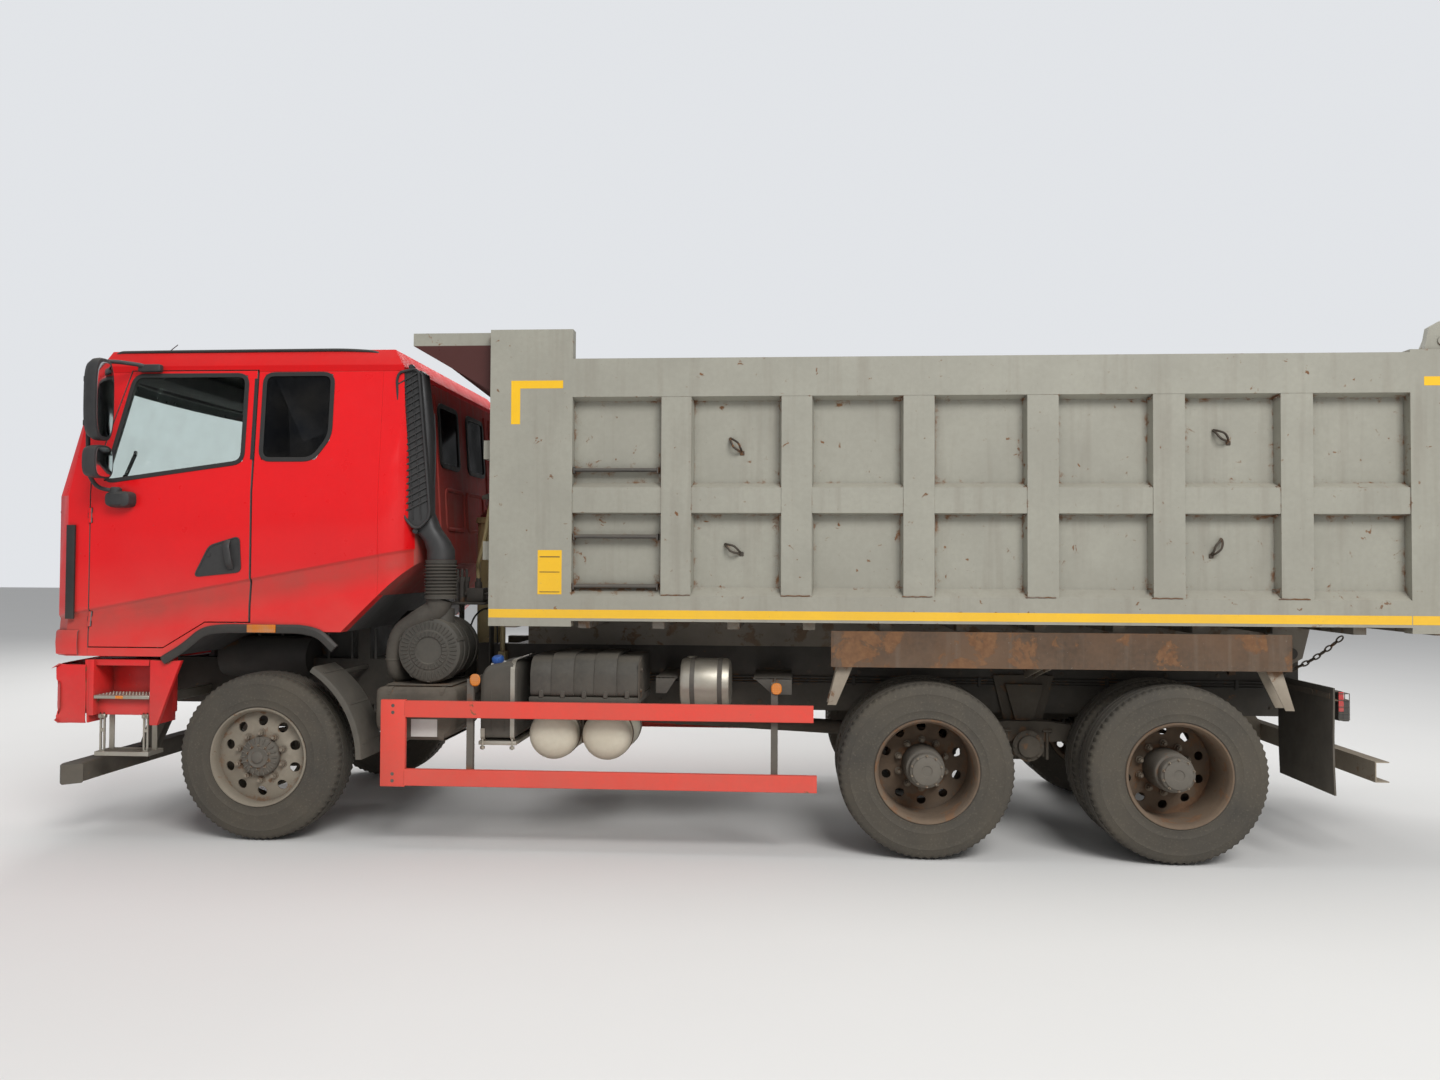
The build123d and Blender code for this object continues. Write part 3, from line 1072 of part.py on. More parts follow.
def fender_beams():
    """Steel beam over each side's tandem, on arms from the rails."""
    front = MID_AXLE_X + 545
    rear = REAR_AXLE_X - 615
    z = RAIL_TOP
    beam = between(front, rear, 1150, 1238, z + 55, z + 260)
    beam -= between(front + 10, rear - 10, 1140, 1226, z + 67, z + 270)
    for x in (front - 40, (MID_AXLE_X + REAR_AXLE_X) / 2 - 15, rear + 40):
        beam += between(x, x - 40, RAIL_OUT + SEAT_GAP, 1160, z + 56, z + 100)
        beam += between(x, x - 40, RAIL_OUT + SEAT_GAP, RAIL_OUT + 30, z - 40, z + 60)
    return both(beam)


def underrun_bars():
    """Front bar under the bumper and the channel behind the rear wheels."""
    x = FRONT_AXLE_X
    under_rail = RAIL_TOP - RAIL_H - SEAT_GAP
    front = between(x + 1115, x + 1235, -1200, 1200, RAIL_TOP - 710, RAIL_TOP - 585)
    for sign in (1, -1):
        front += between(x + 1000, x + 1120, sign * 345, sign * 425, RAIL_TOP - 700, under_rail)
    rear_x = RAIL_REAR_X - 110
    rear = between(rear_x - 60, rear_x + 20, -1150, 1150, RAIL_TOP - 570, RAIL_TOP - 450)
    for sign in (1, -1):
        rear += between(rear_x, RAIL_REAR_X + 80, sign * 345, sign * 425, RAIL_TOP - 560, under_rail)
    return [front, rear]


def lamps():
    """Head lamps let into the bumper and tail lamps behind the flaps."""
    solids = both(bumper_skirt() & lamp_zone(SEAT_GAP))
    tail_x = REAR_AXLE_X - 830 - 54 - SEAT_GAP
    tail = between(tail_x, tail_x - 60, 860, 1190, RAIL_TOP - 220, RAIL_TOP - 108)
    tail += between(tail_x, tail_x - 30, 860, 1190, RAIL_TOP - 109, RAIL_TOP - 55)
    solids += both(tail)
    return solids


os.makedirs("parts", exist_ok=True)
wheels()
for side in ("left", "right"):
    save(f"{side}_knuckle", knuckle(side))
save("tie_rod", tie_rod())
save("axles_and_shafts", front_axle(), driven_axle(MID_AXLE_X), driven_axle(REAR_AXLE_X), *propeller_shafts())
save("leaf_springs", *leaf_springs())
save("engine", engine())
save("chassis_frame", chassis_frame())
save("bed_subframe", bed_subframe())
hoist()
save("bed_floor", bed_floor())
save("bed_sides", *both(bed_side()))
save("bed_front", bed_front())
save("tailgate", tailgate())
cab()
save("left_mirrors", mirrors())
save("right_mirrors", mirrored(mirrors()))
cab_fittings()
save("front_bumper", bumper())
save("cab_steps", *both(steps()))
save("mudguards", *mudguards())
side_equipment()
save("side_guards", *side_guards())
save("fender_beams", *fender_beams())
save("underrun_bars", *underrun_bars())
save("lamps", *lamps())
tilt, growth = hoist_travel()
print("hoist tilt", round(tilt, 3), "growth", round(growth, 2))
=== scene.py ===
from math import atan2, copysign, cos, degrees, exp, floor, hypot, pi, radians, sin, sqrt, tan, tau

import bmesh
import bpy
from mathutils import Matrix, Vector


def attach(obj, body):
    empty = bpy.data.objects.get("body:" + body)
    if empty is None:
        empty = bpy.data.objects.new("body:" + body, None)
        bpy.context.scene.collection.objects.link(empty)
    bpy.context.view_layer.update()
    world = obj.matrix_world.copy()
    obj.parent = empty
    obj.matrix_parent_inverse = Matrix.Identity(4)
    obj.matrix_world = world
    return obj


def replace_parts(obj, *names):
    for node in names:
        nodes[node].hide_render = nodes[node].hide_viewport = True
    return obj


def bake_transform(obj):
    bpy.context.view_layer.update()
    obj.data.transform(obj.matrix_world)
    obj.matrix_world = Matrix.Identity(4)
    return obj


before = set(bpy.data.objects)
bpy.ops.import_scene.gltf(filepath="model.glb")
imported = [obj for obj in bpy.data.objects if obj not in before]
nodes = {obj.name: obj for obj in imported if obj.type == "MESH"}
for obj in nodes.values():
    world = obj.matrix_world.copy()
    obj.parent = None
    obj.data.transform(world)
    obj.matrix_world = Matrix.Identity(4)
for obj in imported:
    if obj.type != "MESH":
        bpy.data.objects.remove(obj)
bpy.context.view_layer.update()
print("frame loaded")

# Places that the CAD part has too, in metres; x ahead, y left, z up
frontAxleX = 2.815
midAxleX = -1.16
rearAxleX = -2.56
axleZ = 0.505


# Materials, built from nodes


def newMaterial(name):
    material = bpy.data.materials.new(name)
    material.use_nodes = True
    tree = material.node_tree
    return material, tree, tree.nodes["Principled BSDF"]


def feed(tree, node, inputs):
    # a value is set on the node's input, an output is linked to it
    for key, value in inputs.items():
        socket = node.inputs[key]
        if isinstance(value, bpy.types.NodeSocket):
            tree.links.new(value, socket)
        elif isinstance(value, tuple) and socket.type == "RGBA":
            socket.default_value = (*value, 1.0)
        else:
            socket.default_value = value
    return node


def addNode(tree, kind, inputs, **settings):
    node = tree.nodes.new("ShaderNode" + kind)
    for key, value in settings.items():
        setattr(node, key, value)
    return feed(tree, node, inputs)


def coordinates(tree, kind="Object"):
    return tree.nodes.new("ShaderNodeTexCoord").outputs[kind]


def noise(tree, scale, detail=4.0, rough=0.55, distortion=0.0, stretch=None):
    # stretch scales the object coordinates apart along the axes
    place = coordinates(tree)
    if stretch:
        place = addNode(tree, "Mapping", {"Vector": place, "Scale": stretch}).outputs["Vector"]
    return addNode(tree, "TexNoise", {"Scale": scale, "Detail": detail, "Roughness": rough,
        "Distortion": distortion, "Vector": place}).outputs["Fac"]


def ramp(tree, value, low, high, outLow=0.0, outHigh=1.0):
    return addNode(tree, "MapRange", {"Value": value, "From Min": low, "From Max": high, "To Min": outLow,
        "To Max": outHigh}).outputs["Result"]


def calc(tree, operation, a, b):
    clamped = operation in ("MULTIPLY", "ADD", "MAXIMUM")
    return addNode(tree, "Math", {0: a, 1: b}, operation=operation, use_clamp=clamped).outputs[0]


def blendColours(tree, factor, a, b):
    return addNode(tree, "Mix", {0: factor, 6: a, 7: b}, data_type="RGBA").outputs[2]


def axisValue(tree, axis, kind="Object"):
    return addNode(tree, "SeparateXYZ", {0: coordinates(tree, kind)}).outputs["XYZ".index(axis)]


def crevices(tree, distance=0.06):
    # 1 in corners and seams, 0 in the open
    node = addNode(tree, "AmbientOcclusion", {"Distance": distance}, samples=6)
    return ramp(tree, node.outputs["AO"], 0.85, 0.35)


def dotProduct(tree, a, b):
    return addNode(tree, "VectorMath", {0: a, 1: b}, operation="DOT_PRODUCT").outputs["Value"]


def edges(tree, radius=0.006):
    # 1 on sharp outer edges, where paint wears through
    bevel = addNode(tree, "Bevel", {"Radius": radius}, samples=4)
    geometry = addNode(tree, "NewGeometry", {})
    return ramp(tree, dotProduct(tree, bevel.outputs["Normal"], geometry.outputs["Normal"]), 0.985, 0.86)


def addBump(tree, shader, height, strength, distance):
    bump = addNode(tree, "Bump", {"Strength": strength, "Distance": distance, "Height": height})
    feed(tree, shader, {"Normal": bump.outputs["Normal"]})


dustColour = (0.3, 0.26, 0.2)
rustDark = (0.085, 0.035, 0.018)
rustLight = (0.25, 0.125, 0.055)


def wornFinish(name, colour, second=None, vary=0.25, metal=0.0, rough=0.5, coat=0.0, dust=0.3, dustTop=1.2,
        dustBase=0.3, rust=0.0, rustScale=9.0, chips=0.0, grimeAndShade=0.4, streaks=0.0, grain=180.0, grainHeight=0.0004,
        edgeRust=0.0, shine=0.4):
    # paint or metal with colour drift, streaks, grime and painted shade in corners, rust, chips and dust low down
    material, tree, shader = newMaterial(name)
    second = second or tuple(c * 0.72 for c in colour)
    tone = ramp(tree, noise(tree, 2.3, 5.0), 0.35, 0.65, 0.0, vary)
    paint = blendColours(tree, tone, colour, second)
    fine = ramp(tree, noise(tree, 38.0, 3.0), 0.3, 0.7, 0.0, vary * 0.6)
    paint = blendColours(tree, fine, paint, second)
    if streaks:
        run = ramp(tree, noise(tree, 1.0, stretch=(14.0, 14.0, 0.9)), 0.52, 0.72, 0.0, streaks)
        paint = blendColours(tree, run, paint, (0.16, 0.13, 0.1))
    roughness = ramp(tree, noise(tree, 12.0, 4.0), 0.3, 0.7, max(rough - 0.08, 0.03), rough + 0.1)
    corners = crevices(tree) if grimeAndShade or rust else None
    # painted shade: near-black where the ambient occlusion finds corners and seams, partly grime
    if grimeAndShade:
        paint = blendColours(tree, calc(tree, "MULTIPLY", corners, grimeAndShade), paint, (0.055, 0.045, 0.038))
    if rust:
        patch = noise(tree, rustScale, 8.0, 0.62, distortion=0.4)
        eager = calc(tree, "MULTIPLY", corners, 0.16)
        if edgeRust:
            eager = calc(tree, "ADD", eager, calc(tree, "MULTIPLY", edges(tree), edgeRust))
        patch = calc(tree, "ADD", patch, eager)
        mask = ramp(tree, patch, 0.74 - rust * 0.3, 0.78 - rust * 0.3)
        shade = blendColours(tree, noise(tree, 31.0, 6.0), rustDark, rustLight)
        paint = blendColours(tree, mask, paint, shade)
        roughness = calc(tree, "ADD", roughness, calc(tree, "MULTIPLY", mask, 0.35))
    if chips:
        spots = ramp(tree, noise(tree, 62.0, 5.0, 0.7), 0.72 - chips * 0.1, 0.74 - chips * 0.1)
        paint = blendColours(tree, spots, paint, (0.2, 0.17, 0.14))
    if dust:
        low = ramp(tree, axisValue(tree, "Z"), dustTop, dustBase)
        cloud = ramp(tree, noise(tree, 3.7, 6.0, 0.6), 0.25, 0.7, 0.35, 1.0)
        veil = calc(tree, "MULTIPLY", calc(tree, "MULTIPLY", low, cloud), dust)
        flat = ramp(tree, axisValue(tree, "Z", "Normal"), 0.4, 0.9, 0.0, dust * 0.8)
        veil = calc(tree, "MAXIMUM", veil, calc(tree, "MULTIPLY", flat, cloud))
        paint = blendColours(tree, veil, paint, dustColour)
        roughness = calc(tree, "ADD", roughness, calc(tree, "MULTIPLY", veil, 0.5))
    feed(tree, shader, {"Base Color": paint, "Roughness": roughness, "Metallic": metal, "Specular IOR Level": shine,
        "Coat Weight": coat, "Coat Roughness": 0.12})
    addBump(tree, shader, noise(tree, grain, 4.0), 0.35, grainHeight)
    return material


def overlay(material, mask, colour):
    # a colour over what the finish shows, where the mask lets it
    tree = material.node_tree
    shader = tree.nodes["Principled BSDF"]
    under = shader.inputs["Base Color"].links[0].from_socket
    feed(tree, shader, {"Base Color": blendColours(tree, mask, under, colour)})
    return material


def insideOut(material, inner, centre):
    # the faces that look towards centre take another colour: the far side of a shell
    tree = material.node_tree
    offset = addNode(tree, "VectorMath", {0: coordinates(tree), 1: centre}, operation="SUBTRACT").outputs[0]
    facing = dotProduct(tree, offset, coordinates(tree, "Normal"))
    return overlay(material, ramp(tree, facing, 0.02, -0.02), inner)


def canopyShade(material, under):
    # painted shade: the plates below the canopy's rim take a near-black red-brown for the canopy's shadow
    tree = material.node_tree
    ahead, height = axisValue(tree, "X"), axisValue(tree, "Z")
    mask = calc(tree, "MULTIPLY", ramp(tree, height, 2.981, 2.977), ramp(tree, height, 2.6, 2.602))
    return overlay(material, calc(tree, "MULTIPLY", mask, ramp(tree, ahead, 1.388, 1.392)), under)


def dustAndShadeBand(material, x, z, rise, tall, colour, most):
    # dust and painted shade on the pressed-in band below the crease, which faces down
    tree = material.node_tree
    line = calc(tree, "SUBTRACT", z + rise * x, calc(tree, "MULTIPLY", axisValue(tree, "X"), rise))
    below = calc(tree, "SUBTRACT", line, axisValue(tree, "Z"))
    mask = calc(tree, "MULTIPLY", ramp(tree, below, 0.0, 0.012), ramp(tree, below, tall, tall * 0.45))
    cloud = ramp(tree, noise(tree, 4.5, 6.0, 0.6), 0.3, 0.7, most * 0.45, most)
    return overlay(material, calc(tree, "MULTIPLY", mask, cloud), colour)


def glassFinish(name, tint, transmission=1.0, rough=0.02, dust=0.1):
    material, tree, shader = newMaterial(name)
    smear = ramp(tree, noise(tree, 5.0, 6.0), 0.35, 0.75, 0.0, dust)
    feed(tree, shader, {"Base Color": blendColours(tree, smear, tint, dustColour), "Roughness": ramp(tree, smear,
        0.0, 1.0, rough, 0.5), "Transmission Weight": transmission, "IOR": 1.1})
    return material


def lensFinish(name, colour):
    # moulded lens with rows of small prisms
    material, tree, shader = newMaterial(name)
    prism = addNode(tree, "TexVoronoi", {"Scale": 95.0, "Randomness": 0.0, "Vector": coordinates(tree)})
    cells = ramp(tree, prism.outputs["Distance"], 0.1, 0.6)
    tone = blendColours(tree, cells, colour, tuple(c * 0.6 for c in colour))
    veil = ramp(tree, noise(tree, 14.0, 5.0), 0.45, 0.75, 0.0, 0.35)
    feed(tree, shader, {"Base Color": blendColours(tree, veil, tone, dustColour), "Roughness": 0.16,
        "Coat Weight": 0.7})
    addBump(tree, shader, prism.outputs["Distance"], 0.4, 0.001)
    return material


def rubberFinish(name):
    # tyre rubber, greyed by dust that gathers on the sidewall
    material, tree, shader = newMaterial(name)
    tone = blendColours(tree, noise(tree, 6.0, 6.0, 0.6), (0.03, 0.028, 0.025), (0.062, 0.056, 0.046))
    veil = ramp(tree, noise(tree, 2.4, 7.0, 0.6), 0.3, 0.72, 0.12, 0.62)
    speck = ramp(tree, noise(tree, 85.0), 0.55, 0.75, 0.0, 0.35)
    tone = blendColours(tree, veil, tone, (0.105, 0.086, 0.06))
    tone = blendColours(tree, speck, tone, (0.17, 0.145, 0.105))
    # painted shade: darker in the grooves and gaps, where the ambient occlusion finds them
    tone = blendColours(tree, calc(tree, "MULTIPLY", crevices(tree, 0.02), 0.6), tone, (0.045, 0.04, 0.035))
    feed(tree, shader, {"Base Color": tone, "Roughness": 0.86})
    addBump(tree, shader, noise(tree, 240.0, 5.0), 0.5, 0.0008)
    return material


def fabricFinish(name, colour):
    # woven seat cloth: two crossed sets of threads
    material, tree, shader = newMaterial(name)
    warp, weft = [addNode(tree, "TexWave", {"Scale": 130.0, "Distortion": 1.5, "Vector": coordinates(tree)},
        bands_direction=way).outputs["Fac"] for way in "XZ"]
    threads = calc(tree, "MAXIMUM", warp, weft)
    tone = blendColours(tree, threads, tuple(c * 0.6 for c in colour), colour)
    worn = ramp(tree, noise(tree, 7.0, 5.0), 0.45, 0.7, 0.0, 0.4)
    feed(tree, shader, {"Base Color": blendColours(tree, worn, tone, (0.2, 0.19, 0.18)), "Roughness": 0.92,
        "Sheen Weight": 0.3})
    addBump(tree, shader, threads, 0.5, 0.0006)
    return material


paint = {
    "cabRed": (0.76, 0.004, 0.007),
    "guardRed": (0.76, 0.055, 0.036),
    "bedGrey": (0.325, 0.315, 0.262),
    "chassisBlack": (0.018, 0.017, 0.016),
    "tapeYellow": (0.86, 0.5, 0.012),
    "hoistYellow": (0.5, 0.4, 0.2),
    "tankCream": (0.66, 0.62, 0.5),
    "plateWhite": (0.72, 0.72, 0.7),
    "amber": (0.85, 0.25, 0.01),
    "tailRed": (0.55, 0.015, 0.015),
    "capBlue": (0.02, 0.11, 0.42),
}

# colour, second colour, the numbers named in wornColumns, and what else differs
worn = {
    "cabRed": (paint["cabRed"], (0.62, 0.006, 0.009), (0.3, 0.34, 0.36, 1.7, 0.9, 0.0, 0.35),
        dict(coat=0.25, shine=0.3, chips=0.1, grain=60.0, grainHeight=0.0001)),
    "roofRed": ((0.62, 0.004, 0.006), (0.45, 0.008, 0.01), (0.4, 0.62, 0.12, 1.75, 0.6, 0.0, 0.35),
        dict(shine=0.15, grain=60.0, grainHeight=0.0001)),
    # the back wall: a darker, duller copy of the cab red, dust and painted shade of the back in shadow
    "backRedDustAndShade": ((0.5, 0.012, 0.014), (0.3, 0.035, 0.03), (0.8, 0.7, 0.32, 3.3, 1.4, 0.0, 0.5),
        dict(shine=0.15, streaks=0.3, grain=90.0)),
    "bedGrey": (paint["bedGrey"], (0.245, 0.235, 0.195), (0.5, 0.55, 0.3, 1.7, 1.1, 0.3, 0.3),
        dict(rustScale=16.0, streaks=0.22, chips=0.3, grain=130.0, edgeRust=0.05)),
    "bedWorn": ((0.19, 0.17, 0.15), (0.25, 0.23, 0.21), (0.7, 0.55, 0.6, 3.0, 1.2, 0.62, 0.4),
        dict(metal=0.3, rustScale=7.0)),
    # near-black red-brown of the ribs under the canopy: painted shade of the canopy's shadow
    "canopyShadeBrown": ((0.075, 0.018, 0.014), None, (0.25, 0.6, 0.2, 1.2, 0.3, 0.4, 0.4), {}),
    "chassisBlack": (paint["chassisBlack"], (0.045, 0.04, 0.035), (0.6, 0.6, 0.4, 1.5, 0.4, 0.28, 0.2), {}),
    "dustyIron": ((0.045, 0.038, 0.031), (0.095, 0.078, 0.06), (0.8, 0.75, 0.45, 1.4, 0.2, 0.4, 0.3), {}),
    "engineGrey": ((0.07, 0.07, 0.07), None, (0.5, 0.6, 0.4, 1.6, 0.4, 0.2, 0.4), dict(metal=0.3)),
    "rustySteel": ((0.058, 0.036, 0.023), (0.125, 0.068, 0.037), (0.9, 0.78, 0.18, 1.5, 0.9, 0.66, 0.3),
        dict(metal=0.1, rustScale=5.0, streaks=0.4, chips=0.5, edgeRust=0.1)),
    "guardRed": (paint["guardRed"], (0.6, 0.075, 0.05), (0.6, 0.55, 0.2, 1.1, 0.2, 0.22, 0.2),
        dict(rustScale=11.0, chips=0.5, edgeRust=0.06)),
    "blackPlastic": ((0.022, 0.022, 0.023), (0.045, 0.044, 0.043), (0.6, 0.52, 0.2, 1.9, 0.5, 0.0, 0.0),
        dict(grain=320.0)),
    "blackRubber": ((0.016, 0.016, 0.016), (0.035, 0.033, 0.031), (0.5, 0.6, 0.22, 1.6, 0.6, 0.0, 0.0),
        dict(grain=240.0)),
    "dustyPlastic": ((0.028, 0.027, 0.025), (0.065, 0.06, 0.05), (0.8, 0.66, 0.38, 1.5, 0.3, 0.0, 0.2),
        dict(grain=320.0)),
    "visorSmoke": ((0.014, 0.015, 0.017), (0.03, 0.03, 0.032), (0.4, 0.3, 0.2, 3.4, 1.0, 0.0, 0.0),
        dict(coat=0.4, grain=40.0)),
    "stepRed": ((0.72, 0.006, 0.009), (0.55, 0.014, 0.014), (0.5, 0.42, 0.28, 1.25, 0.45, 0.12, 0.4),
        dict(coat=0.15, chips=0.4)),
    "darkIron": ((0.03, 0.027, 0.024), (0.08, 0.06, 0.042), (0.8, 0.6, 0.3, 2.4, 0.4, 0.45, 0.4), dict(metal=0.3)),
    "weldRust": ((0.2, 0.18, 0.155), (0.15, 0.075, 0.04), (1.0, 0.75, 0.2, 1.2, 0.3, 0.72, 0.4), dict(rustScale=7.0)),
    "tapeYellow": (paint["tapeYellow"], (0.74, 0.42, 0.015), (0.5, 0.5, 0.2, 2.0, 1.0, 0.0, 0.35),
        dict(chips=0.35, grain=420.0)),
    "dustyRubber": ((0.018, 0.017, 0.016), (0.055, 0.049, 0.041), (0.9, 0.75, 0.35, 1.9, 0.4, 0.0, 0.2),
        dict(grain=260.0)),
    "dustyGrey": ((0.052, 0.05, 0.047), (0.105, 0.094, 0.08), (0.8, 0.62, 0.35, 1.4, 0.3, 0.3, 0.2),
        dict(metal=0.2, chips=0.3)),
    "dustyBeige": ((0.34, 0.29, 0.225), (0.22, 0.18, 0.14), (0.8, 0.75, 0.5, 1.3, 0.7, 0.42, 0.3), {}),
    "plateWhite": (paint["plateWhite"], (0.6, 0.58, 0.52), (0.5, 0.55, 0.4, 1.1, 0.4, 0.0, 0.2), {}),
    "capBlue": (paint["capBlue"], None, (0.3, 0.45, 0.25, 1.2, 0.3, 0.0, 0.3), {}),
    "cabinGrey": ((0.085, 0.083, 0.08), None, (0.3, 0.7, 0.1, 1.2, 0.3, 0.0, 0.4), dict(grain=420.0)),
    "hoistYellow": (paint["hoistYellow"], None, (0.5, 0.45, 0.3, 1.6, 0.8, 0.25, 0.4), dict(streaks=0.3)),
    "chromeRod": ((0.62, 0.62, 0.61), None, (0.2, 0.16, 0.15, 1.2, 0.3, 0.0, 0.4), dict(metal=1.0)),
    "rimBeige": ((0.3, 0.265, 0.21), (0.19, 0.16, 0.122), (0.9, 0.6, 0.55, 1.4, 0.0, 0.35, 0.5),
        dict(metal=0.2, rustScale=14.0, chips=0.4)),
    "rimRust": ((0.085, 0.052, 0.034), (0.16, 0.105, 0.065), (0.9, 0.78, 0.3, 1.4, 0.0, 0.6, 0.55),
        dict(metal=0.1, rustScale=9.0)),
    "hubGrey": ((0.07, 0.066, 0.06), (0.125, 0.112, 0.095), (0.8, 0.7, 0.45, 1.2, 0.1, 0.25, 0.4), dict(metal=0.2)),
    "nutSteel": ((0.2, 0.17, 0.14), (0.3, 0.25, 0.19), (0.8, 0.6, 0.4, 1.2, 0.3, 0.4, 0.4), dict(metal=0.5)),
    "tankCream": (paint["tankCream"], (0.52, 0.47, 0.36), (0.6, 0.5, 0.45, 0.95, 0.4, 0.12, 0.3), dict(metal=0.1)),
    "aluminium": ((0.52, 0.5, 0.45), (0.4, 0.36, 0.28), (0.7, 0.42, 0.4, 1.2, 0.6, 0.0, 0.2), dict(metal=0.8)),
    "mirrorGlass": ((0.75, 0.77, 0.78), None, (0.1, 0.05, 0.15, 1.2, 0.3, 0.0, 0.0), dict(metal=1.0)),
}
worn["bedFront"] = worn["bedGrey"]
wornColumns = ("vary", "rough", "dust", "dustTop", "dustBase", "rust", "grimeAndShade")
finish = {}
for name, (colour, second, numbers, others) in worn.items():
    finish[name] = wornFinish(name, colour, second, **dict(zip(wornColumns, numbers)), **others)
cabCentre = (2.85, 0.0, 2.05)
cabInside = (0.16, 0.155, 0.15)
# the cab red: dust and painted shade on the band below the crease, grey on the shell's inner faces
finish["cabRed"] = insideOut(dustAndShadeBand(finish["cabRed"], 3.867, 1.396, 0.19, 0.21, (0.235, 0.075, 0.055), 0.6),
    cabInside, cabCentre)
finish["roofRed"] = insideOut(finish["roofRed"], cabInside, cabCentre)
finish["backRedDustAndShade"] = insideOut(finish["backRedDustAndShade"], cabInside, cabCentre)
finish["tyreRubber"] = rubberFinish("tyreRubber")
# painted shade under the canopy
finish["bedFront"] = canopyShade(finish["bedFront"], (0.06, 0.014, 0.011))
finish["windowGlass"] = glassFinish("windowGlass", (0.8, 0.86, 0.84))
# painted shade: near-black glass that lets no light through, standing for the dark cab behind the quarter and back
# windows
finish["quarterGlass"] = glassFinish("quarterGlass", (0.012, 0.013, 0.015), transmission=0.0, rough=0.08, dust=0.06)
finish["seatCloth"] = fabricFinish("seatCloth", (0.085, 0.085, 0.09))
finish["amberLens"] = lensFinish("amberLens", paint["amber"])
finish["redLens"] = lensFinish("redLens", paint["tailRed"])
finish["clearLens"] = lensFinish("clearLens", (0.68, 0.7, 0.72))

nodeFinish = {}
for material, names in (
        ("cabRed", "cab_front cab_sides left_door right_door front_bumper cab_steps"),
        ("backRedDustAndShade", "cab_back"),
        ("roofRed", "cab_roof"),
        ("cabinGrey", "cab_floor dashboard"),
        ("windowGlass", "cab_glass left_door_glass right_door_glass"),
        ("seatCloth", "seats"),
        ("blackPlastic", "sun_visor left_mirrors right_mirrors air_intake"),
        ("dustyPlastic", "air_filter mudguards side_boxes"),
        ("tankCream", "side_tanks"),
        ("guardRed", "side_guards"),
        ("bedGrey", "bed_sides tailgate"),
        ("bedFront", "bed_front"),
        ("bedWorn", "bed_floor"),
        ("chassisBlack", "bed_subframe chassis_frame underrun_bars"),
        ("engineGrey", "engine"),
        ("dustyIron", "axles_and_shafts leaf_springs left_knuckle right_knuckle tie_rod"),
        ("rustySteel", "fender_beams"),
        ("clearLens", "lamps"),
        ("hoistYellow", "hoist_tube"),
        ("chromeRod", "hoist_stage_1 hoist_stage_2 hoist_stage_3 hoist_stage_4"),
):
    nodeFinish.update(dict.fromkeys(names.split(), material))


def setFinish(obj, name):
    obj.data.materials.clear()
    obj.data.materials.append(finish[name])


for name, obj in nodes.items():
    if name in nodeFinish:
        setFinish(obj, nodeFinish[name])
    elif name.endswith(("_tyre", "_tyres")):
        setFinish(obj, "tyreRubber")
    else:
        setFinish(obj, "rimRust")
print("finishes on the frame")


# Mesh building


def toMesh(bm, name):
    mesh = bpy.data.meshes.new(name)
    bm.to_mesh(mesh)
    bm.free()
    return mesh


def addObject(name, data):
    obj = bpy.data.objects.new(name, data)
    bpy.context.scene.collection.objects.link(obj)
    return obj


def makePiece(bm, name, material, body, sharpAngle=38.0):
    # a finished mesh piece at the origin, riding on a body when one is given
    for edge in bm.edges:
        edge.smooth = not (len(edge.link_faces) == 2 and edge.calc_face_angle(0.0) > radians(sharpAngle))
    for face in bm.faces:
        face.smooth = True
    obj = addObject(name, toMesh(bm, name))
    obj.data.materials.append(finish[material])
    if body:
        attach(obj, body)
    return obj


def faceOut(bm, faces=None):
    bmesh.ops.recalc_face_normals(bm, faces=faces or bm.faces[:])


def turnEdges(bm, edges, offset, segments, clamp=True):
    return bmesh.ops.bevel(bm, geom=edges, offset=offset, offset_type="OFFSET", affect="EDGES", segments=segments,
        profile=0.5, material=-1, clamp_overlap=clamp)["verts"]


def joinInto(bm, *parts):
    for part in parts:
        scratch = toMesh(part, "scratch")
        bm.from_mesh(scratch)
        bpy.data.meshes.remove(scratch)


def spinProfile(bm, points, steps, closed=True):
    # (radius, along Y) points turned once round the Y axis, the ends closed onto each other
    verts = [bm.verts.new((r, w, 0.0)) for r, w in points]
    made = [bm.edges.new((verts[i], verts[i + 1])) for i in range(len(verts) - 1)]
    if closed and (Vector(points[0]) - Vector(points[-1])).length > 1e-4 and points[0][0] > 1e-6:
        made.append(bm.edges.new((verts[-1], verts[0])))
    bmesh.ops.spin(bm, geom=verts + made, cent=(0, 0, 0), axis=(0, 1, 0), angle=tau, steps=steps, use_merge=True)
    bmesh.ops.remove_doubles(bm, verts=bm.verts[:], dist=1e-5)
    faceOut(bm)


def addBox(bm, low, high, bevel=0.0, segments=2):
    made = bmesh.ops.create_cube(bm, size=1.0)["verts"]
    size = [h - l for l, h in zip(low, high)]
    middle = [(h + l) / 2 for l, h in zip(low, high)]
    bmesh.ops.scale(bm, vec=size, verts=made)
    bmesh.ops.translate(bm, vec=middle, verts=made)
    if bevel:
        around = list({e for v in made for e in v.link_edges})
        made = turnEdges(bm, around, bevel, segments, False)
    return made


def addBoxes(bm, bevel, segments, *corners):
    # boxes from x, y, z of the low corner and of the high one
    for row in corners:
        addBox(bm, row[:3], row[3:], bevel, segments)


def addRod(bm, start, end, radius, segments=16, endRadius=None):
    start, end = Vector(start), Vector(end)
    along = end - start
    turn = Vector((0, 0, 1)).rotation_difference(along).to_matrix().to_4x4()
    place = Matrix.Translation((start + end) / 2) @ turn
    return bmesh.ops.create_cone(bm, cap_ends=True, segments=segments, radius1=radius, radius2=radius
        if endRadius is None else endRadius, depth=along.length, matrix=place)["verts"]


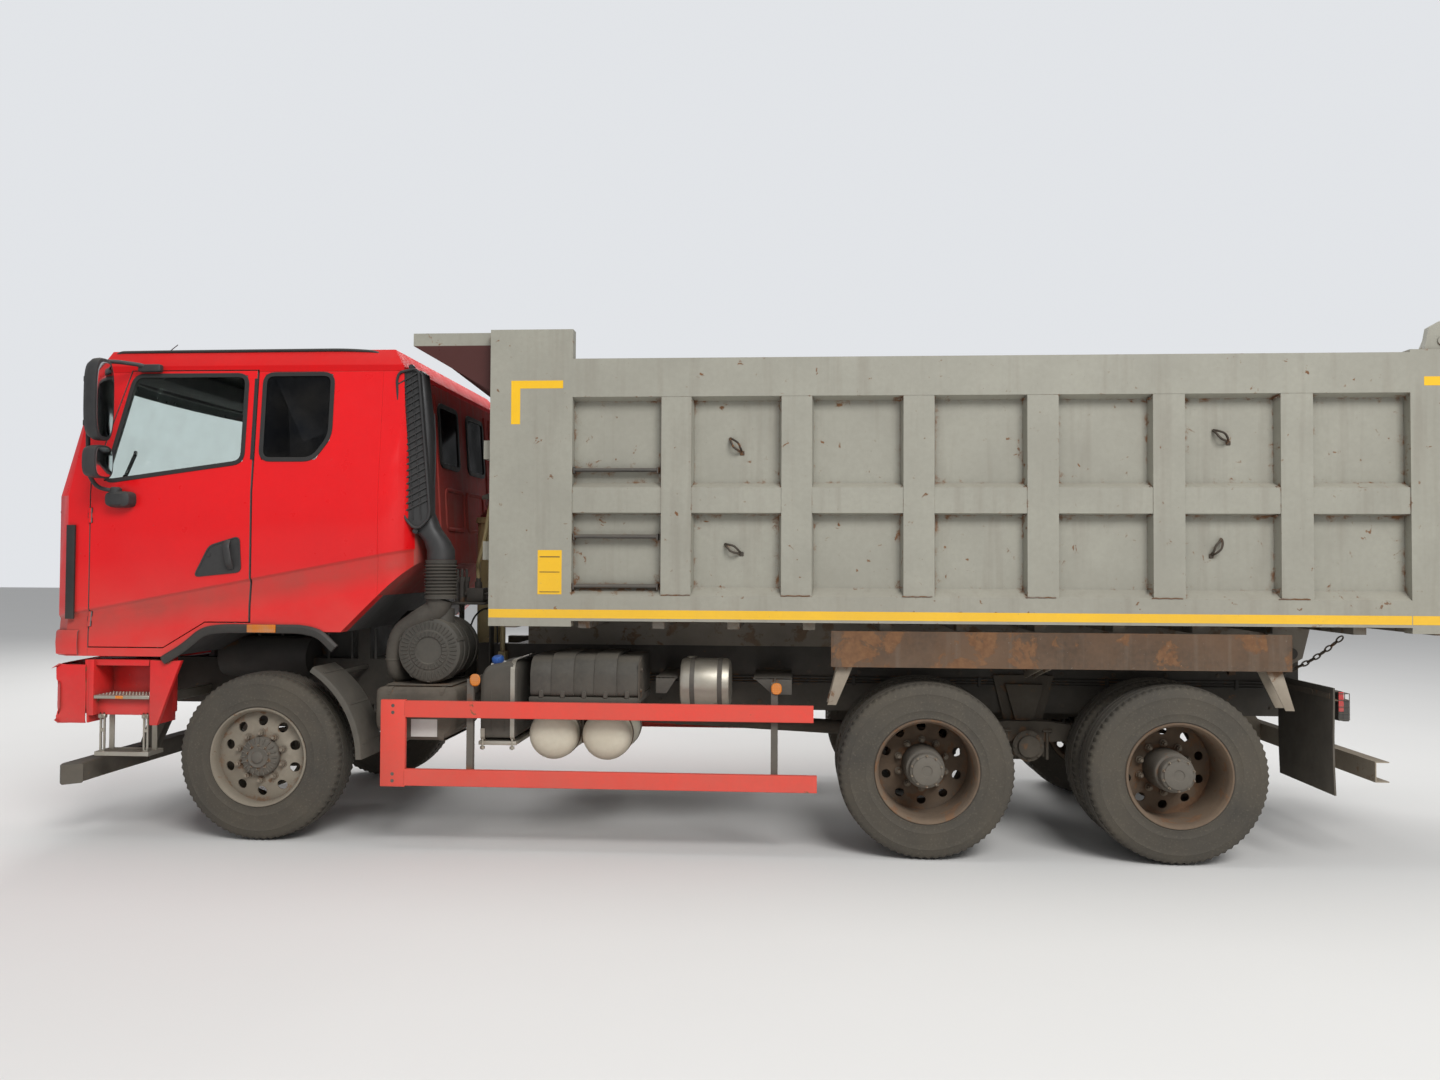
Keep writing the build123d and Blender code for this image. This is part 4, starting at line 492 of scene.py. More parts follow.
def wheelPlace(x, y, sign):
    # wheel meshes are made round the Y axis with their outer face at +Y
    flip = Matrix.Rotation(pi, 4, "Z") if sign < 0 else Matrix.Identity(4)
    return Matrix.Translation((x, y * sign, axleZ)) @ flip


# Tyres

tyreShape = {
    "radius": 0.505, "halfWidth": 0.138, "bead": 0.2853, "steps": 144,
    "grooves": (-0.072, -0.024, 0.024, 0.072), "grooveDepth": 0.013, "grooveHalf": 0.0055, "notch": 0.009,
}


def tyreProfile():
    # one closed section: bead, sidewall with its mould rings, shoulder and grooved crown
    s = tyreShape
    w, r = s["halfWidth"], s["radius"]
    wall = [(s["bead"], -w + 0.016), (0.297, -w + 0.007), (0.306, -w + 0.002), (0.312, -w + 0.004),
        (0.345, -w + 0.001), (0.348, -w - 0.0006), (0.352, -w + 0.0006), (0.385, -w), (0.412, -w + 0.0005),
        (0.436, -w + 0.003), (0.44, -w + 0.0015), (0.446, -w + 0.0045), (0.468, -w + 0.009), (0.486, -w + 0.016),
        (0.494, -w + 0.024), (0.4985, -w + 0.033)]
    crown = []
    for g in s["grooves"]:
        top = r - 0.9 * g * g
        crown += [(top, g - s["grooveHalf"]), (top - s["grooveDepth"], g - s["grooveHalf"] + 0.002),
            (top - s["grooveDepth"], g + s["grooveHalf"] - 0.002), (top, g + s["grooveHalf"])]
    other = [(a, -b) for a, b in reversed(wall)]
    inner = [(s["bead"], w - 0.016), (s["bead"] + 0.02, w - 0.02), (0.46, w - 0.02), (0.478, 0.0),
        (0.46, -w + 0.02), (s["bead"] + 0.02, -w + 0.02)]
    return wall + crown + other + inner[1:]


def makeTyre(name, spots, body, phase):
    bm = bmesh.new()
    for x, y, sign in spots:
        part = bmesh.new()
        spinProfile(part, tyreProfile(), tyreShape["steps"])
        step = tau / tyreShape["steps"]
        for vert in part.verts:
            r = hypot(vert.co.x, vert.co.z)
            turn = round((atan2(vert.co.z, vert.co.x) % tau) / step)
            shoulder = abs(vert.co.y) > 0.077 and r > 0.483
            if shoulder and turn % 2 == 0:
                vert.co.x *= 1 - tyreShape["notch"] / r
                vert.co.z *= 1 - tyreShape["notch"] / r
        bmesh.ops.rotate(part, cent=(0, 0, 0), matrix=Matrix.Rotation(phase, 3, "Y"), verts=part.verts)
        bmesh.ops.transform(part, matrix=wheelPlace(x, y, sign), verts=part.verts)
        joinInto(bm, part)
    return makePiece(bm, name, "tyreRubber", body, sharpAngle=32.0)


# Rims

rimShape = {
    "front": {"disc": 0.083, "hole": 0.03, "holeRing": 0.213, "dish": 0.016},
    "dual": {"disc": 0.012, "hole": 0.027, "holeRing": 0.218, "dish": 0.012},
    "thick": 0.011, "lip": 0.298, "inner": 0.2727, "half": 0.138, "holes": 10, "steps": 80,
}


def addBarrel(shift):
    s = rimShape
    h = s["half"]
    outline = [(s["inner"], -h), (s["lip"] - 0.003, -h - 0.002), (s["lip"], -h + 0.002), (s["lip"], -h + 0.009),
        (0.291, -h + 0.011), (0.2845, -h + 0.02), (0.2845, -0.03), (0.281, -0.02), (0.281, 0.03), (0.2845, 0.04),
        (0.2845, h - 0.02), (0.291, h - 0.011), (s["lip"], h - 0.009), (s["lip"], h - 0.002),
        (s["lip"] - 0.003, h + 0.002), (0.288, h + 0.001), (0.281, h - 0.008), (s["inner"], h - 0.03)]
    part = bmesh.new()
    spinProfile(part, [(r, w + shift) for r, w in outline], 64)
    return part


def addDisc(kind, level, hubRadius):
    # pressed disc with ten round hand holes: a turned sheet, cells taken out, their edges made round
    s = rimShape[kind]
    ring = s["holeRing"]
    radii = [rimShape["inner"] + 0.002, 0.262, *[ring + d for d in (0.034, 0.017, 0, -0.017, -0.034)], 0.165, 0.15,
        hubRadius - 0.002]
    rise = [s["dish"] * share for share in (0.0, 0.1, 0.25, 0.4, 0.6, 0.8, 1, 1.25, 1.3, 1.3)]
    bm = bmesh.new()
    spinProfile(bm, [(r, level + w) for r, w in zip(radii, rise)], rimShape["steps"], closed=False)
    cell = tau / rimShape["holes"]
    gone = []
    for face in bm.faces:
        centre = face.calc_center_median()
        r = hypot(centre.x, centre.z)
        turn = (atan2(centre.z, centre.x) % cell) - cell / 2
        if abs(r - ring) < 0.034 and abs(turn) < cell / 4:
            gone.append(face)
    bmesh.ops.delete(bm, geom=gone, context="FACES")
    for vert in bm.verts:
        if not vert.is_boundary:
            continue
        r = hypot(vert.co.x, vert.co.z)
        if abs(r - ring) > 0.036:
            continue
        angle = atan2(vert.co.z, vert.co.x) % tau
        hub = (floor(angle / cell) + 0.5) * cell
        centre = Vector((ring * cos(hub), vert.co.y, ring * sin(hub)))
        vert.co = centre + (vert.co - centre).normalized() * s["hole"]
    faceOut(bm)
    bmesh.ops.solidify(bm, geom=bm.faces[:], thickness=rimShape["thick"])
    faceOut(bm)
    return bm


def addNuts(bm, ring, level, count, size, height):
    for i in range(count):
        angle = tau * (i + 0.5) / count
        x, z = ring * cos(angle), ring * sin(angle)
        addRod(bm, (x, level, z), (x, level + 0.005, z), size * 1.35, 16)
        addRod(bm, (x, level + 0.004, z), (x, level + height, z), size, 6)
        addRod(bm, (x, level + height - 0.001, z), (x, level + height + 0.014, z), size * 0.55, 10)


def addRing(bm, inner, outer, low, high, steps):
    part = bmesh.new()
    spinProfile(part, [(outer, low), (outer, high), (inner, high), (inner, low)], steps)
    joinInto(bm, part)


dualHalf = 0.159  # from the middle of a twin wheel to each tyre's middle
hubTop = dualHalf + 0.125
# nuts: ring, level, size, height
wheelKinds = {
    "front": {
        "y": 1.007, "shifts": (0.0,), "disc": 0.066, "drum": (-0.132, -0.02), "finish": "rimBeige", "ribs": 20,
        "nuts": ((0.1425, 0.086, 0.0165, 0.026), (0.07, 0.128, 0.006, 0.006)),
        "hub": [(0.0, 0.15), (0.03, 0.15), (0.034, 0.147), (0.036, 0.14), (0.05, 0.139), (0.058, 0.142),
                (0.062, 0.14), (0.064, 0.13), (0.078, 0.127), (0.096, 0.124), (0.108, 0.12), (0.116, 0.112),
                (0.118, 0.1), (0.118, 0.07), (0.118, -0.09), (0.046, -0.09), (0.046, 0.08), (0.0, 0.085)],
    },
    "dual": {
        "y": 0.948, "shifts": (dualHalf, -dualHalf), "disc": -0.004, "drum": (-0.25, -0.06), "finish": "rimRust",
        "ribs": 0, "nuts": ((0.1425, 0.022, 0.0165, 0.028), (0.087, hubTop - 0.012, 0.0055, 0.007)),
        "hub": [(0.0, hubTop - 0.004), (0.028, hubTop - 0.004), (0.032, hubTop), (0.074, hubTop),
                (0.08, hubTop - 0.003), (0.083, hubTop - 0.01), (0.093, hubTop - 0.014), (0.0955, hubTop - 0.018),
                (0.0955, dualHalf + 0.052), (0.108, dualHalf + 0.05), (0.112, dualHalf + 0.044),
                (0.114, dualHalf + 0.02), (0.118, dualHalf - 0.04), (0.118, 0.01), (0.118, -0.15),
                (0.046, -0.15), (0.046, 0.11), (0.0, 0.115)],
    },
}


def makeWheel(axle, x, side, sign):
    # tyre, rim, hub and nuts of a front wheel or of a twin one, each its own piece
    kind, many = ("front", "") if axle == "front" else ("dual", "s")
    w = wheelKinds[kind]
    body = f"{axle}_{side}_wheel"
    tyres = makeTyre(f"{axle}Tyre{many}_{side}", [(x, w["y"] - shift, sign) for shift in w["shifts"]], body,
        x if many else 0.02)
    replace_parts(tyres, f"{axle}_{side}_tyre{many}")
    rim, hub, nuts = bmesh.new(), bmesh.new(), bmesh.new()
    joinInto(rim, *[addBarrel(shift) for shift in w["shifts"]], addDisc(kind, w["disc"], 0.118))
    if many:
        addRing(rim, 0.2845, 0.2727, -0.022, 0.022, 64)
    addRing(rim, 0.187, 0.205, *w["drum"], 48)
    spinProfile(hub, w["hub"], 64)
    for i in range(w["ribs"]):
        rib = addBox(hub, (0.08, 0.118, -0.004), (0.113, 0.131, 0.004), 0.0015, 1)
        bmesh.ops.rotate(hub, cent=(0, 0, 0), matrix=Matrix.Rotation(tau * i / w["ribs"], 3, "Y"), verts=rib)
    for ring, level, size, height in w["nuts"]:
        addNuts(nuts, ring, level, 10, size, height)
    for name, material, bm in ((f"Rim{many}", w["finish"], rim), ("Hub", "hubGrey", hub),
            ("Nuts", "nutSteel", nuts)):
        bmesh.ops.transform(bm, matrix=wheelPlace(x, w["y"], sign), verts=bm.verts)
        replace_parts(makePiece(bm, f"{axle}{name}_{side}", material, body), f"{axle}_{side}_rim{many}")


for side, sign in (("left", 1), ("right", -1)):
    for axle, x in (("front", frontAxleX), ("mid", midAxleX), ("rear", rearAxleX)):
        makeWheel(axle, x, side, sign)
print("wheels made")


# Shapes that many pieces use


def smoothStep(low, high, value):
    t = min(max((value - low) / (high - low), 0.0), 1.0)
    return t * t * (3 - 2 * t)


def rounded(points, radius, steps=4, closed=False):
    # a path of straight runs with its corners turned
    points = [Vector(p) for p in points]
    count = len(points)
    inner = range(count) if closed else range(1, count - 1)
    path = [] if closed else [points[0]]
    for i in inner:
        a, b, c = points[i - 1], points[i], points[(i + 1) % count]
        reach = min(radius, (a - b).length * 0.45, (c - b).length * 0.45)
        p, q = b + (a - b).normalized() * reach, b + (c - b).normalized() * reach
        for k in range(steps + 1):
            t = k / steps
            path.append(p * (1 - t) ** 2 + b * 2 * t * (1 - t) + q * t * t)
    return path if closed else path + [points[-1]]


def addSweep(bm, path, section, outward=None, closed=False):
    # a section of (across, outward) points carried along a path
    path = [Vector(p) for p in path]
    count = len(path)
    normal = None
    rings = []
    for i, p in enumerate(path):
        before = path[i - 1] if (i or closed) else p
        after = path[(i + 1) % count] if (i < count - 1 or closed) else p
        along = (after - before).normalized()
        out = Vector(outward) if outward is not None else (normal or along.orthogonal())
        out = (out - along * out.dot(along)).normalized()
        normal = out
        across = along.cross(out)
        rings.append([bm.verts.new(p + across * a + out * b) for a, b in section])
    faces = []
    size = len(section)
    for i in range(count if closed else count - 1):
        one, two = rings[i], rings[(i + 1) % count]
        for j in range(size):
            faces.append(bm.faces.new((one[j], one[(j + 1) % size], two[(j + 1) % size], two[j])))
    if not closed:
        faces.append(bm.faces.new(rings[0]))
        faces.append(bm.faces.new(list(reversed(rings[-1]))))
    faceOut(bm, faces)


def roundBar(radius, segments=10):
    return [(radius * cos(tau * i / segments), radius * sin(tau * i / segments)) for i in range(segments)]


def roundedFlat(outline, radius, steps):
    # the same for a closed outline of pairs
    return [(p.x, p.z) for p in rounded([(a, 0, b) for a, b in outline], radius, steps, closed=True)]


def addPane(bm, path, thickness):
    face = bm.faces.new([bm.verts.new(p) for p in path])
    bmesh.ops.solidify(bm, geom=[face], thickness=thickness)
    faceOut(bm)


def rect(x0, z0, x1, z1):
    return [(x0, z0), (x1, z0), (x1, z1), (x0, z1)]


def strap(thick, width):
    return [(-thick, -width), (-thick, width), (thick, width), (thick, -width)]


def flatBar(width, thick, corner=0.0015):
    w = width / 2
    c = min(corner, thick * 0.4)
    return [(-w, 0.0), (-w, thick - c), (-w + c, thick), (w - c, thick), (w, thick - c), (w, 0.0)]


def addPipe(bm, points, radius, bend=0.04, segments=10):
    addSweep(bm, rounded(points, bend), roundBar(radius, segments))


def addPlate(bm, outline, low, high, axis="Y", bevel=0.0):
    # a flat outline given thickness along an axis: Y takes (x, z) points, X (y, z) and Z (x, y)
    place = {"X": lambda a, b, w: (w, a, b), "Y": lambda a, b, w: (a, w, b), "Z": lambda a, b, w: (a, b, w)}[axis]
    rings = [[bm.verts.new(place(a, b, w)) for a, b in outline] for w in (low, high)]
    count = len(outline)
    faces = [bm.faces.new(rings[0]), bm.faces.new(list(reversed(rings[1])))]
    for i in range(count):
        k = (i + 1) % count
        faces.append(bm.faces.new((rings[0][i], rings[0][k], rings[1][k], rings[1][i])))
    faceOut(bm, faces)
    if bevel:
        around = list({e for f in faces for e in f.edges})
        turnEdges(bm, around, bevel, 2, False)


def joinTurned(bm, part, centre, axis):
    # a part made along Y, turned to the axis and moved to centre
    turn = Vector((0, 1, 0)).rotation_difference(Vector(axis)).to_matrix().to_4x4()
    bmesh.ops.transform(part, matrix=Matrix.Translation(centre) @ turn, verts=part.verts)
    joinInto(bm, part)


def addTurned(bm, outline, centre, axis=(0, 1, 0), steps=40):
    # (radius, along) points turned round an axis through centre
    part = bmesh.new()
    spinProfile(part, outline, steps)
    joinTurned(bm, part, centre, axis)


def addBolts(bm, places, axis, size=0.009, height=0.009):
    # hexagon heads on washers
    along = Vector(axis).normalized()
    for place in places:
        p = Vector(place)
        addRod(bm, p - along * 0.002, p + along * 0.003, size * 1.45, 14)
        addRod(bm, p, p + along * height, size, 6)


def bothSides(make):
    # the same shape on the left and, mirrored, on the right
    bm = bmesh.new()
    make(bm)
    other = bmesh.new()
    make(other)
    bmesh.ops.scale(other, vec=(1, -1, 1), verts=other.verts)
    bmesh.ops.reverse_faces(other, faces=other.faces[:])
    joinInto(bm, other)
    return bm


def once(name, make, material, body="chassis"):
    bm = bmesh.new()
    make(bm)
    return makePiece(bm, name, material, body)


def both(name, make, material, body="chassis"):
    return makePiece(bothSides(make), name, material, body)


def oneSide(make, sign):
    bm = bmesh.new()
    make(bm)
    if sign < 0:
        bmesh.ops.scale(bm, vec=(1, -1, 1), verts=bm.verts)
        bmesh.ops.reverse_faces(bm, faces=bm.faces[:])
    return bm


# The cab's shell: the CAD panels with turned edges and pressed sides

cabForm = {
    "half": 1.17, "corner": 4.105, "chord": 1.11, "nose": 4.215,
    "screenBase": 2.08, "lean": 0.27, "sideBreak": 2.1, "creaseAt": 3.867, "creaseZ": 1.396, "creaseRise": 0.19,
    "pressDepth": 0.02, "lowLine": 1.412, "doorLow": 1.25,
}


def creaseHeight(x):
    return cabForm["creaseZ"] + cabForm["creaseRise"] * (cabForm["creaseAt"] - x)


def lowHeight(x):
    return min(cabForm["doorLow"] + cabForm["creaseRise"] * (cabForm["creaseAt"] - x), cabForm["lowLine"])


def pressedIn(x, z):
    # how far the side panel lies in, from the crease down to the line where it comes out again
    crease, low = creaseHeight(x), lowHeight(x)
    if z >= crease or z <= low:
        return 0.0
    return cabForm["pressDepth"] * smoothStep(crease, crease - 0.026, z) * (z - low) / (crease - low)


def sideSkin(x, z):
    # the cab's outer side surface
    half = cabForm["half"]
    if z > 2.882:
        return 1.095 - (z - 2.882) * 0.82
    if z > cabForm["sideBreak"]:
        return half - (z - cabForm["sideBreak"]) * 0.0959
    return half - pressedIn(x, z)


def frontSkin(y, z):
    # the cab's outer front surface
    sag = cabForm["nose"] - cabForm["corner"]
    chord = cabForm["chord"]
    radius = (chord * chord + sag * sag) / (2 * sag)
    x = cabForm["nose"] - (radius - sqrt(radius * radius - y * y))
    if z > cabForm["screenBase"]:
        x -= (z - cabForm["screenBase"]) * cabForm["lean"] / 0.912
    return x


def shellPiece(node, name, body):
    bm = bmesh.new()
    bm.from_mesh(nodes[node].data)
    bmesh.ops.remove_doubles(bm, verts=bm.verts[:], dist=2e-5)
    bmesh.ops.dissolve_limit(bm, angle_limit=radians(0.8), verts=bm.verts[:], edges=bm.edges[:])
    turned, crisp = [], []
    for e in bm.edges:
        if len(e.link_faces) != 2 or not e.is_convex:
            continue
        angle = degrees(e.calc_face_angle(0.0))
        middle = (e.verts[0].co + e.verts[1].co) / 2
        outer = abs(middle.y) > 0.98 or middle.z > 2.8 or middle.x > 3.95 or middle.x < 2.1
        if 18 < angle < 80 and e.calc_length() > 0.12 and outer:
            turned.append(e)
        elif angle >= 80 and e.calc_length() > 0.03:
            crisp.append(e)
    turnEdges(bm, crisp, 0.0022, 1)
    turnEdges(bm, [e for e in turned if e.is_valid], 0.024, 3)
    rise = cabForm["creaseRise"]
    lean = Vector((rise, 0.0, 1.0)).normalized()
    flat = Vector((0.0, 0.0, 1.0))
    start = cabForm["creaseAt"]
    cuts = [((start, 0.0, cabForm["creaseZ"] + drop), lean) for drop in (0.0, -0.008, -0.017, -0.026)]
    cuts += [((start, 0.0, cabForm["doorLow"]), lean), ((start, 0.0, cabForm["lowLine"]), flat)]
    cuts += [((x, 0, 0), (1, 0, 0)) for x in (2.885, 2.905, 3.3, 2.45)]
    for point, normal in cuts:
        bmesh.ops.bisect_plane(bm, geom=bm.verts[:] + bm.edges[:] + bm.faces[:], plane_co=point, plane_no=normal,
            dist=1e-5)
    for v in bm.verts:
        weight = smoothStep(1.02, 1.09, abs(v.co.y))
        if weight:
            v.co.y -= copysign(pressedIn(v.co.x, v.co.z) * weight, v.co.y)
    piece = makePiece(bm, name, nodeFinish[node], body, 30.0)
    if name == "cabBack":
        # the corners keep the sides' red, without the back's dust and painted shade
        piece.data.materials.append(finish["cabRed"])
        for face in piece.data.polygons:
            if face.normal.x > -0.45 or abs(face.center.y) > 1.05:
                face.material_index = 1
    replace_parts(piece, node)
    return piece


for node, name, body in (("cab_front", "cabFront", "cab"), ("cab_sides", "cabSides", "cab"),
        ("cab_back", "cabBack", "cab"), ("cab_roof", "cabRoof", "cab"), ("left_door", "doorLeft", "left_door_body"),
        ("right_door", "doorRight", "right_door_body")):
    shellPiece(node, name, body)
print("cab shell made")


# Trim on the cab's sides: rubber frames, gutters, arch lips, handles

sideTrim = {
    "doorWindow": ((3.795, 2.165), (3.645, 2.822), (2.935, 2.822), (2.935, 2.285)),
    "quarter": ((2.822, 2.3), (2.822, 2.826), (2.398, 2.826), (2.398, 2.44), (2.5, 2.3)),
    "rubberWidth": 0.026, "rubberThick": 0.006,
    "arch": ((3.395, 1.085), (3.262, 1.165), (3.15, 1.262), (3.03, 1.28), (2.54, 1.28), (2.43, 1.255),
             (2.335, 1.165)),
    "archWidth": 0.052,
    "handle": ((3.213, 1.592), (3.122, 1.775), (2.938, 1.832), (2.926, 1.622)),
}


def windowRubber(bm, outline):
    path = [(x, sideSkin(x, z) - 0.001, z) for x, z in outline]
    addSweep(bm, rounded(path, 0.06, 5, closed=True), flatBar(sideTrim["rubberWidth"], sideTrim["rubberThick"]),
        (0.0, 1.0, 0.096), closed=True)


def quarterPane(bm):
    path = rounded([(x, sideSkin(x, z) - 0.004, z) for x, z in sideTrim["quarter"]], 0.05, 5, closed=True)
    addPane(bm, path, 0.005)


def gutter(bm):
    # thin black strip on the roof's edge
    path = [(3.842, 1.01, 2.958), (3.8, 1.01, 2.984), (3.5, 1.012, 2.986), (2.36, 1.012, 2.989),
        (2.16, 1.014, 2.975), (2.062, 1.02, 2.915)]
    addSweep(bm, rounded(path, 0.12, 5), [(-0.009, -0.008), (-0.011, 0.004), (-0.005, 0.01), (0.006, 0.01),
        (0.011, 0.004), (0.009, -0.008)], (0.0, 0.7, 0.71))


def archLip(bm):
    path = [(x, 1.168, z) for x, z in sideTrim["arch"]]
    w = sideTrim["archWidth"] / 2
    addSweep(bm, rounded(path, 0.1, 5), [(-w, 0.0), (-w, 0.016), (-w * 0.5, 0.027), (w * 0.5, 0.027), (w, 0.018),
        (w, 0.0)], (0.0, 1.0, 0.0))


backTrim = {
    "window": ((0.11, 2.325), (0.11, 2.725), (0.5, 2.725), (0.5, 2.325)),
    "panel": ((0.03, 1.905), (0.03, 2.17), (0.43, 2.17), (0.43, 1.905)),
    "ribs": (0.565, 0.7, 0.835), "ribLow": 1.8, "ribTop": 2.78,
    "lean": 0.0629, "foot": (1.885, 1.68),
}


def backSkin(y, z, out=0.0):
    # a place on the cab's leaning back, or that far behind it
    x, low = backTrim["foot"]
    return Vector((x + (z - low) * backTrim["lean"] - out, y, z))


def backFrame(bm, outline, section, corner):
    path = rounded([backSkin(y, z, -0.001) for y, z in outline], corner, 5, closed=True)
    addSweep(bm, path, section, (-1.0, 0.0, backTrim["lean"]), closed=True)


def backPane(bm):
    path = rounded([backSkin(y, z, 0.003) for y, z in backTrim["window"]], 0.05, 5, closed=True)
    addPane(bm, path, 0.004)


def backPressing(bm):
    # swaged frame of the lower panel and the upright swages
    swage = [(-0.016, 0.0), (-0.009, 0.009), (0.0, 0.011), (0.009, 0.009), (0.016, 0.0)]
    backFrame(bm, backTrim["panel"], swage, 0.05)
    for y in backTrim["ribs"]:
        path = [backSkin(y, z, -0.001) for z in (backTrim["ribLow"], 2.2, backTrim["ribTop"])]
        addSweep(bm, path, swage, (-1.0, 0.0, backTrim["lean"]))


def doorHandle(bm):
    skin = cabForm["half"]
    outline = roundedFlat(sideTrim["handle"], 0.03, 4)
    addPlate(bm, outline, skin - 0.004, skin + 0.003, "Y")
    path = [(x, skin + 0.002, z) for x, z in outline]
    addSweep(bm, path, flatBar(0.01, 0.005), (0, 1, 0), closed=True)
    grip = [(2.985, skin + 0.004, 1.64), (2.985, skin + 0.03, 1.672), (3.005, skin + 0.03, 1.775),
        (3.008, skin + 0.004, 1.806)]
    addSweep(bm, rounded(grip, 0.02, 4), [(-0.02, -0.006), (-0.02, 0.004), (-0.012, 0.009), (0.012, 0.009),
        (0.02, 0.004), (0.02, -0.006)], (0.0, 1.0, 0.0))
    addRod(bm, (3.125, skin + 0.002, 1.722), (3.125, skin + 0.008, 1.722), 0.011, 16)


def beltGrip(bm):
    # grab loop inside the door's front corner
    addPipe(bm, [(3.7, 1.112, 2.2), (3.715, 1.075, 2.21), (3.665, 1.06, 2.345), (3.64, 1.1, 2.35)], 0.011)


def cornerVane(bm):
    # black vane in the nose's corner with its slot
    path = [(3.985, 1.176, z) for z in (1.33, 1.52, 1.74, 1.9)]
    addSweep(bm, path, [(-0.028, 0.0), (-0.028, 0.012), (0.0, 0.02), (0.024, 0.012), (0.024, 0.0)], (0.0, 1.0, 0.0))


def sidePost(bm):
    # post trim under the gutter between the door and the rear window
    path = [(2.878, sideSkin(2.9, z) - 0.002, z) for z in (2.3, 2.55, 2.8)]
    addSweep(bm, path, flatBar(0.02, 0.004), (0, 1, 0.09))


for side, sign in (("left", 1), ("right", -1)):
    door = f"{side}_door_body"
    makePiece(oneSide(lambda bm: windowRubber(bm, sideTrim["doorWindow"]), sign), f"doorRubber_{side}",
        "blackRubber", door)
    makePiece(oneSide(doorHandle, sign), f"doorHandle_{side}", "blackPlastic", door)
    makePiece(oneSide(beltGrip, sign), f"doorGrip_{side}", "blackPlastic", door)


def cabSideTrim(bm):
    windowRubber(bm, sideTrim["quarter"])
    gutter(bm)
    archLip(bm)
    cornerVane(bm)
    sidePost(bm)


both("cabSideTrim", cabSideTrim, "blackRubber", "cab")
both("quarterPanes", quarterPane, "quarterGlass", "cab")
both("backRubbers", lambda bm: backFrame(bm, backTrim["window"], flatBar(0.03, 0.012), 0.05), "blackRubber",
    "cab")
both("backPanes", backPane, "quarterGlass", "cab")
both("backPressings", backPressing, "backRedDustAndShade", "cab")
both("archMarkers", lambda bm: addBox(bm, (2.69, 1.19, 1.258), (2.866, 1.205, 1.306), 0.005, 2), "amberLens",
    "cab")


# The cab's front: cowl, wipers, grille, corner wings; the aerial on the roof


def frontStrip(bm, y0, y1, z, section, steps=18):
    # a moulding that follows the bowed nose
    path = [(frontSkin(y0 + (y1 - y0) * i / steps, z), y0 + (y1 - y0) * i / steps, z) for i in range(steps + 1)]
    addSweep(bm, path, section, (1.0, 0.0, 0.0))


def grille(bm):
    # five bowed slats over a dark mouth
    for z in (1.42, 1.495, 1.57, 1.645, 1.72):
        frontStrip(bm, -0.78, 0.78, z, [(-0.024, -0.002), (-0.02, 0.014), (0.0, 0.024), (0.02, 0.02),
            (0.026, -0.002)])
    for y in (-0.4, 0.0, 0.4):
        addSweep(bm, [(frontSkin(y, z), y, z) for z in (1.4, 1.74)], flatBar(0.022, 0.016), (1, 0, 0))


def screenFrame(bm):
    corners = [(-1.04, 2.11), (1.04, 2.11), (0.95, 2.835), (-0.95, 2.835)]
    path = []
    for i, (y, z) in enumerate(corners):
        y1, z1 = corners[(i + 1) % 4]
        for k in range(16):
            t = k / 16
            a, b = y + (y1 - y) * t, z + (z1 - z) * t
            path.append((frontSkin(a, b) - 0.001, a, b))
    addSweep(bm, path, flatBar(0.038, 0.008), (0.94, 0.0, 0.3), closed=True)


wiperShape = {"blade": 2.15, "half": 0.31, "tilt": 0.03, "reach": -0.36, "spindles": (0.92, 0.27, -0.38)}


def wiper(bm, y, reach):
    # parked low on the screen: spindle, arm and blade
    z = wiperShape["blade"]
    base = (frontSkin(y, 2.0) + 0.012, y, 2.0)
    tip = (frontSkin(y + reach, z) + 0.034, y + reach, z)
    addRod(bm, (base[0] - 0.02, y, 2.0), (base[0] + 0.018, y, 2.0), 0.022, 16)
    addSweep(bm, [base, tip], flatBar(0.014, 0.01), (1, 0, 0.3))
    half = wiperShape["half"]
    blade = []
    for k in (-1.0, -0.5, 0.0, 0.5, 1.0):
        height = z - k * wiperShape["tilt"]
        blade.append((frontSkin(y + reach + k * half, height) + 0.014, y + reach + k * half, height))
    addSweep(bm, blade, [(-0.006, 0.0), (-0.006, 0.018), (0.006, 0.018), (0.006, 0.0)], (1, 0, 0.3))


def frontTrim(bm):
    frontStrip(bm, -1.05, 1.05, 1.985, [(-0.055, -0.002), (-0.05, 0.018), (0.0, 0.03), (0.045, 0.02),
        (0.055, -0.002)])
    screenFrame(bm)
    for y in wiperShape["spindles"]:
        wiper(bm, y, wiperShape["reach"])
    for sign in (1, -1):
        addPipe(bm, [(frontSkin(0.86, 1.82), 0.86 * sign, 1.82), (frontSkin(0.86, 1.82) + 0.045, 0.86 * sign, 1.83),
            (frontSkin(0.98, 1.92) + 0.045, 0.99 * sign, 1.92), (frontSkin(0.99, 1.93), 1.0 * sign, 1.93)], 0.012,
            0.03)


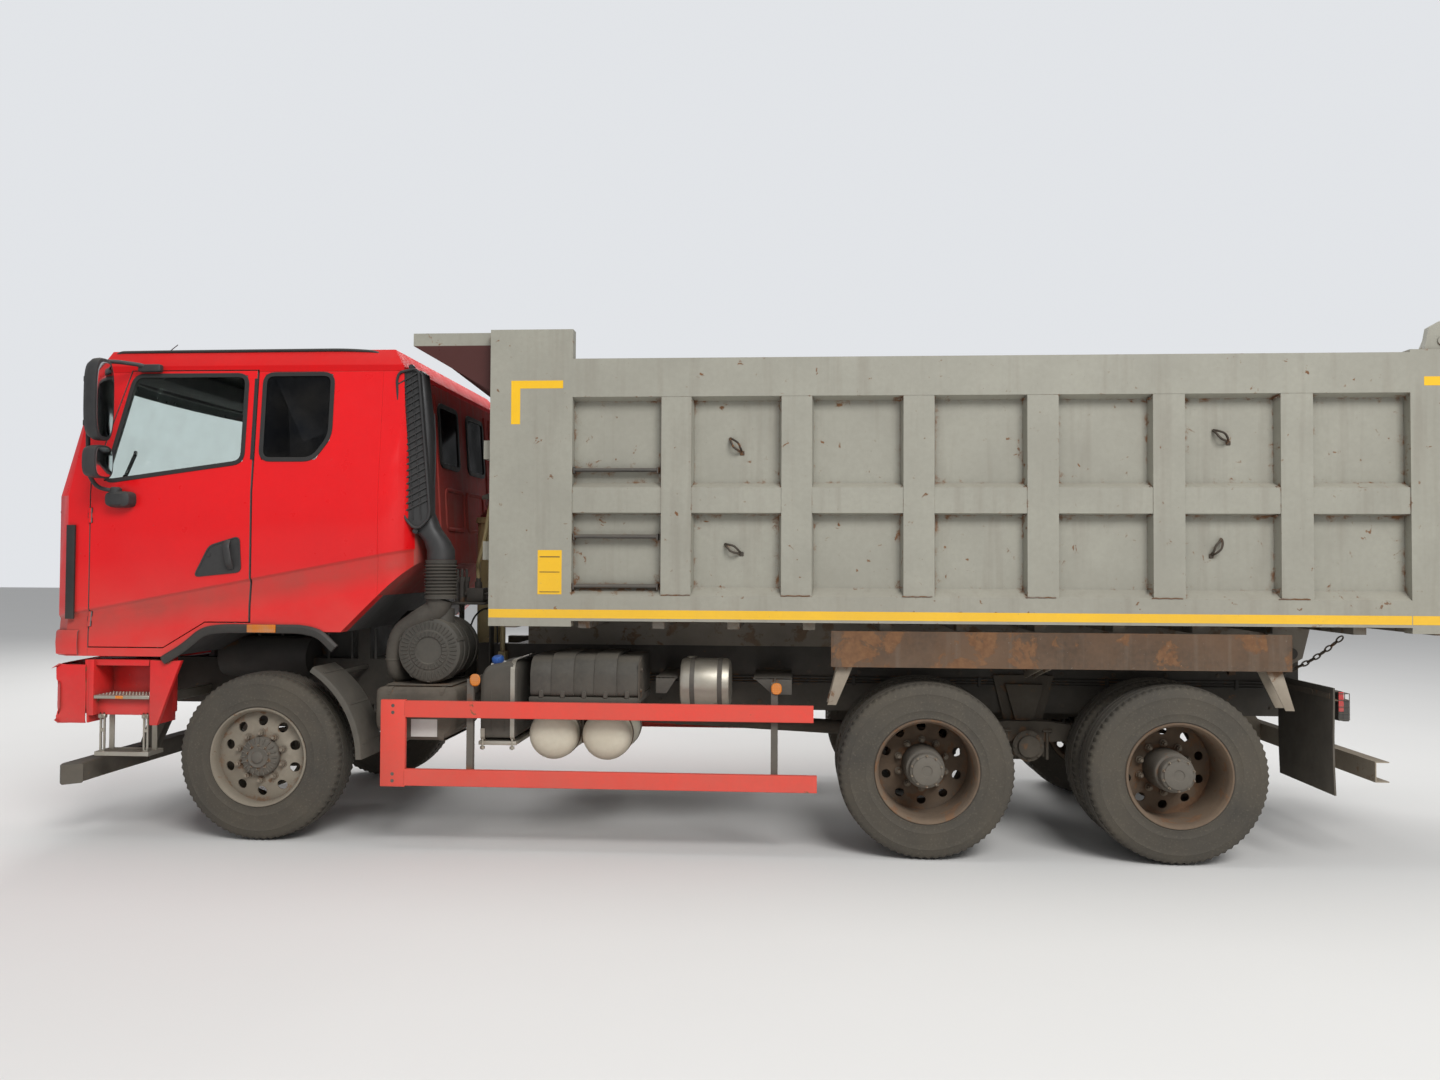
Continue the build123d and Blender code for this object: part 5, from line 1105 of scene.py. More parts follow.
def cornerWing(bm):
    # red corner panel above the bumper, turned round the cab's corner
    lowEdge, topEdge = 1.112, 1.262
    path = [(3.935, 1.172), (4.02, 1.172), (4.085, 1.145)]
    path += [(frontSkin(y, 1.2) + 0.004, y) for y in (1.09, 1.02, 0.92, 0.82)]
    rows = []
    for z, out in ((lowEdge, 0.0), (lowEdge + 0.004, 0.01), (1.185, 0.014), (topEdge - 0.012, 0.01),
            (topEdge, 0.0)):
        row = []
        for i, (x, y) in enumerate(path):
            away = Vector((0.25 + 0.75 * i / (len(path) - 1), 1.0 - i / (len(path) - 1), 0.0)).normalized()
            row.append(bm.verts.new(Vector((x, y, z)) + away * out))
        rows.append(row)
    for a, b in zip(rows, rows[1:]):
        for i in range(len(path) - 1):
            bm.faces.new((a[i], a[i + 1], b[i + 1], b[i]))
    faceOut(bm)
    bmesh.ops.solidify(bm, geom=bm.faces[:], thickness=0.004)


once("grilleMouth", lambda bm: frontStrip(bm, -0.82, 0.82, 1.57, flatBar(0.4, 0.004)), "blackPlastic",
    "cab")
once("grilleSlats", grille, "dustyPlastic", "cab")
once("frontTrim", frontTrim, "blackPlastic", "cab")
both("cornerWings", cornerWing, "cabRed", "cab")


def roofGear(bm):
    # thin aerial on its foot
    addRod(bm, (3.565, 0.9, 2.985), (3.565, 0.9, 3.008), 0.022, 20, 0.014)
    addRod(bm, (3.563, 0.9, 3.005), (3.5, 0.9, 3.054), 0.0028, 8)


once("aerial", roofGear, "blackPlastic", "cab")
print("cab trim made")


# Lofted shapes for ducts, tanks and covers


def superRing(centre, across, up, power=4.0, count=28):
    # a rounded outline round a centre, spanned by two half axes
    c, a, b = Vector(centre), Vector(across), Vector(up)
    ring = []
    for i in range(count):
        t = tau * i / count
        cs, sn = cos(t), sin(t)
        ring.append(c + a * copysign(abs(cs) ** (2 / power), cs) + b * copysign(abs(sn) ** (2 / power), sn))
    return ring


def addLoft(bm, rings):
    made = [[bm.verts.new(p) for p in ring] for ring in rings]
    size = len(made[0])
    faces = [bm.faces.new(made[0]), bm.faces.new(list(reversed(made[-1])))]
    for one, two in zip(made, made[1:]):
        for j in range(size):
            faces.append(bm.faces.new((one[j], one[(j + 1) % size], two[(j + 1) % size], two[j])))
    faceOut(bm, faces)


# Air intake and cleaner behind the cab

intake = {"y": 1.0, "ribs": 9, "slats": 21}


def makeIntake(bm):
    # grille housing, the duct behind it and the funnel down to the bellows
    outline = [(1.948, 1.958), (1.999, 2.79), (1.984, 2.832), (1.89, 2.852), (1.866, 2.835), (1.788, 1.985),
        (1.798, 1.945), (1.85, 1.892), (1.89, 1.892)]
    outline = roundedFlat(outline, 0.03, 3)
    addPlate(bm, outline, 1.05, 1.096, "Y")
    addSweep(bm, [(x, 1.094, z) for x, z in outline], flatBar(0.014, 0.022, 0.004), (0, 1, 0), closed=True)
    for i in range(intake["slats"]):
        z = 1.99 + i * 0.0385
        front = 1.944 + (z - 1.958) * 0.0605
        rear = 1.795 + (z + 0.072 - 1.985) * 0.088
        if z + 0.072 > 2.835:
            break
        addSweep(bm, [(front, 1.094, z), (rear, 1.094, z + 0.072)], flatBar(0.009, 0.014), (0, 1, 0))
    for t in (0.33, 0.66):
        low, high = 1.795 + 0.15 * t, 1.87 + 0.125 * t
        addSweep(bm, [(low, 1.094, 1.94), (high, 1.094, 2.835)], flatBar(0.005, 0.01), (0, 1, 0))
    rings = []
    for z, x, y, hx, hy, power in ((2.852, 1.925, 1.0, 0.055, 0.055, 5), (2.835, 1.92, 0.995, 0.072, 0.062, 5),
            (2.5, 1.9, 0.993, 0.09, 0.065, 5), (2.15, 1.895, 0.993, 0.09, 0.065, 4.5),
            (1.985, 1.885, 0.998, 0.085, 0.066, 4), (1.89, 1.835, 1.005, 0.08, 0.07, 3),
            (1.815, 1.775, 1.005, 0.078, 0.078, 2.4), (1.76, 1.752, 1.0, 0.084, 0.084, 2),
            (1.7, 1.75, 1.0, 0.084, 0.084, 2)):
        rings.append(superRing((x, y, z), (hx, 0, 0), (0, hy, 0), power))
    addLoft(bm, rings)
    # seam ribs along the duct and its latch knobs
    addPipe(bm, [(1.812, 0.968, 2.6), (1.803, 0.965, 2.4), (1.806, 0.968, 2.16)], 0.004, segments=6)
    for x, z in ((1.88, 1.872), (1.915, 2.866)):
        addRod(bm, (x, 1.07, z), (x, 1.1, z), 0.016, 14)
        addRod(bm, (x, 1.098, z), (x, 1.106, z), 0.009, 6)


def makeBellows(bm):
    x, y = 1.75, intake["y"]
    outline = [(0.07, 1.462), (0.096, 1.462), (0.096, 1.482), (0.088, 1.486)]
    step = (1.672 - 1.49) / intake["ribs"]
    for i in range(intake["ribs"]):
        z = 1.49 + i * step
        outline += [(0.088, z + step * 0.12), (0.099, z + step * 0.38), (0.099, z + step * 0.62),
            (0.088, z + step * 0.88)]
    outline += [(0.088, 1.674), (0.094, 1.676), (0.094, 1.699), (0.07, 1.699)]
    addTurned(bm, [(r, z) for r, z in outline], (x, y, 0.0), (0, 0, 1), 40)


cleaner = {"x": 1.8, "z": 1.152, "ribs": ((0.132, 0.172, 40, 1.068), (0.086, 0.113, 28, 1.076)),
    "clips": (95, 20, 160, 235, 305, 270), "bands": (0.7, 0.86)}


def makeCleaner(bm):
    # drum, lid with its two rings of ribs, clips, neck and saddle
    x, z = cleaner["x"], cleaner["z"]
    drum = [(0.0, 0.622), (0.15, 0.622), (0.178, 0.632), (0.19, 0.655), (0.192, 0.94), (0.203, 0.946),
        (0.203, 0.99), (0.198, 0.996), (0.198, 1.03), (0.19, 1.052), (0.176, 1.06), (0.122, 1.062), (0.116, 1.068),
        (0.084, 1.07), (0.078, 1.062), (0.0, 1.062)]
    addTurned(bm, drum, (x, 0.0, z), (0, 1, 0), 56)
    for r0, r1, count, top in cleaner["ribs"]:
        for i in range(count):
            a = tau * i / count
            c, s = cos(a), sin(a)
            addSweep(bm, [(x + r0 * c, 1.058, z + r0 * s), (x + r1 * c, 1.058, z + r1 * s)],
                flatBar(0.0055, top - 1.058), (0, 1, 0))
    for degrees in cleaner["clips"]:
        a = radians(degrees)
        c, s = cos(a), sin(a)
        addSweep(bm, [(x + 0.203 * c, 0.965, z + 0.203 * s), (x + 0.206 * c, 1.01, z + 0.206 * s),
            (x + 0.186 * c, 1.064, z + 0.186 * s)], flatBar(0.02, 0.004), (c, 0, s))
    for y in cleaner["bands"]:
        addTurned(bm, rect(0.19, y, 0.1965, y + 0.022), (x, 0.0, z), (0, 1, 0), 48)
    # neck between the drum and the elbow
    addTurned(bm, rect(0.0, 1.2, 0.074, 1.4), (1.752, 0.96, 0.0), (0, 0, 1), 32)
    # saddle to the frame rail
    addBoxes(bm, 0.003, 1, (1.69, 0.432, 0.95, 1.91, 0.7, 0.962), (1.69, 0.432, 0.95, 1.704, 0.64, 1.06),
        (1.896, 0.432, 0.95, 1.91, 0.64, 1.06))


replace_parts(once("airIntake", makeIntake, "blackPlastic", "cab"), "air_intake")
once("intakeBellows", makeBellows, "dustyRubber")
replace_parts(once("airCleaner", makeCleaner, "dustyPlastic"), "air_filter")


# Tanks and boxes on the frame's sides

battery = {"x0": 0.515, "x1": 1.155, "panels": 5}
airTankForm = {"x": (1.025, 0.705), "z": 0.662, "radius": 0.147, "straps": (0.68, 1.02)}
oilTankForm = {"centre": (0.0, 0.9, 0.96), "radius": 0.149, "straps": (0.04, 0.205)}


def band(radius, thick, middle, half):
    # outline of a strap round a tank
    return rect(radius, middle - half, radius + thick, middle + half)


def railBracket(bm, x0, x1, z0, z1, y=0.66, thick=0.008):
    # a pair of folded plates bolted to the frame rail
    for x in (x0, x1 - thick):
        addPlate(bm, [(0.43, z1), (0.43, z0), (y, z0), (y, z0 + 0.05)], x, x + thick, "X", 0.0015)
    addBox(bm, (x0, 0.43, z0), (x1, 0.44, z1), 0.002, 1)
    addBolts(bm, [(x0 + 0.02 + i * (x1 - x0 - 0.04) / 2, 0.44, z1 - 0.03) for i in range(3)], (0, 1, 0), 0.008)


def airTank(bm, x):
    z, r = airTankForm["z"], airTankForm["radius"]
    dome = [(0.0, 0.56), (0.06, 0.563), (0.11, 0.577), (0.138, 0.6), (r, 0.63), (r, 1.085), (0.14, 1.112),
        (0.116, 1.134), (0.078, 1.146), (0.036, 1.1495), (0.0, 1.15)]
    addTurned(bm, dome, (x, 0.0, z), (0, 1, 0), 48)
    addTurned(bm, [(r - 0.001, 1.062), (r + 0.0012, 1.063), (r + 0.0012, 1.069), (r - 0.001, 1.07)], (x, 0, z),
        (0, 1, 0), 48)


def airTanks(bm):
    for x in airTankForm["x"]:
        airTank(bm, x)


def tankStraps(bm):
    r = airTankForm["radius"]
    for x in airTankForm["x"]:
        for y in airTankForm["straps"]:
            addTurned(bm, band(r, 0.0025, y, 0.018), (x, 0, airTankForm["z"]), (0, 1, 0), 48)
    addBox(bm, (0.58, 0.43, 0.808), (1.15, 0.47, 0.842), 0.003, 1)
    for y in (0.662, 1.0):
        addBox(bm, (0.6, y, 0.811), (1.13, y + 0.04, 0.823), 0.002, 1)
    for x in (0.64, 1.08):
        addBox(bm, (x, 0.432, 0.8), (x + 0.012, 1.05, 0.846), 0.002, 1)
    for y in (1.005, 0.675):
        addRod(bm, (0.865, y, 0.6), (0.865, y, 0.82), 0.006, 10)


def ureaTank(bm):
    rings = []
    for y, grow in ((0.622, -0.02), (0.632, -0.006), (0.65, 0.0), (1.112, 0.0), (1.13, -0.006), (1.14, -0.022)):
        outline = [(1.462 + grow, 0.64 - grow), (1.462 + grow, 1.0), (1.425, 1.07 + grow), (1.275, 1.096 + grow),
            (1.238 - grow, 1.065), (1.238 - grow, 0.64 - grow)]
        rings.append(rounded([(x, y, z) for x, z in outline], 0.035, 4, closed=True))
    addLoft(bm, rings)
    for x in (1.31, 1.39):
        addBox(bm, (x, 1.134, 0.68), (x + 0.004, 1.142, 0.93), 0.001, 1)


ureaMouth = {"place": (1.374, 1.04, 1.07), "axis": (0.12, 0.25, 1.0)}


def ureaCap(bm):
    addTurned(bm, [(0.0, -0.006), (0.046, -0.006), (0.046, 0.01), (0.034, 0.014), (0.0, 0.014)], ureaMouth["place"],
        ureaMouth["axis"], 32)


def ureaLid(bm):
    part = bmesh.new()
    outline = [(0.0, 0.012), (0.03, 0.012), (0.0325, 0.018), (0.0325, 0.044), (0.028, 0.052), (0.0, 0.054)]
    spinProfile(part, outline, 36)
    for i in range(12):
        a = tau * i / 12
        addRod(part, (0.0325 * cos(a), 0.018, 0.0325 * sin(a)), (0.0325 * cos(a), 0.046, 0.0325 * sin(a)), 0.003, 6)
    joinTurned(bm, part, ureaMouth["place"], ureaMouth["axis"])


def ureaHolders(bm):
    foot = ((0.6, 0.628), (1.146, 0.628))
    for x, run in ((1.262, ((1.146, 1.062), (1.1, 1.104), (0.62, 1.104))), (1.44, ((1.146, 0.7),))):
        path = rounded([(x, y, z) for y, z in foot + run], 0.04, 5)
        addSweep(bm, path, strap(0.0015, 0.013), (1, 0, 0))
        addRod(bm, (x, 1.146, 0.575), (x, 1.146, 0.64), 0.007, 10)
        addRod(bm, (x, 1.146, 0.58), (x, 1.146, 0.594), 0.015, 6)
    addBox(bm, (1.236, 0.6, 0.602), (1.464, 1.15, 0.626), 0.004, 2)


def fillTank(bm):
    # round steel oil tank lying along the frame
    profile = [(0.0, -0.024), (0.12, -0.022), (0.142, -0.014), (0.149, 0.004), (0.149, 0.256), (0.142, 0.274),
        (0.12, 0.282), (0.0, 0.284)]
    addTurned(bm, profile, oilTankForm["centre"], (1, 0, 0), 56)
    addRod(bm, (0.22, 0.86, 1.095), (0.22, 0.86, 1.116), 0.03, 20)
    addRod(bm, (0.06, 0.98, 0.82), (0.06, 0.99, 0.8), 0.014, 12)


def fillStraps(bm):
    for x in oilTankForm["straps"]:
        addTurned(bm, band(oilTankForm["radius"], 0.003, x, 0.014), oilTankForm["centre"], (1, 0, 0), 56)
        addPlate(bm, [(0.43, 1.03), (0.43, 0.815), (0.76, 0.815), (0.8, 0.84), (0.748, 0.93)], x - 0.006, x + 0.006,
            "X", 0.0015)
    for x0, x1 in ((0.3, 0.43), (-0.16, -0.39)):
        addPlate(bm, [(x0, 1.0), (x1, 1.0), (x1, 0.9), ((x0 + x1) / 2, 0.9)], 0.96, 0.966, "Y", 0.0015)
        addBox(bm, (min(x0, x1), 0.432, 0.988), (max(x0, x1), 0.966, 1.0), 0.002, 1)


fuelTankForm = {"inner": -0.64, "outer": -1.176, "low": 0.524, "top": 1.106, "corner": 0.075,
    "ends": (0.198, 1.437)}


def fuelOutline(x, grow):
    f = fuelTankForm
    corners = ((f["inner"] + grow, f["low"] - grow), (f["outer"] - grow, f["low"] - grow),
        (f["outer"] - grow, f["top"] + grow), (f["inner"] + grow, f["top"] + grow))
    return rounded([(x, y, z) for y, z in corners], f["corner"], 5, closed=True)


def fuelTank(bm):
    # on the right, folded sheet with pressed ends
    rings = []
    for x, grow in ((0.168, -0.03), (0.174, -0.012), (0.19, -0.003), (0.198, 0.0), (1.437, 0.0), (1.446, -0.003),
            (1.461, -0.012), (1.467, -0.03)):
        rings.append(fuelOutline(x, grow))
    addLoft(bm, rings)
    for x in fuelTankForm["ends"]:
        addSweep(bm, fuelOutline(x, 0.0), roundBar(0.003, 6), closed=True)
    addTurned(bm, [(0.0, -0.01), (0.056, -0.01), (0.056, 0.014), (0.05, 0.02), (0.0, 0.02)], (1.3, -1.06, 1.086),
        (0, 0, 1), 32)


def fuelStraps(bm):
    for x in (0.43, 1.2):
        path = rounded([(x, y, z) for y, z in ((-0.46, 0.522), (-1.1775, 0.522), (-1.1775, 1.108), (-0.46, 1.108))],
            0.075, 5)
        addSweep(bm, path, strap(0.0012, 0.024), (1, 0, 0))
        addPlate(bm, [(-0.43, 1.108), (-0.43, 0.56), (-0.52, 0.522), (-0.66, 0.522), (-0.64, 0.7), (-0.64, 1.108)],
            x - 0.006, x + 0.006, "X", 0.0015)
        addBox(bm, (x - 0.03, -1.178, 0.506), (x + 0.03, -0.43, 0.522), 0.003, 1)


def batteryBox(bm):
    # moulded cover in stepped panels over a steel tray
    x0, x1, count = battery["x0"], battery["x1"], battery["panels"]
    width = (x1 - x0) / count
    for i in range(count):
        a = x0 + i * width
        grow = 0.01 if i % 2 else 0.0
        top = 1.128 + (0.016 if i in (1, 2, 3) else 0.0) * (1 if i % 2 else 0.6)
        outline = [(0.604, 0.892), (1.14 + grow * 0.6, 0.892), (1.142 + grow, 1.04), (1.112 + grow, top - 0.028),
            (1.06, top), (0.604, top)]
        addPlate(bm, roundedFlat(outline, 0.03, 3), a - 0.004, a + width + 0.004, "X", 0.007)
        addBox(bm, (a + width * 0.5 - 0.014, 1.12, 0.885), (a + width * 0.5 + 0.014, 1.1495, 0.93), 0.004, 1)
        if i < count - 1:
            addSweep(bm, [(a + width, 0.62, 1.14), (a + width, 1.06, 1.14), (a + width, 1.118, 1.112),
                (a + width, 1.1475, 1.03), (a + width, 1.146, 0.905)], roundBar(0.0025, 6))
    addBox(bm, (0.505, 0.6, 0.852), (1.165, 1.145, 0.89), 0.006, 2)


def batteryTray(bm):
    railBracket(bm, 0.56, 0.64, 0.86, 1.03)
    railBracket(bm, 1.03, 1.11, 0.86, 1.03)
    for x in (0.56, 1.07):
        addBox(bm, (x, 0.432, 0.85), (x + 0.05, 1.14, 0.866), 0.003, 1)
    addPlate(bm, [(1.148, 0.87), (1.148, 1.09), (1.04, 1.12), (0.9, 0.87)], 0.5055, 0.5115, "X", 0.001)
    addBolts(bm, [(0.503, 1.1, 0.93), (0.503, 1.08, 1.05)], (-1, 0, 0), 0.008)
    addRod(bm, (0.512, 1.1, 0.93), (0.498, 1.1, 0.93), 0.006, 8)


def exhaustBox(bm):
    # folded silencer with pressed ribs and its heat shield
    rings = []
    for y, grow in ((0.604, -0.035), (0.62, -0.01), (0.64, 0.0), (1.086, 0.0), (1.104, -0.01), (1.119, -0.032)):
        outline = [(2.11 + grow, 0.69), (2.11 + grow, 0.93 + grow), (1.61 - grow, 0.93 + grow), (1.61 - grow, 0.69),
            (1.69, 0.616 - grow), (2.03, 0.616 - grow)]
        rings.append(rounded([(x, y, z) for x, z in outline], 0.04, 4, closed=True))
    addLoft(bm, rings)
    for x in (1.7, 2.02):
        path = rounded([(x, y, z) for y, z in ((0.604, 0.614), (1.1175, 0.614), (1.1175, 0.932), (0.604, 0.932))],
            0.035, 4)
        addSweep(bm, path, strap(0.0012, 0.016), (1, 0, 0))
    addBoxes(bm, 0.002, 1, (1.655, 0.432, 0.936, 2.06, 1.06, 0.945), (1.655, 0.432, 0.76, 1.668, 0.64, 0.94),
        (2.047, 0.432, 0.76, 2.06, 0.64, 0.94))
    addBolts(bm, [(x, 1.118, z) for x in (1.7, 2.02) for z in (0.66, 0.9)], (0, 1, 0), 0.008, 0.002)


for name, maker, material, slotName in (
        ("airTanks", airTanks, "tankCream", "tank_cream"),
            ("airTankStraps", tankStraps, "dustyIron", "chassis_black"),
        ("ureaTank", ureaTank, "dustyPlastic", "black_plastic"), ("ureaNeck", ureaCap, "plateWhite", "tank_cream"),
        ("ureaCap", ureaLid, "capBlue", "black_plastic"), ("ureaHolders", ureaHolders, "aluminium", "tank_cream"),
        ("oilTank", fillTank, "aluminium", "tank_cream"),
            ("oilTankBrackets", fillStraps, "dustyGrey", "chassis_black"),
        ("fuelTank", fuelTank, "aluminium", "tank_cream"),
            ("fuelTankStraps", fuelStraps, "dustyIron", "chassis_black"),
        ("batteryCover", batteryBox, "dustyPlastic", "black_plastic"),
        ("batteryTray", batteryTray, "dustyIron", "chassis_black"),
        ("exhaustBox", exhaustBox, "dustyIron", "chassis_black"),
            ("exhaustPlate", lambda bm: addBox(bm, (1.724, 1.1175, 0.64), (1.884, 1.1195, 0.745), 0.0008, 1),
            "plateWhite", "tank_cream")):
    piece = once(name, maker, material)
    if name == "fuelTank":
        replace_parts(piece, "side_tanks")
    if name == "batteryCover":
        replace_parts(piece, "side_boxes")
print("side gear made")


# Side guards: red channels on grey posts with amber markers

guard = {"y0": 1.204, "y1": 1.242}


def guardRails(bm):
    y0, y1 = guard["y0"], guard["y1"]
    for z0, z1, rear in ((0.772, 0.868, -0.515), (0.372, 0.468, -0.535)):
        wall = 0.004
        outline = [(y0, z0), (y1 - 0.003, z0), (y1, z0 + 0.003), (y1, z1 - 0.003), (y1 - 0.003, z1), (y0, z1),
            (y0, z1 - wall), (y1 - wall, z1 - wall), (y1 - wall, z0 + wall), (y0, z0 + wall)]
        addPlate(bm, outline, rear, 1.88, "X")
    outline = rect(1.876, 0.366, 2.024, 0.874)
    addPlate(bm, outline, y0 + 0.006, y1, "Y", 0.003)


def guardPosts(bm):
    for x in (1.5, -0.29):
        width = 0.02
        addBoxes(bm, 0.002, 1, (x - width, 1.196, 0.372, x + width, 1.2055, 0.998),
            (x - width, 1.17, 0.372, x - width + 0.006, 1.2, 0.998))
        addPlate(bm, [(0.43, 1.0), (0.43, 0.9), (1.172, 0.905), (1.2, 0.93), (1.2, 0.998)], x - 0.004, x + 0.004,
            "X", 0.0015)
        addBox(bm, (x - 0.045, 0.43, 0.88), (x + 0.045, 0.44, 1.01), 0.002, 1)
        addBolts(bm, [(x + d, 0.44, z) for d in (-0.028, 0.028) for z in (0.905, 0.985)], (0, 1, 0), 0.008)
        addBolts(bm, [(x, 1.206, 0.42)] if x > 0 else [], (0, -1, 0), 0.008)
    for z in (0.4, 0.44, 0.8, 0.84):
        addBolts(bm, [(1.95, 1.24, z)], (0, 1, 0), 0.007, 0.0015)
    addBox(bm, (1.88, 1.17, 0.4), (2.018, 1.212, 0.412), 0.002, 1)
    addPlate(bm, [(0.43, 0.76), (0.43, 0.66), (1.17, 0.78), (1.205, 0.8), (1.205, 0.86), (1.15, 0.86)], 1.935,
        1.943, "X", 0.0015)


def guardMarkers(bm):
    # long amber reflectors on the posts' tops, turned to the side
    for x, z in ((1.47, 0.992), (-0.302, 0.962)):
        ring = superRing((x, 1.212, z), (0.031, 0, 0), (0, 0, 0.036 if x > 0 else 0.034), 2.4, 28)
        inner = superRing((x, 1.217, z), (0.026, 0, 0), (0, 0, 0.03), 2.4, 28)
        back = superRing((x, 1.2055, z), (0.031, 0, 0), (0, 0, 0.036 if x > 0 else 0.034), 2.4, 28)
        addLoft(bm, [back, ring, inner])


both("guardRails", guardRails, "guardRed")
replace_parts(both("guardPosts", guardPosts, "dustyGrey"), "side_guards")
both("guardMarkers", guardMarkers, "amberLens")
print("guards made")


# Mudguards, flaps and the beams over the rear wheels

arch = {"x": 2.815, "z": 0.505, "inner": 0.612, "outer": 0.648}


def mudguards(bm):
    # front guards: a shell with turned-in edges, thin, ending in a rounded tail
    rings = []
    steps = 14
    for i in range(steps + 1):
        t = radians(180 - 58 * i / steps)
        c, s = cos(t), sin(t)
        mid = lambda r, y: (arch["x"] + r * c, y, arch["z"] + r * s)
        out = arch["outer"]
        ring = [mid(out - 0.03, 0.842), mid(out - 0.004, 0.842), mid(out, 0.852), mid(out, 1.15),
            mid(out - 0.005, 1.163), mid(out - 0.014, 1.168), mid(arch["inner"], 1.168), mid(arch["inner"], 1.162),
            mid(out - 0.014, 1.16), mid(out - 0.006, 1.148), mid(out - 0.006, 0.85), mid(out - 0.03, 0.848)]
        rings.append([Vector(p) for p in ring])
    addLoft(bm, rings)
    for degrees in (172, 150, 128):
        t = radians(degrees)
        c, s = cos(t), sin(t)
        addSweep(bm, [(arch["x"] + 0.648 * c, 0.86, arch["z"] + 0.648 * s), (arch["x"] + 0.648 * c, 1.14,
            arch["z"] + 0.648 * s)], flatBar(0.012, 0.003), (c, 0, s))
    addRod(bm, (2.44, 0.43, 0.985), (2.44, 1.0, 0.985), 0.018, 14)
    addRod(bm, (2.235, 0.43, 0.735), (2.235, 1.0, 0.735), 0.018, 14)


def rearFlaps(bm):
    # ribbed rubber flaps hanging on a folded bar
    rings = []
    for z, sway in ((1.008, 0.0), (0.92, 0.0), (0.74, 0.004), (0.56, 0.002), (0.412, -0.004)):
        x = -3.398 + sway
        rings.append([Vector((x - 0.005, 0.562, z)), Vector((x + 0.005, 0.562, z)), Vector((x + 0.005, 0.9, z)),
            Vector((x + 0.005, 1.238, z)), Vector((x - 0.005, 1.238, z)), Vector((x - 0.005, 0.9, z))])
    addLoft(bm, rings)
    for i in range(9):
        y = 0.6 + i * 0.075
        addBox(bm, (-3.404, y, 0.43), (-3.4005, y + 0.01, 0.9), 0.0, 1)


def flapBars(bm):
    outline = [(-3.404, 0.932), (-3.442, 0.932), (-3.442, 0.938), (-3.41, 0.938), (-3.41, 0.982), (-3.442, 0.982),
        (-3.442, 0.988), (-3.404, 0.988)]
    addPlate(bm, outline, 0.43, 1.198, "Y")
    addBox(bm, (-3.396, 0.6, 0.945), (-3.39, 1.2, 0.975), 0.001, 1)
    addBolts(bm, [(-3.391, 0.66 + i * 0.17, 0.96) for i in range(4)], (1, 0, 0), 0.008, 0.001)
    addBox(bm, (-3.444, 0.43, 0.86), (-3.4, 0.442, 1.01), 0.002, 1)


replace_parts(both("frontMudguards", mudguards, "dustyPlastic"), "mudguards")
both("rearFlaps", rearFlaps, "dustyRubber")
both("flapBars", flapBars, "dustyIron")


def beamStruts(bm):
    # slanted beige struts that carry the beam over the wheels
    for x, lean in ((-0.7, 0.06), (-3.09, -0.11)):
        z0, z1 = 0.872, 1.105
        for y in (1.06, 1.192):
            outline = [(x - 0.045, z1), (x + 0.045, z1), (x + 0.045 + lean, z0), (x - 0.005 + lean, z0)]
            addPlate(bm, outline, y, y + 0.006, "Y", 0.001)
        addBox(bm, (x - 0.05, 1.06, z1 - 0.01), (x + 0.05, 1.198, z1), 0.002, 1)
    for x in (-1.85, -1.9):
        addPlate(bm, [(0.5, 1.1), (1.14, 1.14), (1.14, 1.095), (0.6, 0.98)], x, x + 0.008, "X", 0.001)


both("beamStruts", beamStruts, "dustyBeige")
print("wheel guards made")


# Mirrors, visor and door-side gear

# heads: centre, half height, half width, depth
mirror = {
    "tube": 0.0125, "heads": (((3.712, 1.375, 2.635), 0.245, 0.092, 0.105), ((3.722, 1.362, 2.268),
        0.098, 0.092, 0.11)),
}


def mirrorHead(bm, centre, halfUp, halfSide, depth):
    # a shell that swells forward and stops square at the glass
    x, y, z = centre
    rings = []
    for back, grow in ((-0.5, 0.9), (-0.48, 0.97), (-0.34, 1.0), (0.0, 0.97), (0.3, 0.8), (0.45, 0.52),
            (0.5, 0.22)):
        rings.append(superRing((x + back * depth, y, z), (0, halfSide * grow, 0),
            (0, 0, halfUp * (0.5 + 0.5 * grow)), 3.2, 36))
    addLoft(bm, rings)


def mirrorGlassPlate(bm, centre, halfUp, halfSide, depth):
    x, y, z = centre
    at = x - depth * 0.5
    addLoft(bm, [superRing((at + d, y, z), (0, halfSide * side, 0), (0, 0, halfUp * up), 3.2, 36) for d, side,
        up in ((0.004, 0.84, 0.9), (-0.0015, 0.84, 0.9), (-0.0025, 0.82, 0.885))])


def mirrorShells(bm):
    for head in mirror["heads"]:
        mirrorHead(bm, *head)
    # foot on the door, swivel and the bent tube that carries both heads
    addLoft(bm, [superRing((3.668, y, 2.055), (0.083 * grow, 0, 0), (0, 0, 0.05 * grow), 3.6, 32) for y,
        grow in ((1.172, 1.0), (1.205, 1.0), (1.235, 0.9), (1.248, 0.62))])
    addTurned(bm, [(0.0, 2.085), (0.034, 2.085), (0.034, 2.118), (0.024, 2.128), (0.0, 2.128)], (3.69, 1.212, 0.0),
        (0, 0, 1), 28)
    addPipe(bm, [(3.69, 1.214, 2.105), (3.775, 1.262, 2.12), (3.786, 1.33, 2.2), (3.784, 1.345, 2.56),
        (3.78, 1.33, 2.866), (3.7, 1.235, 2.888), (3.6, 1.15, 2.882), (3.56, 1.118, 2.872)], mirror["tube"], 0.07,
        14)
    for z in (2.285, 2.5, 2.76):
        addBox(bm, (3.752, 1.325, z - 0.018), (3.8, 1.372, z + 0.018), 0.006, 2)
    addBox(bm, (3.47, 1.098, 2.842), (3.612, 1.142, 2.888), 0.01, 3)


def mirrorPlates(bm):
    for head in mirror["heads"]:
        mirrorGlassPlate(bm, *head)


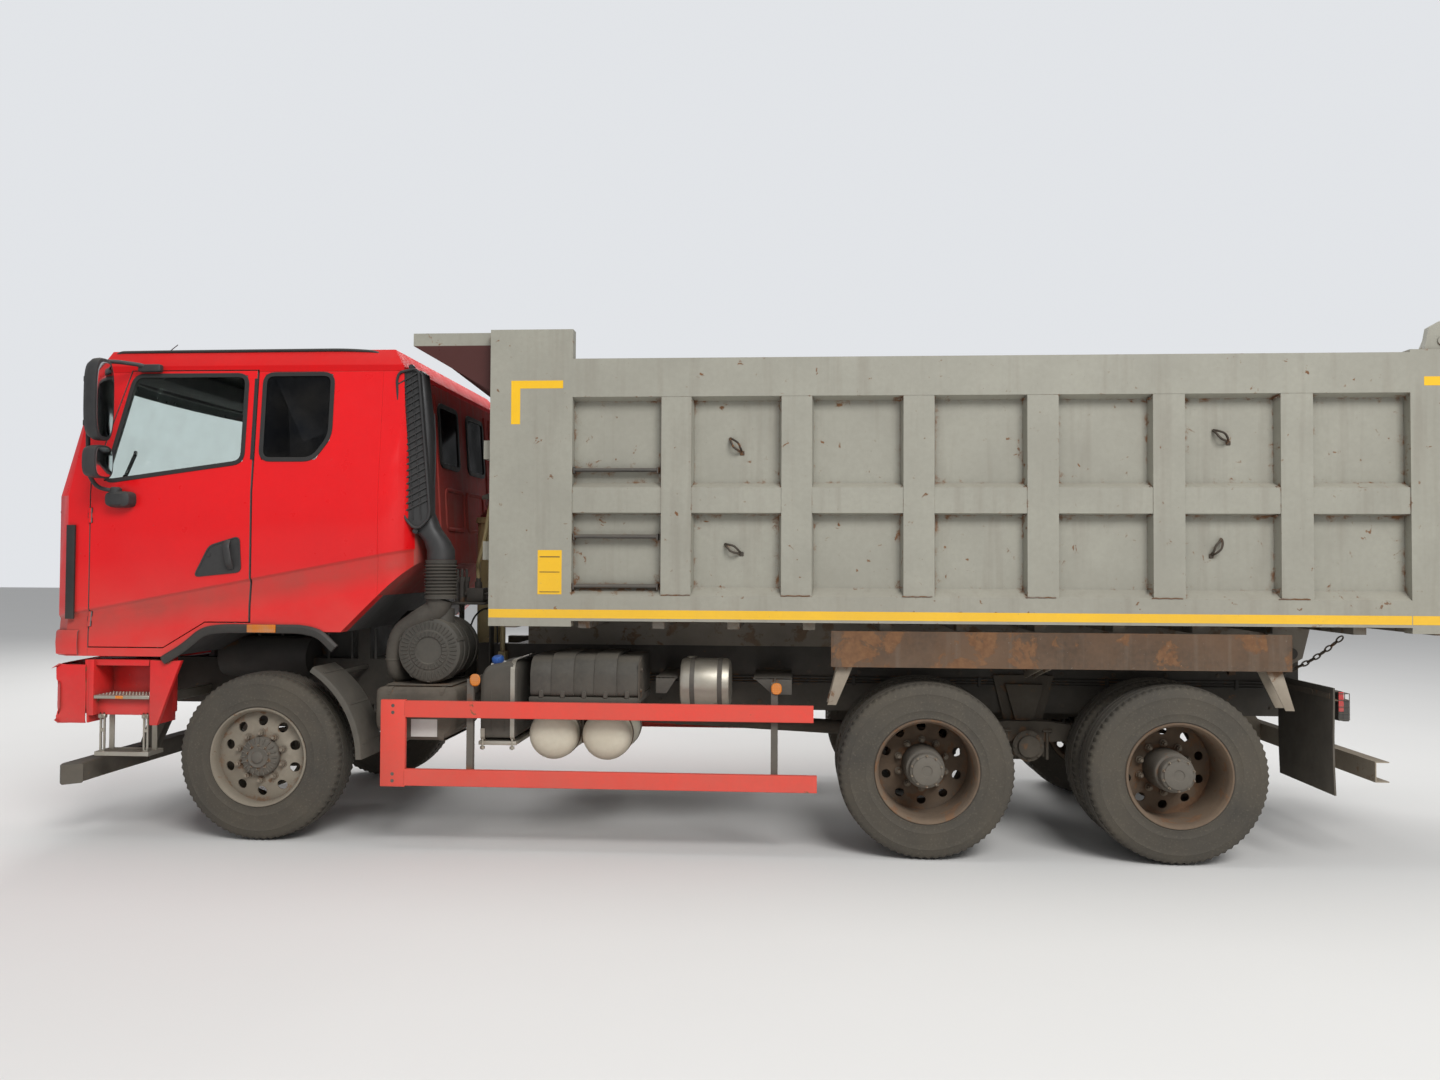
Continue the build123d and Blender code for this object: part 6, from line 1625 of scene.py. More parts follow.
for side, sign in (("left", 1), ("right", -1)):
    shells = makePiece(oneSide(mirrorShells, sign), f"mirrors_{side}", "blackPlastic", f"{side}_door_body")
    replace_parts(shells, f"{side}_mirrors")
    makePiece(oneSide(mirrorPlates, sign), f"mirrorGlass_{side}", "mirrorGlass", f"{side}_door_body")


visor = {"front": 4.074, "bow": 0.088, "half": 1.01, "steps": 28}


def visorX(y):
    return visor["front"] - visor["bow"] * (y / visor["half"]) ** 2


def makeVisor(bm):
    # smoked shade that bows round the roof's edge, on four stays
    rows = []
    steps, half = visor["steps"], visor["half"]
    ys = [-half + 2 * half * i / steps for i in range(steps + 1)]
    for x0, z0 in ((-0.17, 2.958), (-0.12, 2.957), (-0.06, 2.938), (-0.018, 2.895), (-0.002, 2.85), (0.0, 2.803)):
        row = []
        for y in ys:
            end = smoothStep(0.9, half, abs(y))
            row.append(bm.verts.new((visorX(y) + x0 * (1 - 0.25 * end) - 0.03 * end, y, z0 - 0.012 * end)))
        rows.append(row)
    faces = []
    for a, b in zip(rows, rows[1:]):
        for i in range(steps):
            faces.append(bm.faces.new((a[i], a[i + 1], b[i + 1], b[i])))
    faceOut(bm, faces)
    bmesh.ops.solidify(bm, geom=faces, thickness=0.005)
    addSweep(bm, [(visorX(y) - 0.004, y, 2.806) for y in ys], roundBar(0.005, 8))
    for y in (-0.86, -0.3, 0.3, 0.86):
        addSweep(bm, [(visorX(y) - 0.185, y, 2.945), (visorX(y) - 0.1, y, 2.938), (visorX(y) - 0.03, y, 2.88)],
            flatBar(0.03, 0.006), (0.3, 0, 1))


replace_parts(once("sunVisor", makeVisor, "visorSmoke", "cab"), "sun_visor")
print("mirrors and visor made")


# Bumper, headlamps, steps and the front underrun

bumper = {"front": 4.257, "sag": 0.15, "half": 1.17, "lamp": (0.717, 1.063)}


def bumperX(y):
    return bumper["front"] - bumper["sag"] * (min(abs(y), bumper["half"]) / bumper["half"]) ** 2


def makeBumper(bm):
    # a bowed skin with a stepped face, wrapped round to the steps, lamp openings left free
    zs = (0.698, 0.706, 0.735, 0.797, 0.933, 0.965, 1.03, 1.046, 1.052)
    push = (-0.03, -0.012, -0.004, -0.022, -0.022, -0.004, -0.002, -0.01, -0.03)
    ys = [-1.168, -1.15, -1.12, -1.063]
    inner, outer = bumper["lamp"]
    ys += [-outer + (outer - inner) * k / 4 for k in range(1, 5)]
    ys += [-inner + 2 * inner * k / 12 for k in range(1, 13)]
    ys += [inner + (outer - inner) * k / 4 for k in range(1, 5)] + [1.12, 1.15, 1.168]
    grid = []
    for z, d in zip(zs, push):
        row = []
        for y in ys:
            corner = smoothStep(1.08, 1.168, abs(y))
            row.append(bm.verts.new((bumperX(y) + d - 0.03 * corner, y, z)))
        for sign in (1, -1):
            side = [(4.06, 1.169 * sign), (3.98, 1.1695 * sign), (3.89, 1.1695 * sign)]
            made = [bm.verts.new((x, y + (d + 0.002) * 0.3 * sign, z)) for x, y in side]
            row = row + made if sign > 0 else list(reversed(made)) + row
        grid.append(row)
    faces = []
    for r in range(len(zs) - 1):
        for i in range(len(grid[0]) - 1):
            a, b, c, e = grid[r][i], grid[r][i + 1], grid[r + 1][i + 1], grid[r + 1][i]
            mid = (a.co.y + b.co.y) / 2
            if zs[r] == 0.797 and inner < abs(mid) < outer and a.co.x > 4.07:
                continue
            faces.append(bm.faces.new((a, b, c, e)))
    faceOut(bm, faces)
    bmesh.ops.solidify(bm, geom=faces, thickness=0.006)


def bumperDark(bm):
    # black lower slats, tow covers and the channel behind the skin
    for z in (0.752, 0.772):
        addSweep(bm, [(bumperX(y) - 0.004, y, z) for y in (-0.6, -0.4, -0.2, 0.0, 0.2, 0.4, 0.6)],
            flatBar(0.008, 0.01), (1, 0, 0))
    for z in (0.83, 0.865, 0.9):
        addSweep(bm, [(bumperX(y) - 0.024, y, z) for y in (-0.62, -0.4, -0.2, 0.0, 0.2, 0.4, 0.62)],
            flatBar(0.014, 0.014), (1, 0, 0))
    for sign in (1, -1):
        addBox(bm, (3.84, 0.4 * sign - 0.045, 0.76), (4.215, 0.4 * sign + 0.045, 0.9), 0.006, 2)
    addBox(bm, (4.04, -1.05, 0.905), (4.09, 1.05, 0.985), 0.006, 2)


def headlamp(bm):
    # bowl and two reflectors behind a clear lens
    for x, y in ((4.11, 0.805), (4.094, 0.965)):
        dish = [(0.0, 0.0), (0.03, 0.003), (0.05, 0.016), (0.056, 0.038), (0.058, 0.038), (0.052, 0.014),
            (0.03, -0.002), (0.0, -0.005)]
        addTurned(bm, dish, (x, y, 0.865), (1, 0, 0), 32)
        addRod(bm, (x + 0.002, y, 0.865), (x + 0.022, y, 0.865), 0.012, 14)
    addBox(bm, (4.083, 0.724, 0.804), (4.09, 1.056, 0.926), 0.002, 1)


def headlampLens(bm):
    ys = [0.724 + 0.332 * k / 8 for k in range(9)]
    low, top = [], []
    for y in ys:
        x = bumperX(y) - 0.022
        low.append(bm.verts.new((x, y, 0.804)))
        top.append(bm.verts.new((x - 0.004, y, 0.926)))
    faces = [bm.faces.new((low[i], low[i + 1], top[i + 1], top[i])) for i in range(8)]
    faceOut(bm, faces)
    bmesh.ops.solidify(bm, geom=faces, thickness=0.004)


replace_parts(once("bumperSkin", makeBumper, "stepRed"), "front_bumper")
once("bumperGrille", bumperDark, "blackPlastic")
both("headlampBowls", headlamp, "chromeRod")
both("headlampLenses", headlampLens, "windowGlass")


def makeSteps(bm):
    # red step well open to the side, with its turned rim
    addBox(bm, (3.455, 0.912, 0.742), (3.87, 0.97, 1.084), 0.006, 2)
    addPlate(bm, rect(3.838, 0.744, 3.87, 1.084), 0.93, 1.168, "Y", 0.006)
    addPlate(bm, rect(3.456, 0.69, 3.486, 1.084), 0.93, 1.166, "Y", 0.005)
    addPlate(bm, rect(3.46, 0.744, 3.866, 0.842), 0.93, 1.12, "Y", 0.006)
    addPlate(bm, rect(3.5, 1.046, 3.86, 1.084), 0.93, 1.15, "Y", 0.005)
    arcEdge = [(3.29, 1.082), (3.318, 1.01), (3.35, 0.925), (3.384, 0.835), (3.412, 0.755), (3.436, 0.69)]
    addPlate(bm, arcEdge + [(3.474, 0.69), (3.474, 1.082)], 1.136, 1.168, "Y", 0.004)
    addPlate(bm, [(3.872, 0.7), (3.884, 0.7), (3.9, 1.082), (3.872, 1.082)], 0.99, 1.16, "Y", 0.003)


def stepTreads(bm):
    # upper tread plate with raised studs, and the hanging lower tread
    addBox(bm, (3.488, 0.975, 0.846), (3.838, 1.166, 0.868), 0.003, 1)
    for i in range(16):
        for k in range(5):
            x, y = 3.505 + i * 0.021, 0.995 + k * 0.034
            addRod(bm, (x, y, 0.8675), (x, y, 0.8712), 0.006, 8, 0.004)
    for y in (0.992, 1.146):
        addBox(bm, (3.497, y - 0.002, 0.5), (3.838, y + 0.004, 0.525), 0.001, 1)
    for x in (3.497, 3.832):
        addBox(bm, (x, 0.992, 0.5), (x + 0.006, 1.148, 0.525), 0.001, 1)
    for i in range(20):
        x = 3.51 + i * 0.0168
        addBox(bm, (x, 0.994, 0.503), (x + 0.003, 1.148, 0.522), 0.0, 1)
    for k in range(6):
        y = 1.005 + k * 0.0255
        addBox(bm, (3.5, y, 0.508), (3.836, y + 0.003, 0.519), 0.0, 1)
    for x in (3.535, 3.81):
        for z0, z1 in ((0.512, 0.64), (0.64, 0.76)):
            addPlate(bm, [(x - 0.017, z0), (x + 0.017, z0), (x + 0.017, z1), (x + 0.006, z1),
                (x + 0.006, z0 + 0.02), (x - 0.006, z0 + 0.02), (x - 0.006, z1), (x - 0.017, z1)], 1.108, 1.12, "Y",
                0.0015)
        addBox(bm, (x - 0.022, 1.1, 0.724), (x + 0.022, 1.13, 0.75), 0.004, 1)
        addBox(bm, (x - 0.02, 1.1, 0.5), (x + 0.02, 1.13, 0.524), 0.003, 1)
        addBox(bm, (x - 0.017, 1.018, 0.512), (x + 0.017, 1.026, 0.748), 0.002, 1)
        addBolts(bm, [(x, 1.13, 0.737), (x, 1.13, 0.512)], (0, 1, 0), 0.008)
    for x in (3.5, 3.81):
        addBox(bm, (x, 0.432, 0.8), (x + 0.03, 0.915, 0.86), 0.004, 1)


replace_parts(both("stepWells", makeSteps, "stepRed"), "cab_steps")
both("stepTreads", stepTreads, "aluminium")
both("stepMarkers", lambda bm: addBox(bm, (3.652, 1.1655, 0.848), (3.7, 1.169, 0.866), 0.0015, 1), "amberLens")


def underrunFront(bm):
    # bent hollow bar with turned-back ends on two hangers
    path = [(3.948, 1.19, 0.3925), (3.985, 1.15, 0.3925), (3.99, 0.8, 0.3925), (3.99, -0.8, 0.3925),
        (3.985, -1.15, 0.3925), (3.948, -1.19, 0.3925)]
    ring = [(-0.058, -0.052), (-0.058, 0.052), (-0.052, 0.058), (0.052, 0.058), (0.058, 0.052), (0.058, -0.052),
        (0.052, -0.058), (-0.052, -0.058)]
    addSweep(bm, rounded(path, 0.05, 5), ring, (0, 0, 1))
    for sign in (1, -1):
        y = 0.385 * sign
        for d in (-0.04, 0.034):
            addPlate(bm, [(3.822, 0.738), (3.822, 0.6), (3.935, 0.345), (4.0, 0.345), (4.0, 0.45), (3.9, 0.738)],
                y + d, y + d + 0.006, "Y", 0.001)
        addBox(bm, (3.822, y - 0.04, 0.64), (3.9, y + 0.04, 0.646), 0.001, 1)
        addBolts(bm, [(3.86, y + 0.04 * sign, 0.7), (3.965, y + 0.04 * sign, 0.4)], (0, sign, 0), 0.01)


def underrunRear(bm):
    # open channel, its ends bent, on two legs
    z0, z1 = 0.472, 0.588
    wall = 0.006
    outline = [(-3.662, z0), (-3.738, z0), (-3.738, z0 + wall), (-3.668, z0 + wall), (-3.668, z1 - wall),
        (-3.738, z1 - wall), (-3.738, z1), (-3.662, z1)]
    addPlate(bm, outline, -1.148, 1.148, "Y")
    for sign in (1, -1):
        for d in (0.347, 0.417):
            y = d * sign
            addPlate(bm, [(-3.494, 0.738), (-3.56, 0.738), (-3.665, 0.588), (-3.665, 0.474), (-3.61, 0.474),
                (-3.494, 0.64)], y - 0.003, y + 0.003, "Y", 0.001)
        addBolts(bm, [(-3.53, 0.424 * sign, 0.7), (-3.64, 0.424 * sign, 0.53)], (0, sign, 0), 0.01)


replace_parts(once("underrunFront", underrunFront, "chassisBlack"), "underrun_bars")
once("underrunRear", underrunRear, "dustyBeige")


def tailLamp(bm):
    # three-chamber lens with a side marker
    addBox(bm, (-3.5, 0.866, 0.824), (-3.47, 0.985, 0.928), 0.006, 2)
    addBox(bm, (-3.474, 1.186, 0.872), (-3.446, 1.1895, 0.982), 0.001, 1)
    addBox(bm, (-3.5, 1.09, 0.824), (-3.47, 1.186, 0.928), 0.006, 2)


def tailLampBody(bm):
    addBox(bm, (-3.474, 0.862, 0.82), (-3.444, 1.188, 0.984), 0.006, 2)
    for y in (0.862, 0.987, 1.088, 1.186):
        addBox(bm, (-3.502, y - 0.003, 0.82), (-3.47, y + 0.003, 0.932), 0.001, 1)
    for z in (0.818, 0.928):
        addBox(bm, (-3.502, 0.86, z), (-3.47, 1.19, z + 0.005), 0.001, 1)


def lampGuard(bm):
    # bent wire cage over the lamp
    for z in (0.826, 0.862, 0.898, 0.936, 0.972):
        addPipe(bm, [(-3.446, 0.858, z), (-3.503, 0.858, z), (-3.503, 1.192, z), (-3.446, 1.192, z)], 0.0022, 0.012,
            6)
    for y in (0.9, 0.98, 1.06, 1.14, 1.192):
        addRod(bm, (-3.503, y, 0.824), (-3.503, y, 0.974), 0.0022, 6)


both("tailLampsRed", tailLamp, "redLens")
both("tailLampsAmber", lambda bm: addBox(bm, (-3.5, 0.989, 0.824), (-3.47, 1.086, 0.928), 0.006, 2), "amberLens")
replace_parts(both("tailLampBodies", tailLampBody, "blackPlastic"), "lamps")
both("lampCages", lampGuard, "dustyGrey")
print("front and rear gear made")


# What is fixed on the bed: rungs, hooks, tape, plates, welds

bed = {"ribs": (0.285, -0.409, -1.103, -1.796, -2.495, -3.187), "half": 1.2465, "rungs": (2.23, 1.84, 1.55),
    "hooks": ((-0.06, 2.375, 50), (-0.045, 1.77, 30), (-2.815, 2.42, 40), (-2.79, 1.79, 120))}


def bedRungs(bm):
    for z in bed["rungs"]:
        addPipe(bm, [(0.885, 1.2, z), (0.395, 1.2, z)], 0.0125, segments=12)
        addPipe(bm, [(0.885, 1.228, z - 0.002), (0.395, 1.228, z - 0.002)], 0.0085, segments=10)
        for x in (0.39, 0.882):
            addBox(bm, (x, 1.174, z - 0.022), (x + 0.008, 1.24, z + 0.016), 0.001, 1)


def bedHooks(bm):
    # bent lashing hooks welded to the panels
    for x, z, degrees in bed["hooks"]:
        t = radians(degrees)
        c, s = cos(t), sin(t)
        run = [(-0.05, 1.176), (-0.036, 1.206), (0.0, 1.214), (0.036, 1.206), (0.054, 1.178)]
        off = 0.02
        for sign in (1, -1):
            path = [(x + a * c - sign * off * (1 - abs(a) / 0.06) * s, y, z + a * s + sign * off
                * (1 - abs(a) / 0.06) * c) for a, y in run]
            addPipe(bm, path, 0.0065, 0.02, 8)
        addBox(bm, (x - 0.058 * c - 0.012, 1.172, z - 0.058 * s - 0.012), (x - 0.058 * c + 0.012, 1.18,
            z - 0.058 * s + 0.012), 0.002, 1)


def bedWelds(bm):
    # weld beads where the ribs meet the sill and the rails
    for i, x in enumerate(bed["ribs"]):
        for side in (-0.0885, 0.0885):
            for z in (1.552, 1.965, 2.13, 2.63):
                addSweep(bm, [(x + side - copysign(0.002, side), 1.174, z), (x + side * 1.01, 1.206, z),
                    (x + side * 1.01, 1.24, z)], roundBar(0.0032, 6))
        path = [(x - 0.085 + 0.17 * k / 8, 1.2458, 1.5 + 0.002 * sin(k * 2.3 + i)) for k in range(9)]
        addSweep(bm, path, roundBar(0.003, 6))


both("bedRungs", bedRungs, "dustyGrey", "bed")
both("bedHooks", bedHooks, "darkIron", "bed")
both("bedWelds", bedWelds, "weldRust", "bed")


# x from, x to, z from, z to
tapes = (
    (1.3835, -3.815, 1.362, 1.412), (-3.82, -4.213, 1.362, 1.412), (1.26, 0.952, 2.706, 2.752),
    (1.26, 1.206, 2.496, 2.706), (-3.892, -4.19, 2.693, 2.743), (-4.136, -4.19, 2.49, 2.693),
    (1.094, 0.952, 1.5, 1.758),
)


def bedTape(bm):
    # strips along the sill, corner marks, and the blank label plate on the front post
    y = bed["half"] - 0.0015
    for x0, x1, z0, z1 in tapes:
        addBox(bm, (x1, y - 0.001, z0), (x0, y + 0.0008, z1), 0.0, 1)


def labelBands(bm):
    # plain dark bands across the label's head and foot
    y = bed["half"] - 0.0006
    for z0, z1 in ((1.716, 1.721), (1.628, 1.632), (1.512, 1.516)):
        addBox(bm, (0.964, y, z0), (1.082, y + 0.001, z1), 0.0, 1)


both("bedTape", bedTape, "tapeYellow", "bed")
both("labelBands", labelBands, "darkIron", "bed")


def canopyGear(bm):
    # ribs below the canopy and the plate that closes it on top
    for y in (-0.8, -0.27, 0.27, 0.8):
        addPlate(bm, [(1.388, 2.64), (1.398, 2.64), (1.86, 2.985), (1.86, 3.04), (1.388, 3.04)], y - 0.004,
            y + 0.004, "Y", 0.001)
    for sign in (1, -1):
        addPlate(bm, [(1.388, 2.69), (1.4, 2.69), (1.872, 3.0), (1.872, 3.045), (1.388, 3.045)], 1.15 * sign
            - 0.004, 1.15 * sign + 0.004, "Y", 0.001)
    addBox(bm, (1.388, -1.15, 3.036), (1.874, 1.15, 3.042), 0.001, 1)


def canopyBracket(bm):
    for sign in (1, -1):
        addBox(bm, (1.388, 1.02 * sign - 0.03, 2.905), (1.47, 1.02 * sign + 0.03, 2.935), 0.004, 1)
        addBox(bm, (1.42, 1.02 * sign - 0.03, 2.938), (1.47, 1.02 * sign + 0.03, 2.975), 0.008, 2)


once("canopyRibs", canopyGear, "canopyShadeBrown", "bed")
once("wallBrackets", canopyBracket, "dustyGrey", "bed")


def gateLatch(bm):
    for sign in (1, -1):
        addRod(bm, (-4.15, 1.05 * sign, 1.372), (-4.15, 1.21 * sign, 1.372), 0.022, 20)
        addRod(bm, (-4.15, 1.1 * sign, 1.372), (-4.15, 1.13 * sign, 1.372), 0.034, 24)
    addRod(bm, (-4.185, -1.14, 1.352), (-4.185, 1.14, 1.352), 0.012, 14)


once("gateLatchBar", gateLatch, "dustyGrey", "tailgate_body")
print("bed gear made")


chain = {"start": (-3.33, 0.72, 1.035), "end": (-3.7, 0.72, 1.262), "links": 11, "sag": 0.03}


def makeChain(bm):
    # safety chain from the frame's tail to the bed's underside
    start, end, count = Vector(chain["start"]), Vector(chain["end"]), chain["links"]
    for i in range(count):
        t = (i + 0.5) / count
        p = start.lerp(end, t) + Vector((0, 0, -chain["sag"] * sin(pi * t)))
        slope = (end - start).normalized() + Vector((0, 0, -0.23 * cos(pi * t)))
        slope.normalize()
        side = Vector((0, 1, 0)) if i % 2 else slope.cross(Vector((0, 1, 0)))
        path = [p + slope * 0.0245 * cos(tau * k / 14) + side.normalized() * 0.0125 * sin(tau * k / 14)
            for k in range(14)]
        addSweep(bm, path, roundBar(0.0048, 7), closed=True)


chainPiece = once("safetyChain", makeChain, "darkIron", None)
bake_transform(chainPiece)


# Behind the cab: valve block, pipes and hoses; hoist rings


def valveGear(bm):
    addBox(bm, (1.56, 0.5, 1.415), (1.8, 0.7, 1.43), 0.003, 1)
    for x in (1.575, 1.775):
        addBox(bm, (x, 0.431, 0.96), (x + 0.01, 0.52, 1.425), 0.002, 1)
    addBox(bm, (1.59, 0.52, 1.43), (1.7, 0.64, 1.52), 0.006, 2)
    addRod(bm, (1.64, 0.58, 1.52), (1.64, 0.58, 1.56), 0.024, 20)
    addRod(bm, (1.64, 0.58, 1.56), (1.64, 0.58, 1.585), 0.016, 6)
    for x, y in ((1.73, 0.54), (1.73, 0.64), (1.772, 0.59)):
        addRod(bm, (x, y, 1.43), (x, y, 1.56), 0.017, 18)
        addRod(bm, (x, y, 1.56), (x, y, 1.59), 0.022, 6)
        addRod(bm, (x, y, 1.59), (x, y, 1.64), 0.009, 12)
    addRod(bm, (1.7, 0.56, 1.475), (1.735, 0.56, 1.475), 0.016, 6)
    for y in (0.535, 0.6):
        addRod(bm, (1.59, y, 1.48), (1.565, y, 1.48), 0.015, 6)


def standPipe(bm):
    addPipe(bm, [(1.505, 0.478, 1.1), (1.505, 0.478, 2.12)], 0.016, segments=12)
    addBox(bm, (1.48, 0.431, 0.98), (1.53, 0.5, 1.104), 0.003, 1)
    addBox(bm, (1.487, 0.46, 2.085), (1.523, 0.53, 2.125), 0.006, 2)
    addRod(bm, (1.505, 0.5, 2.105), (1.505, 0.56, 2.105), 0.02, 6)
    # stiff pale pressure pipe from its head down to the valve block
    addPipe(bm, [(1.505, 0.54, 2.105), (1.505, 0.6, 2.15), (1.508, 0.68, 2.165), (1.52, 0.735, 2.06),
        (1.56, 0.73, 1.82), (1.618, 0.66, 1.68), (1.64, 0.59, 1.65), (1.64, 0.58, 1.58)], 0.014, 0.09, 14)


def hoistRings(bm):
    # gland ring and retaining bolts on the outer tube, with its oil port
    for z, r in ((1.085, 0.112), (1.96, 0.112)):
        addTurned(bm, rect(0.0985, z, r, z + 0.028), (1.715, 0, 0), (0, 0, 1), 44)
    for i in range(8):
        a = tau * i / 8
        addRod(bm, (1.715 + 0.1045 * cos(a), 0.1045 * sin(a), 1.988), (1.715 + 0.1045 * cos(a), 0.1045 * sin(a),
            1.996), 0.0055, 6)
    addRod(bm, (1.715, 0.095, 1.15), (1.715, 0.13, 1.15), 0.022, 6)


once("valveGear", valveGear, "dustyGrey")
once("standPipe", standPipe, "hoistYellow")
once("hoistRings", hoistRings, "hoistYellow", "hoist")


def enginePipe(bm):
    # wide pipe from the cleaner's elbow round to the engine, with its clamp
    path = [(1.752, 1.0, 1.462), (1.775, 1.004, 1.39), (1.88, 1.02, 1.345), (2.01, 1.01, 1.265),
        (2.05, 0.985, 1.13), (2.046, 0.95, 0.99), (2.01, 0.78, 0.972), (1.99, 0.42, 0.972)]
    path = rounded(path, 0.09, 5)
    rings = []
    for i, p in enumerate(path):
        before, after = path[max(i - 1, 0)], path[min(i + 1, len(path) - 1)]
        along = (after - before).normalized()
        sideways = Vector((0, 1, 0)) if abs(along.y) < 0.7 else Vector((0, 0, 1))
        sideways = (sideways - along * sideways.dot(along)).normalized()
        r = 0.076 - 0.03 * smoothStep(0.0, 0.42, i / (len(path) - 1))
        rings.append(superRing(p, along.cross(sideways) * r, sideways * r, 2.0, 24))
    for i in range(1, len(rings)):
        turn = min(range(24), key=lambda k: (rings[i][k] - rings[i - 1][0]).length)
        rings[i] = rings[i][turn:] + rings[i][:turn]
        if (rings[i][1] - rings[i - 1][1]).length > (rings[i][-1] - rings[i - 1][1]).length:
            rings[i] = [rings[i][0]] + list(reversed(rings[i][1:]))
    addLoft(bm, rings)
    for z in (1.085, 1.105):
        addTurned(bm, rect(0.04, z, 0.0505, z + 0.01), (2.048, 0.974, 0.0), (0, 0, 1), 28)


once("enginePipe", enginePipe, "dustyRubber")


def makeHose(name, points, diameter, length):
    curve = bpy.data.curves.new(name, "CURVE")
    curve.dimensions = "3D"
    curve.bevel_depth = diameter / 2
    curve.bevel_resolution = 4
    curve.use_fill_caps = True
    spline = curve.splines.new("NURBS")
    spline.points.add(len(points) - 1)
    for point, place in zip(spline.points, points):
        point.co = (*place, 1.0)
    spline.order_u = 3
    spline.use_endpoint_u = True
    spline.resolution_u = 12
    hose = addObject(name, curve)
    curve.materials.append(finish["blackRubber"])
    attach(hose, "chassis")


# air hose from the subframe to the cleaner's drum; places, diameter and length in metres
airHose = {
    "points": ((1.56, 0.4, 1.15), (1.56, 0.4, 1.26), (1.575, 0.43, 1.37), (1.62, 0.5, 1.39),
               (1.67, 0.56, 1.34), (1.69, 0.59, 1.26), (1.69, 0.626, 1.23)),
    "diameter": 0.012, "length": 0.519,
}
makeHose("airHose", **airHose)
print("gear behind the cab made")


# Seats: padded cushions on steel bases

seat = {"y": 0.61, "voxel": 0.007, "pressure": 4.0, "cap": 0.012, "halfWide": 0.235}


def padBlock(low, high, name):
    # the pad before it is blown up, with turned edges
    bm = bmesh.new()
    addBox(bm, low, high, 0.028, 3)
    return toMesh(bm, name)


def leanedBack(co, hinge, angle):
    x, z = co.x - hinge[0], co.z - hinge[1]
    c, s = cos(angle), sin(angle)
    return Vector((hinge[0] + x * c - z * s, co.y, hinge[1] + x * s + z * c))


def inflate(mesh, name):
    # voxel remesh, cloth pressure for twenty frames, each point's movement capped
    holder = addObject(name, mesh)
    remesh = holder.modifiers.new("remesh", "REMESH")
    remesh.mode = "VOXEL"
    remesh.voxel_size = seat["voxel"]
    bpy.context.view_layer.update()
    shaped = bpy.data.meshes.new_from_object(holder.evaluated_get(bpy.context.evaluated_depsgraph_get()))
    holder.modifiers.clear()
    holder.data = shaped
    start = [v.co.copy() for v in shaped.vertices]
    cloth = holder.modifiers.new("cloth", "CLOTH")
    cloth.settings.use_pressure = True
    cloth.settings.uniform_pressure_force = seat["pressure"]
    cloth.settings.effector_weights.gravity = 0.0
    cloth.settings.quality = 5
    cloth.point_cache.frame_start, cloth.point_cache.frame_end = 1, 20
    scene = bpy.context.scene
    for frameNumber in range(1, 21):
        scene.frame_set(frameNumber)
    grown = holder.evaluated_get(bpy.context.evaluated_depsgraph_get()).to_mesh()
    moved = [v.co.copy() for v in grown.vertices]
    holder.evaluated_get(bpy.context.evaluated_depsgraph_get()).to_mesh_clear()
    holder.modifiers.clear()
    scene.frame_set(1)
    for v, old, new in zip(shaped.vertices, start, moved):
        step = new - old
        if step.length > seat["cap"]:
            step = step.normalized() * seat["cap"]
        v.co = old + step
    bpy.data.objects.remove(holder)
    return shaped


def makePad(name, low, high, channels, axis, lean=None):
    mesh = inflate(padBlock([l + 0.012 for l in low], [h - 0.012 for h in high], name), name)
    mid, top = (Vector(low) + Vector(high)) / 2, Vector(high)
    along, out = (0, 2) if axis == "x" else (2, 0)
    for v in mesh.vertices:
        co = v.co
        # sewn channels across the pad and a dished middle
        face = (co[out] - mid[out]) / (top[out] - mid[out])
        if face > 0.2:
            sink = sum(0.007 * exp(-((co[along] - c) / 0.008) ** 2) for c in channels)
            sink += 0.01 * (1 - min(abs(co.y - mid.y) / 0.2, 1.0) ** 2)
            co[out] -= sink * min(face, 1.0)
        if lean:
            v.co = leanedBack(co, *lean)
    for polygon in mesh.polygons:
        polygon.use_smooth = True
    pad = addObject(name, mesh)
    mesh.materials.clear()
    mesh.materials.append(finish["seatCloth"])
    smoother = pad.modifiers.new("soft", "SUBSURF")
    smoother.levels = smoother.render_levels = 1
    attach(pad, "cab")
    return pad


def seatBase(bm, y):
    addBoxes(bm, 0.006, 2, (2.73, y - 0.2, 1.31, 3.06, y + 0.2, 1.36), (2.735, y - 0.19, 1.545, 3.055, y + 0.19,
        1.6))
    # scissor legs and the gaiter folds between the plates
    for side in (-0.175, 0.165):
        addSweep(bm, [(2.76, y + side, 1.365), (3.03, y + side, 1.545)], roundBar(0.012, 8))
        addSweep(bm, [(3.03, y + side + 0.01, 1.365), (2.76, y + side + 0.01, 1.545)], roundBar(0.012, 8))
    for k in range(5):
        z = 1.375 + k * 0.034
        addBox(bm, (2.752, y - 0.16, z), (3.038, y + 0.16, z + 0.024), 0.01, 2)
    addSweep(bm, [(3.0, y + 0.22, 1.66), (2.78, y + 0.22, 1.66), (2.76, y + 0.215, 1.8)], roundBar(0.01, 8))


bases = bmesh.new()
for sign in (1, -1):
    y = seat["y"] * sign
    half = seat["halfWide"]
    side = "left" if sign > 0 else "right"
    seatBase(bases, y)
    cushion = makePad(f"seatCushion_{side}", (2.725, y - half, 1.6), (3.213, y + half, 1.728), (2.86, 2.99, 3.11),
        "x")
    if sign > 0:
        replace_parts(cushion, "seats")
    makePad(f"seatBack_{side}", (2.64, y - half + 0.01, 1.735), (2.76, y + half - 0.01, 2.3), (1.88, 2.02, 2.16),
        "z", ((2.72, 1.735), 0.1))
    makePad(f"seatHead_{side}", (2.635, y - 0.15, 2.325), (2.735, y + 0.15, 2.47), (), "z", ((2.72, 1.735), 0.1))
makePiece(bases, "seatBases", "cabinGrey", "cab")


# Dash cover, inside trim


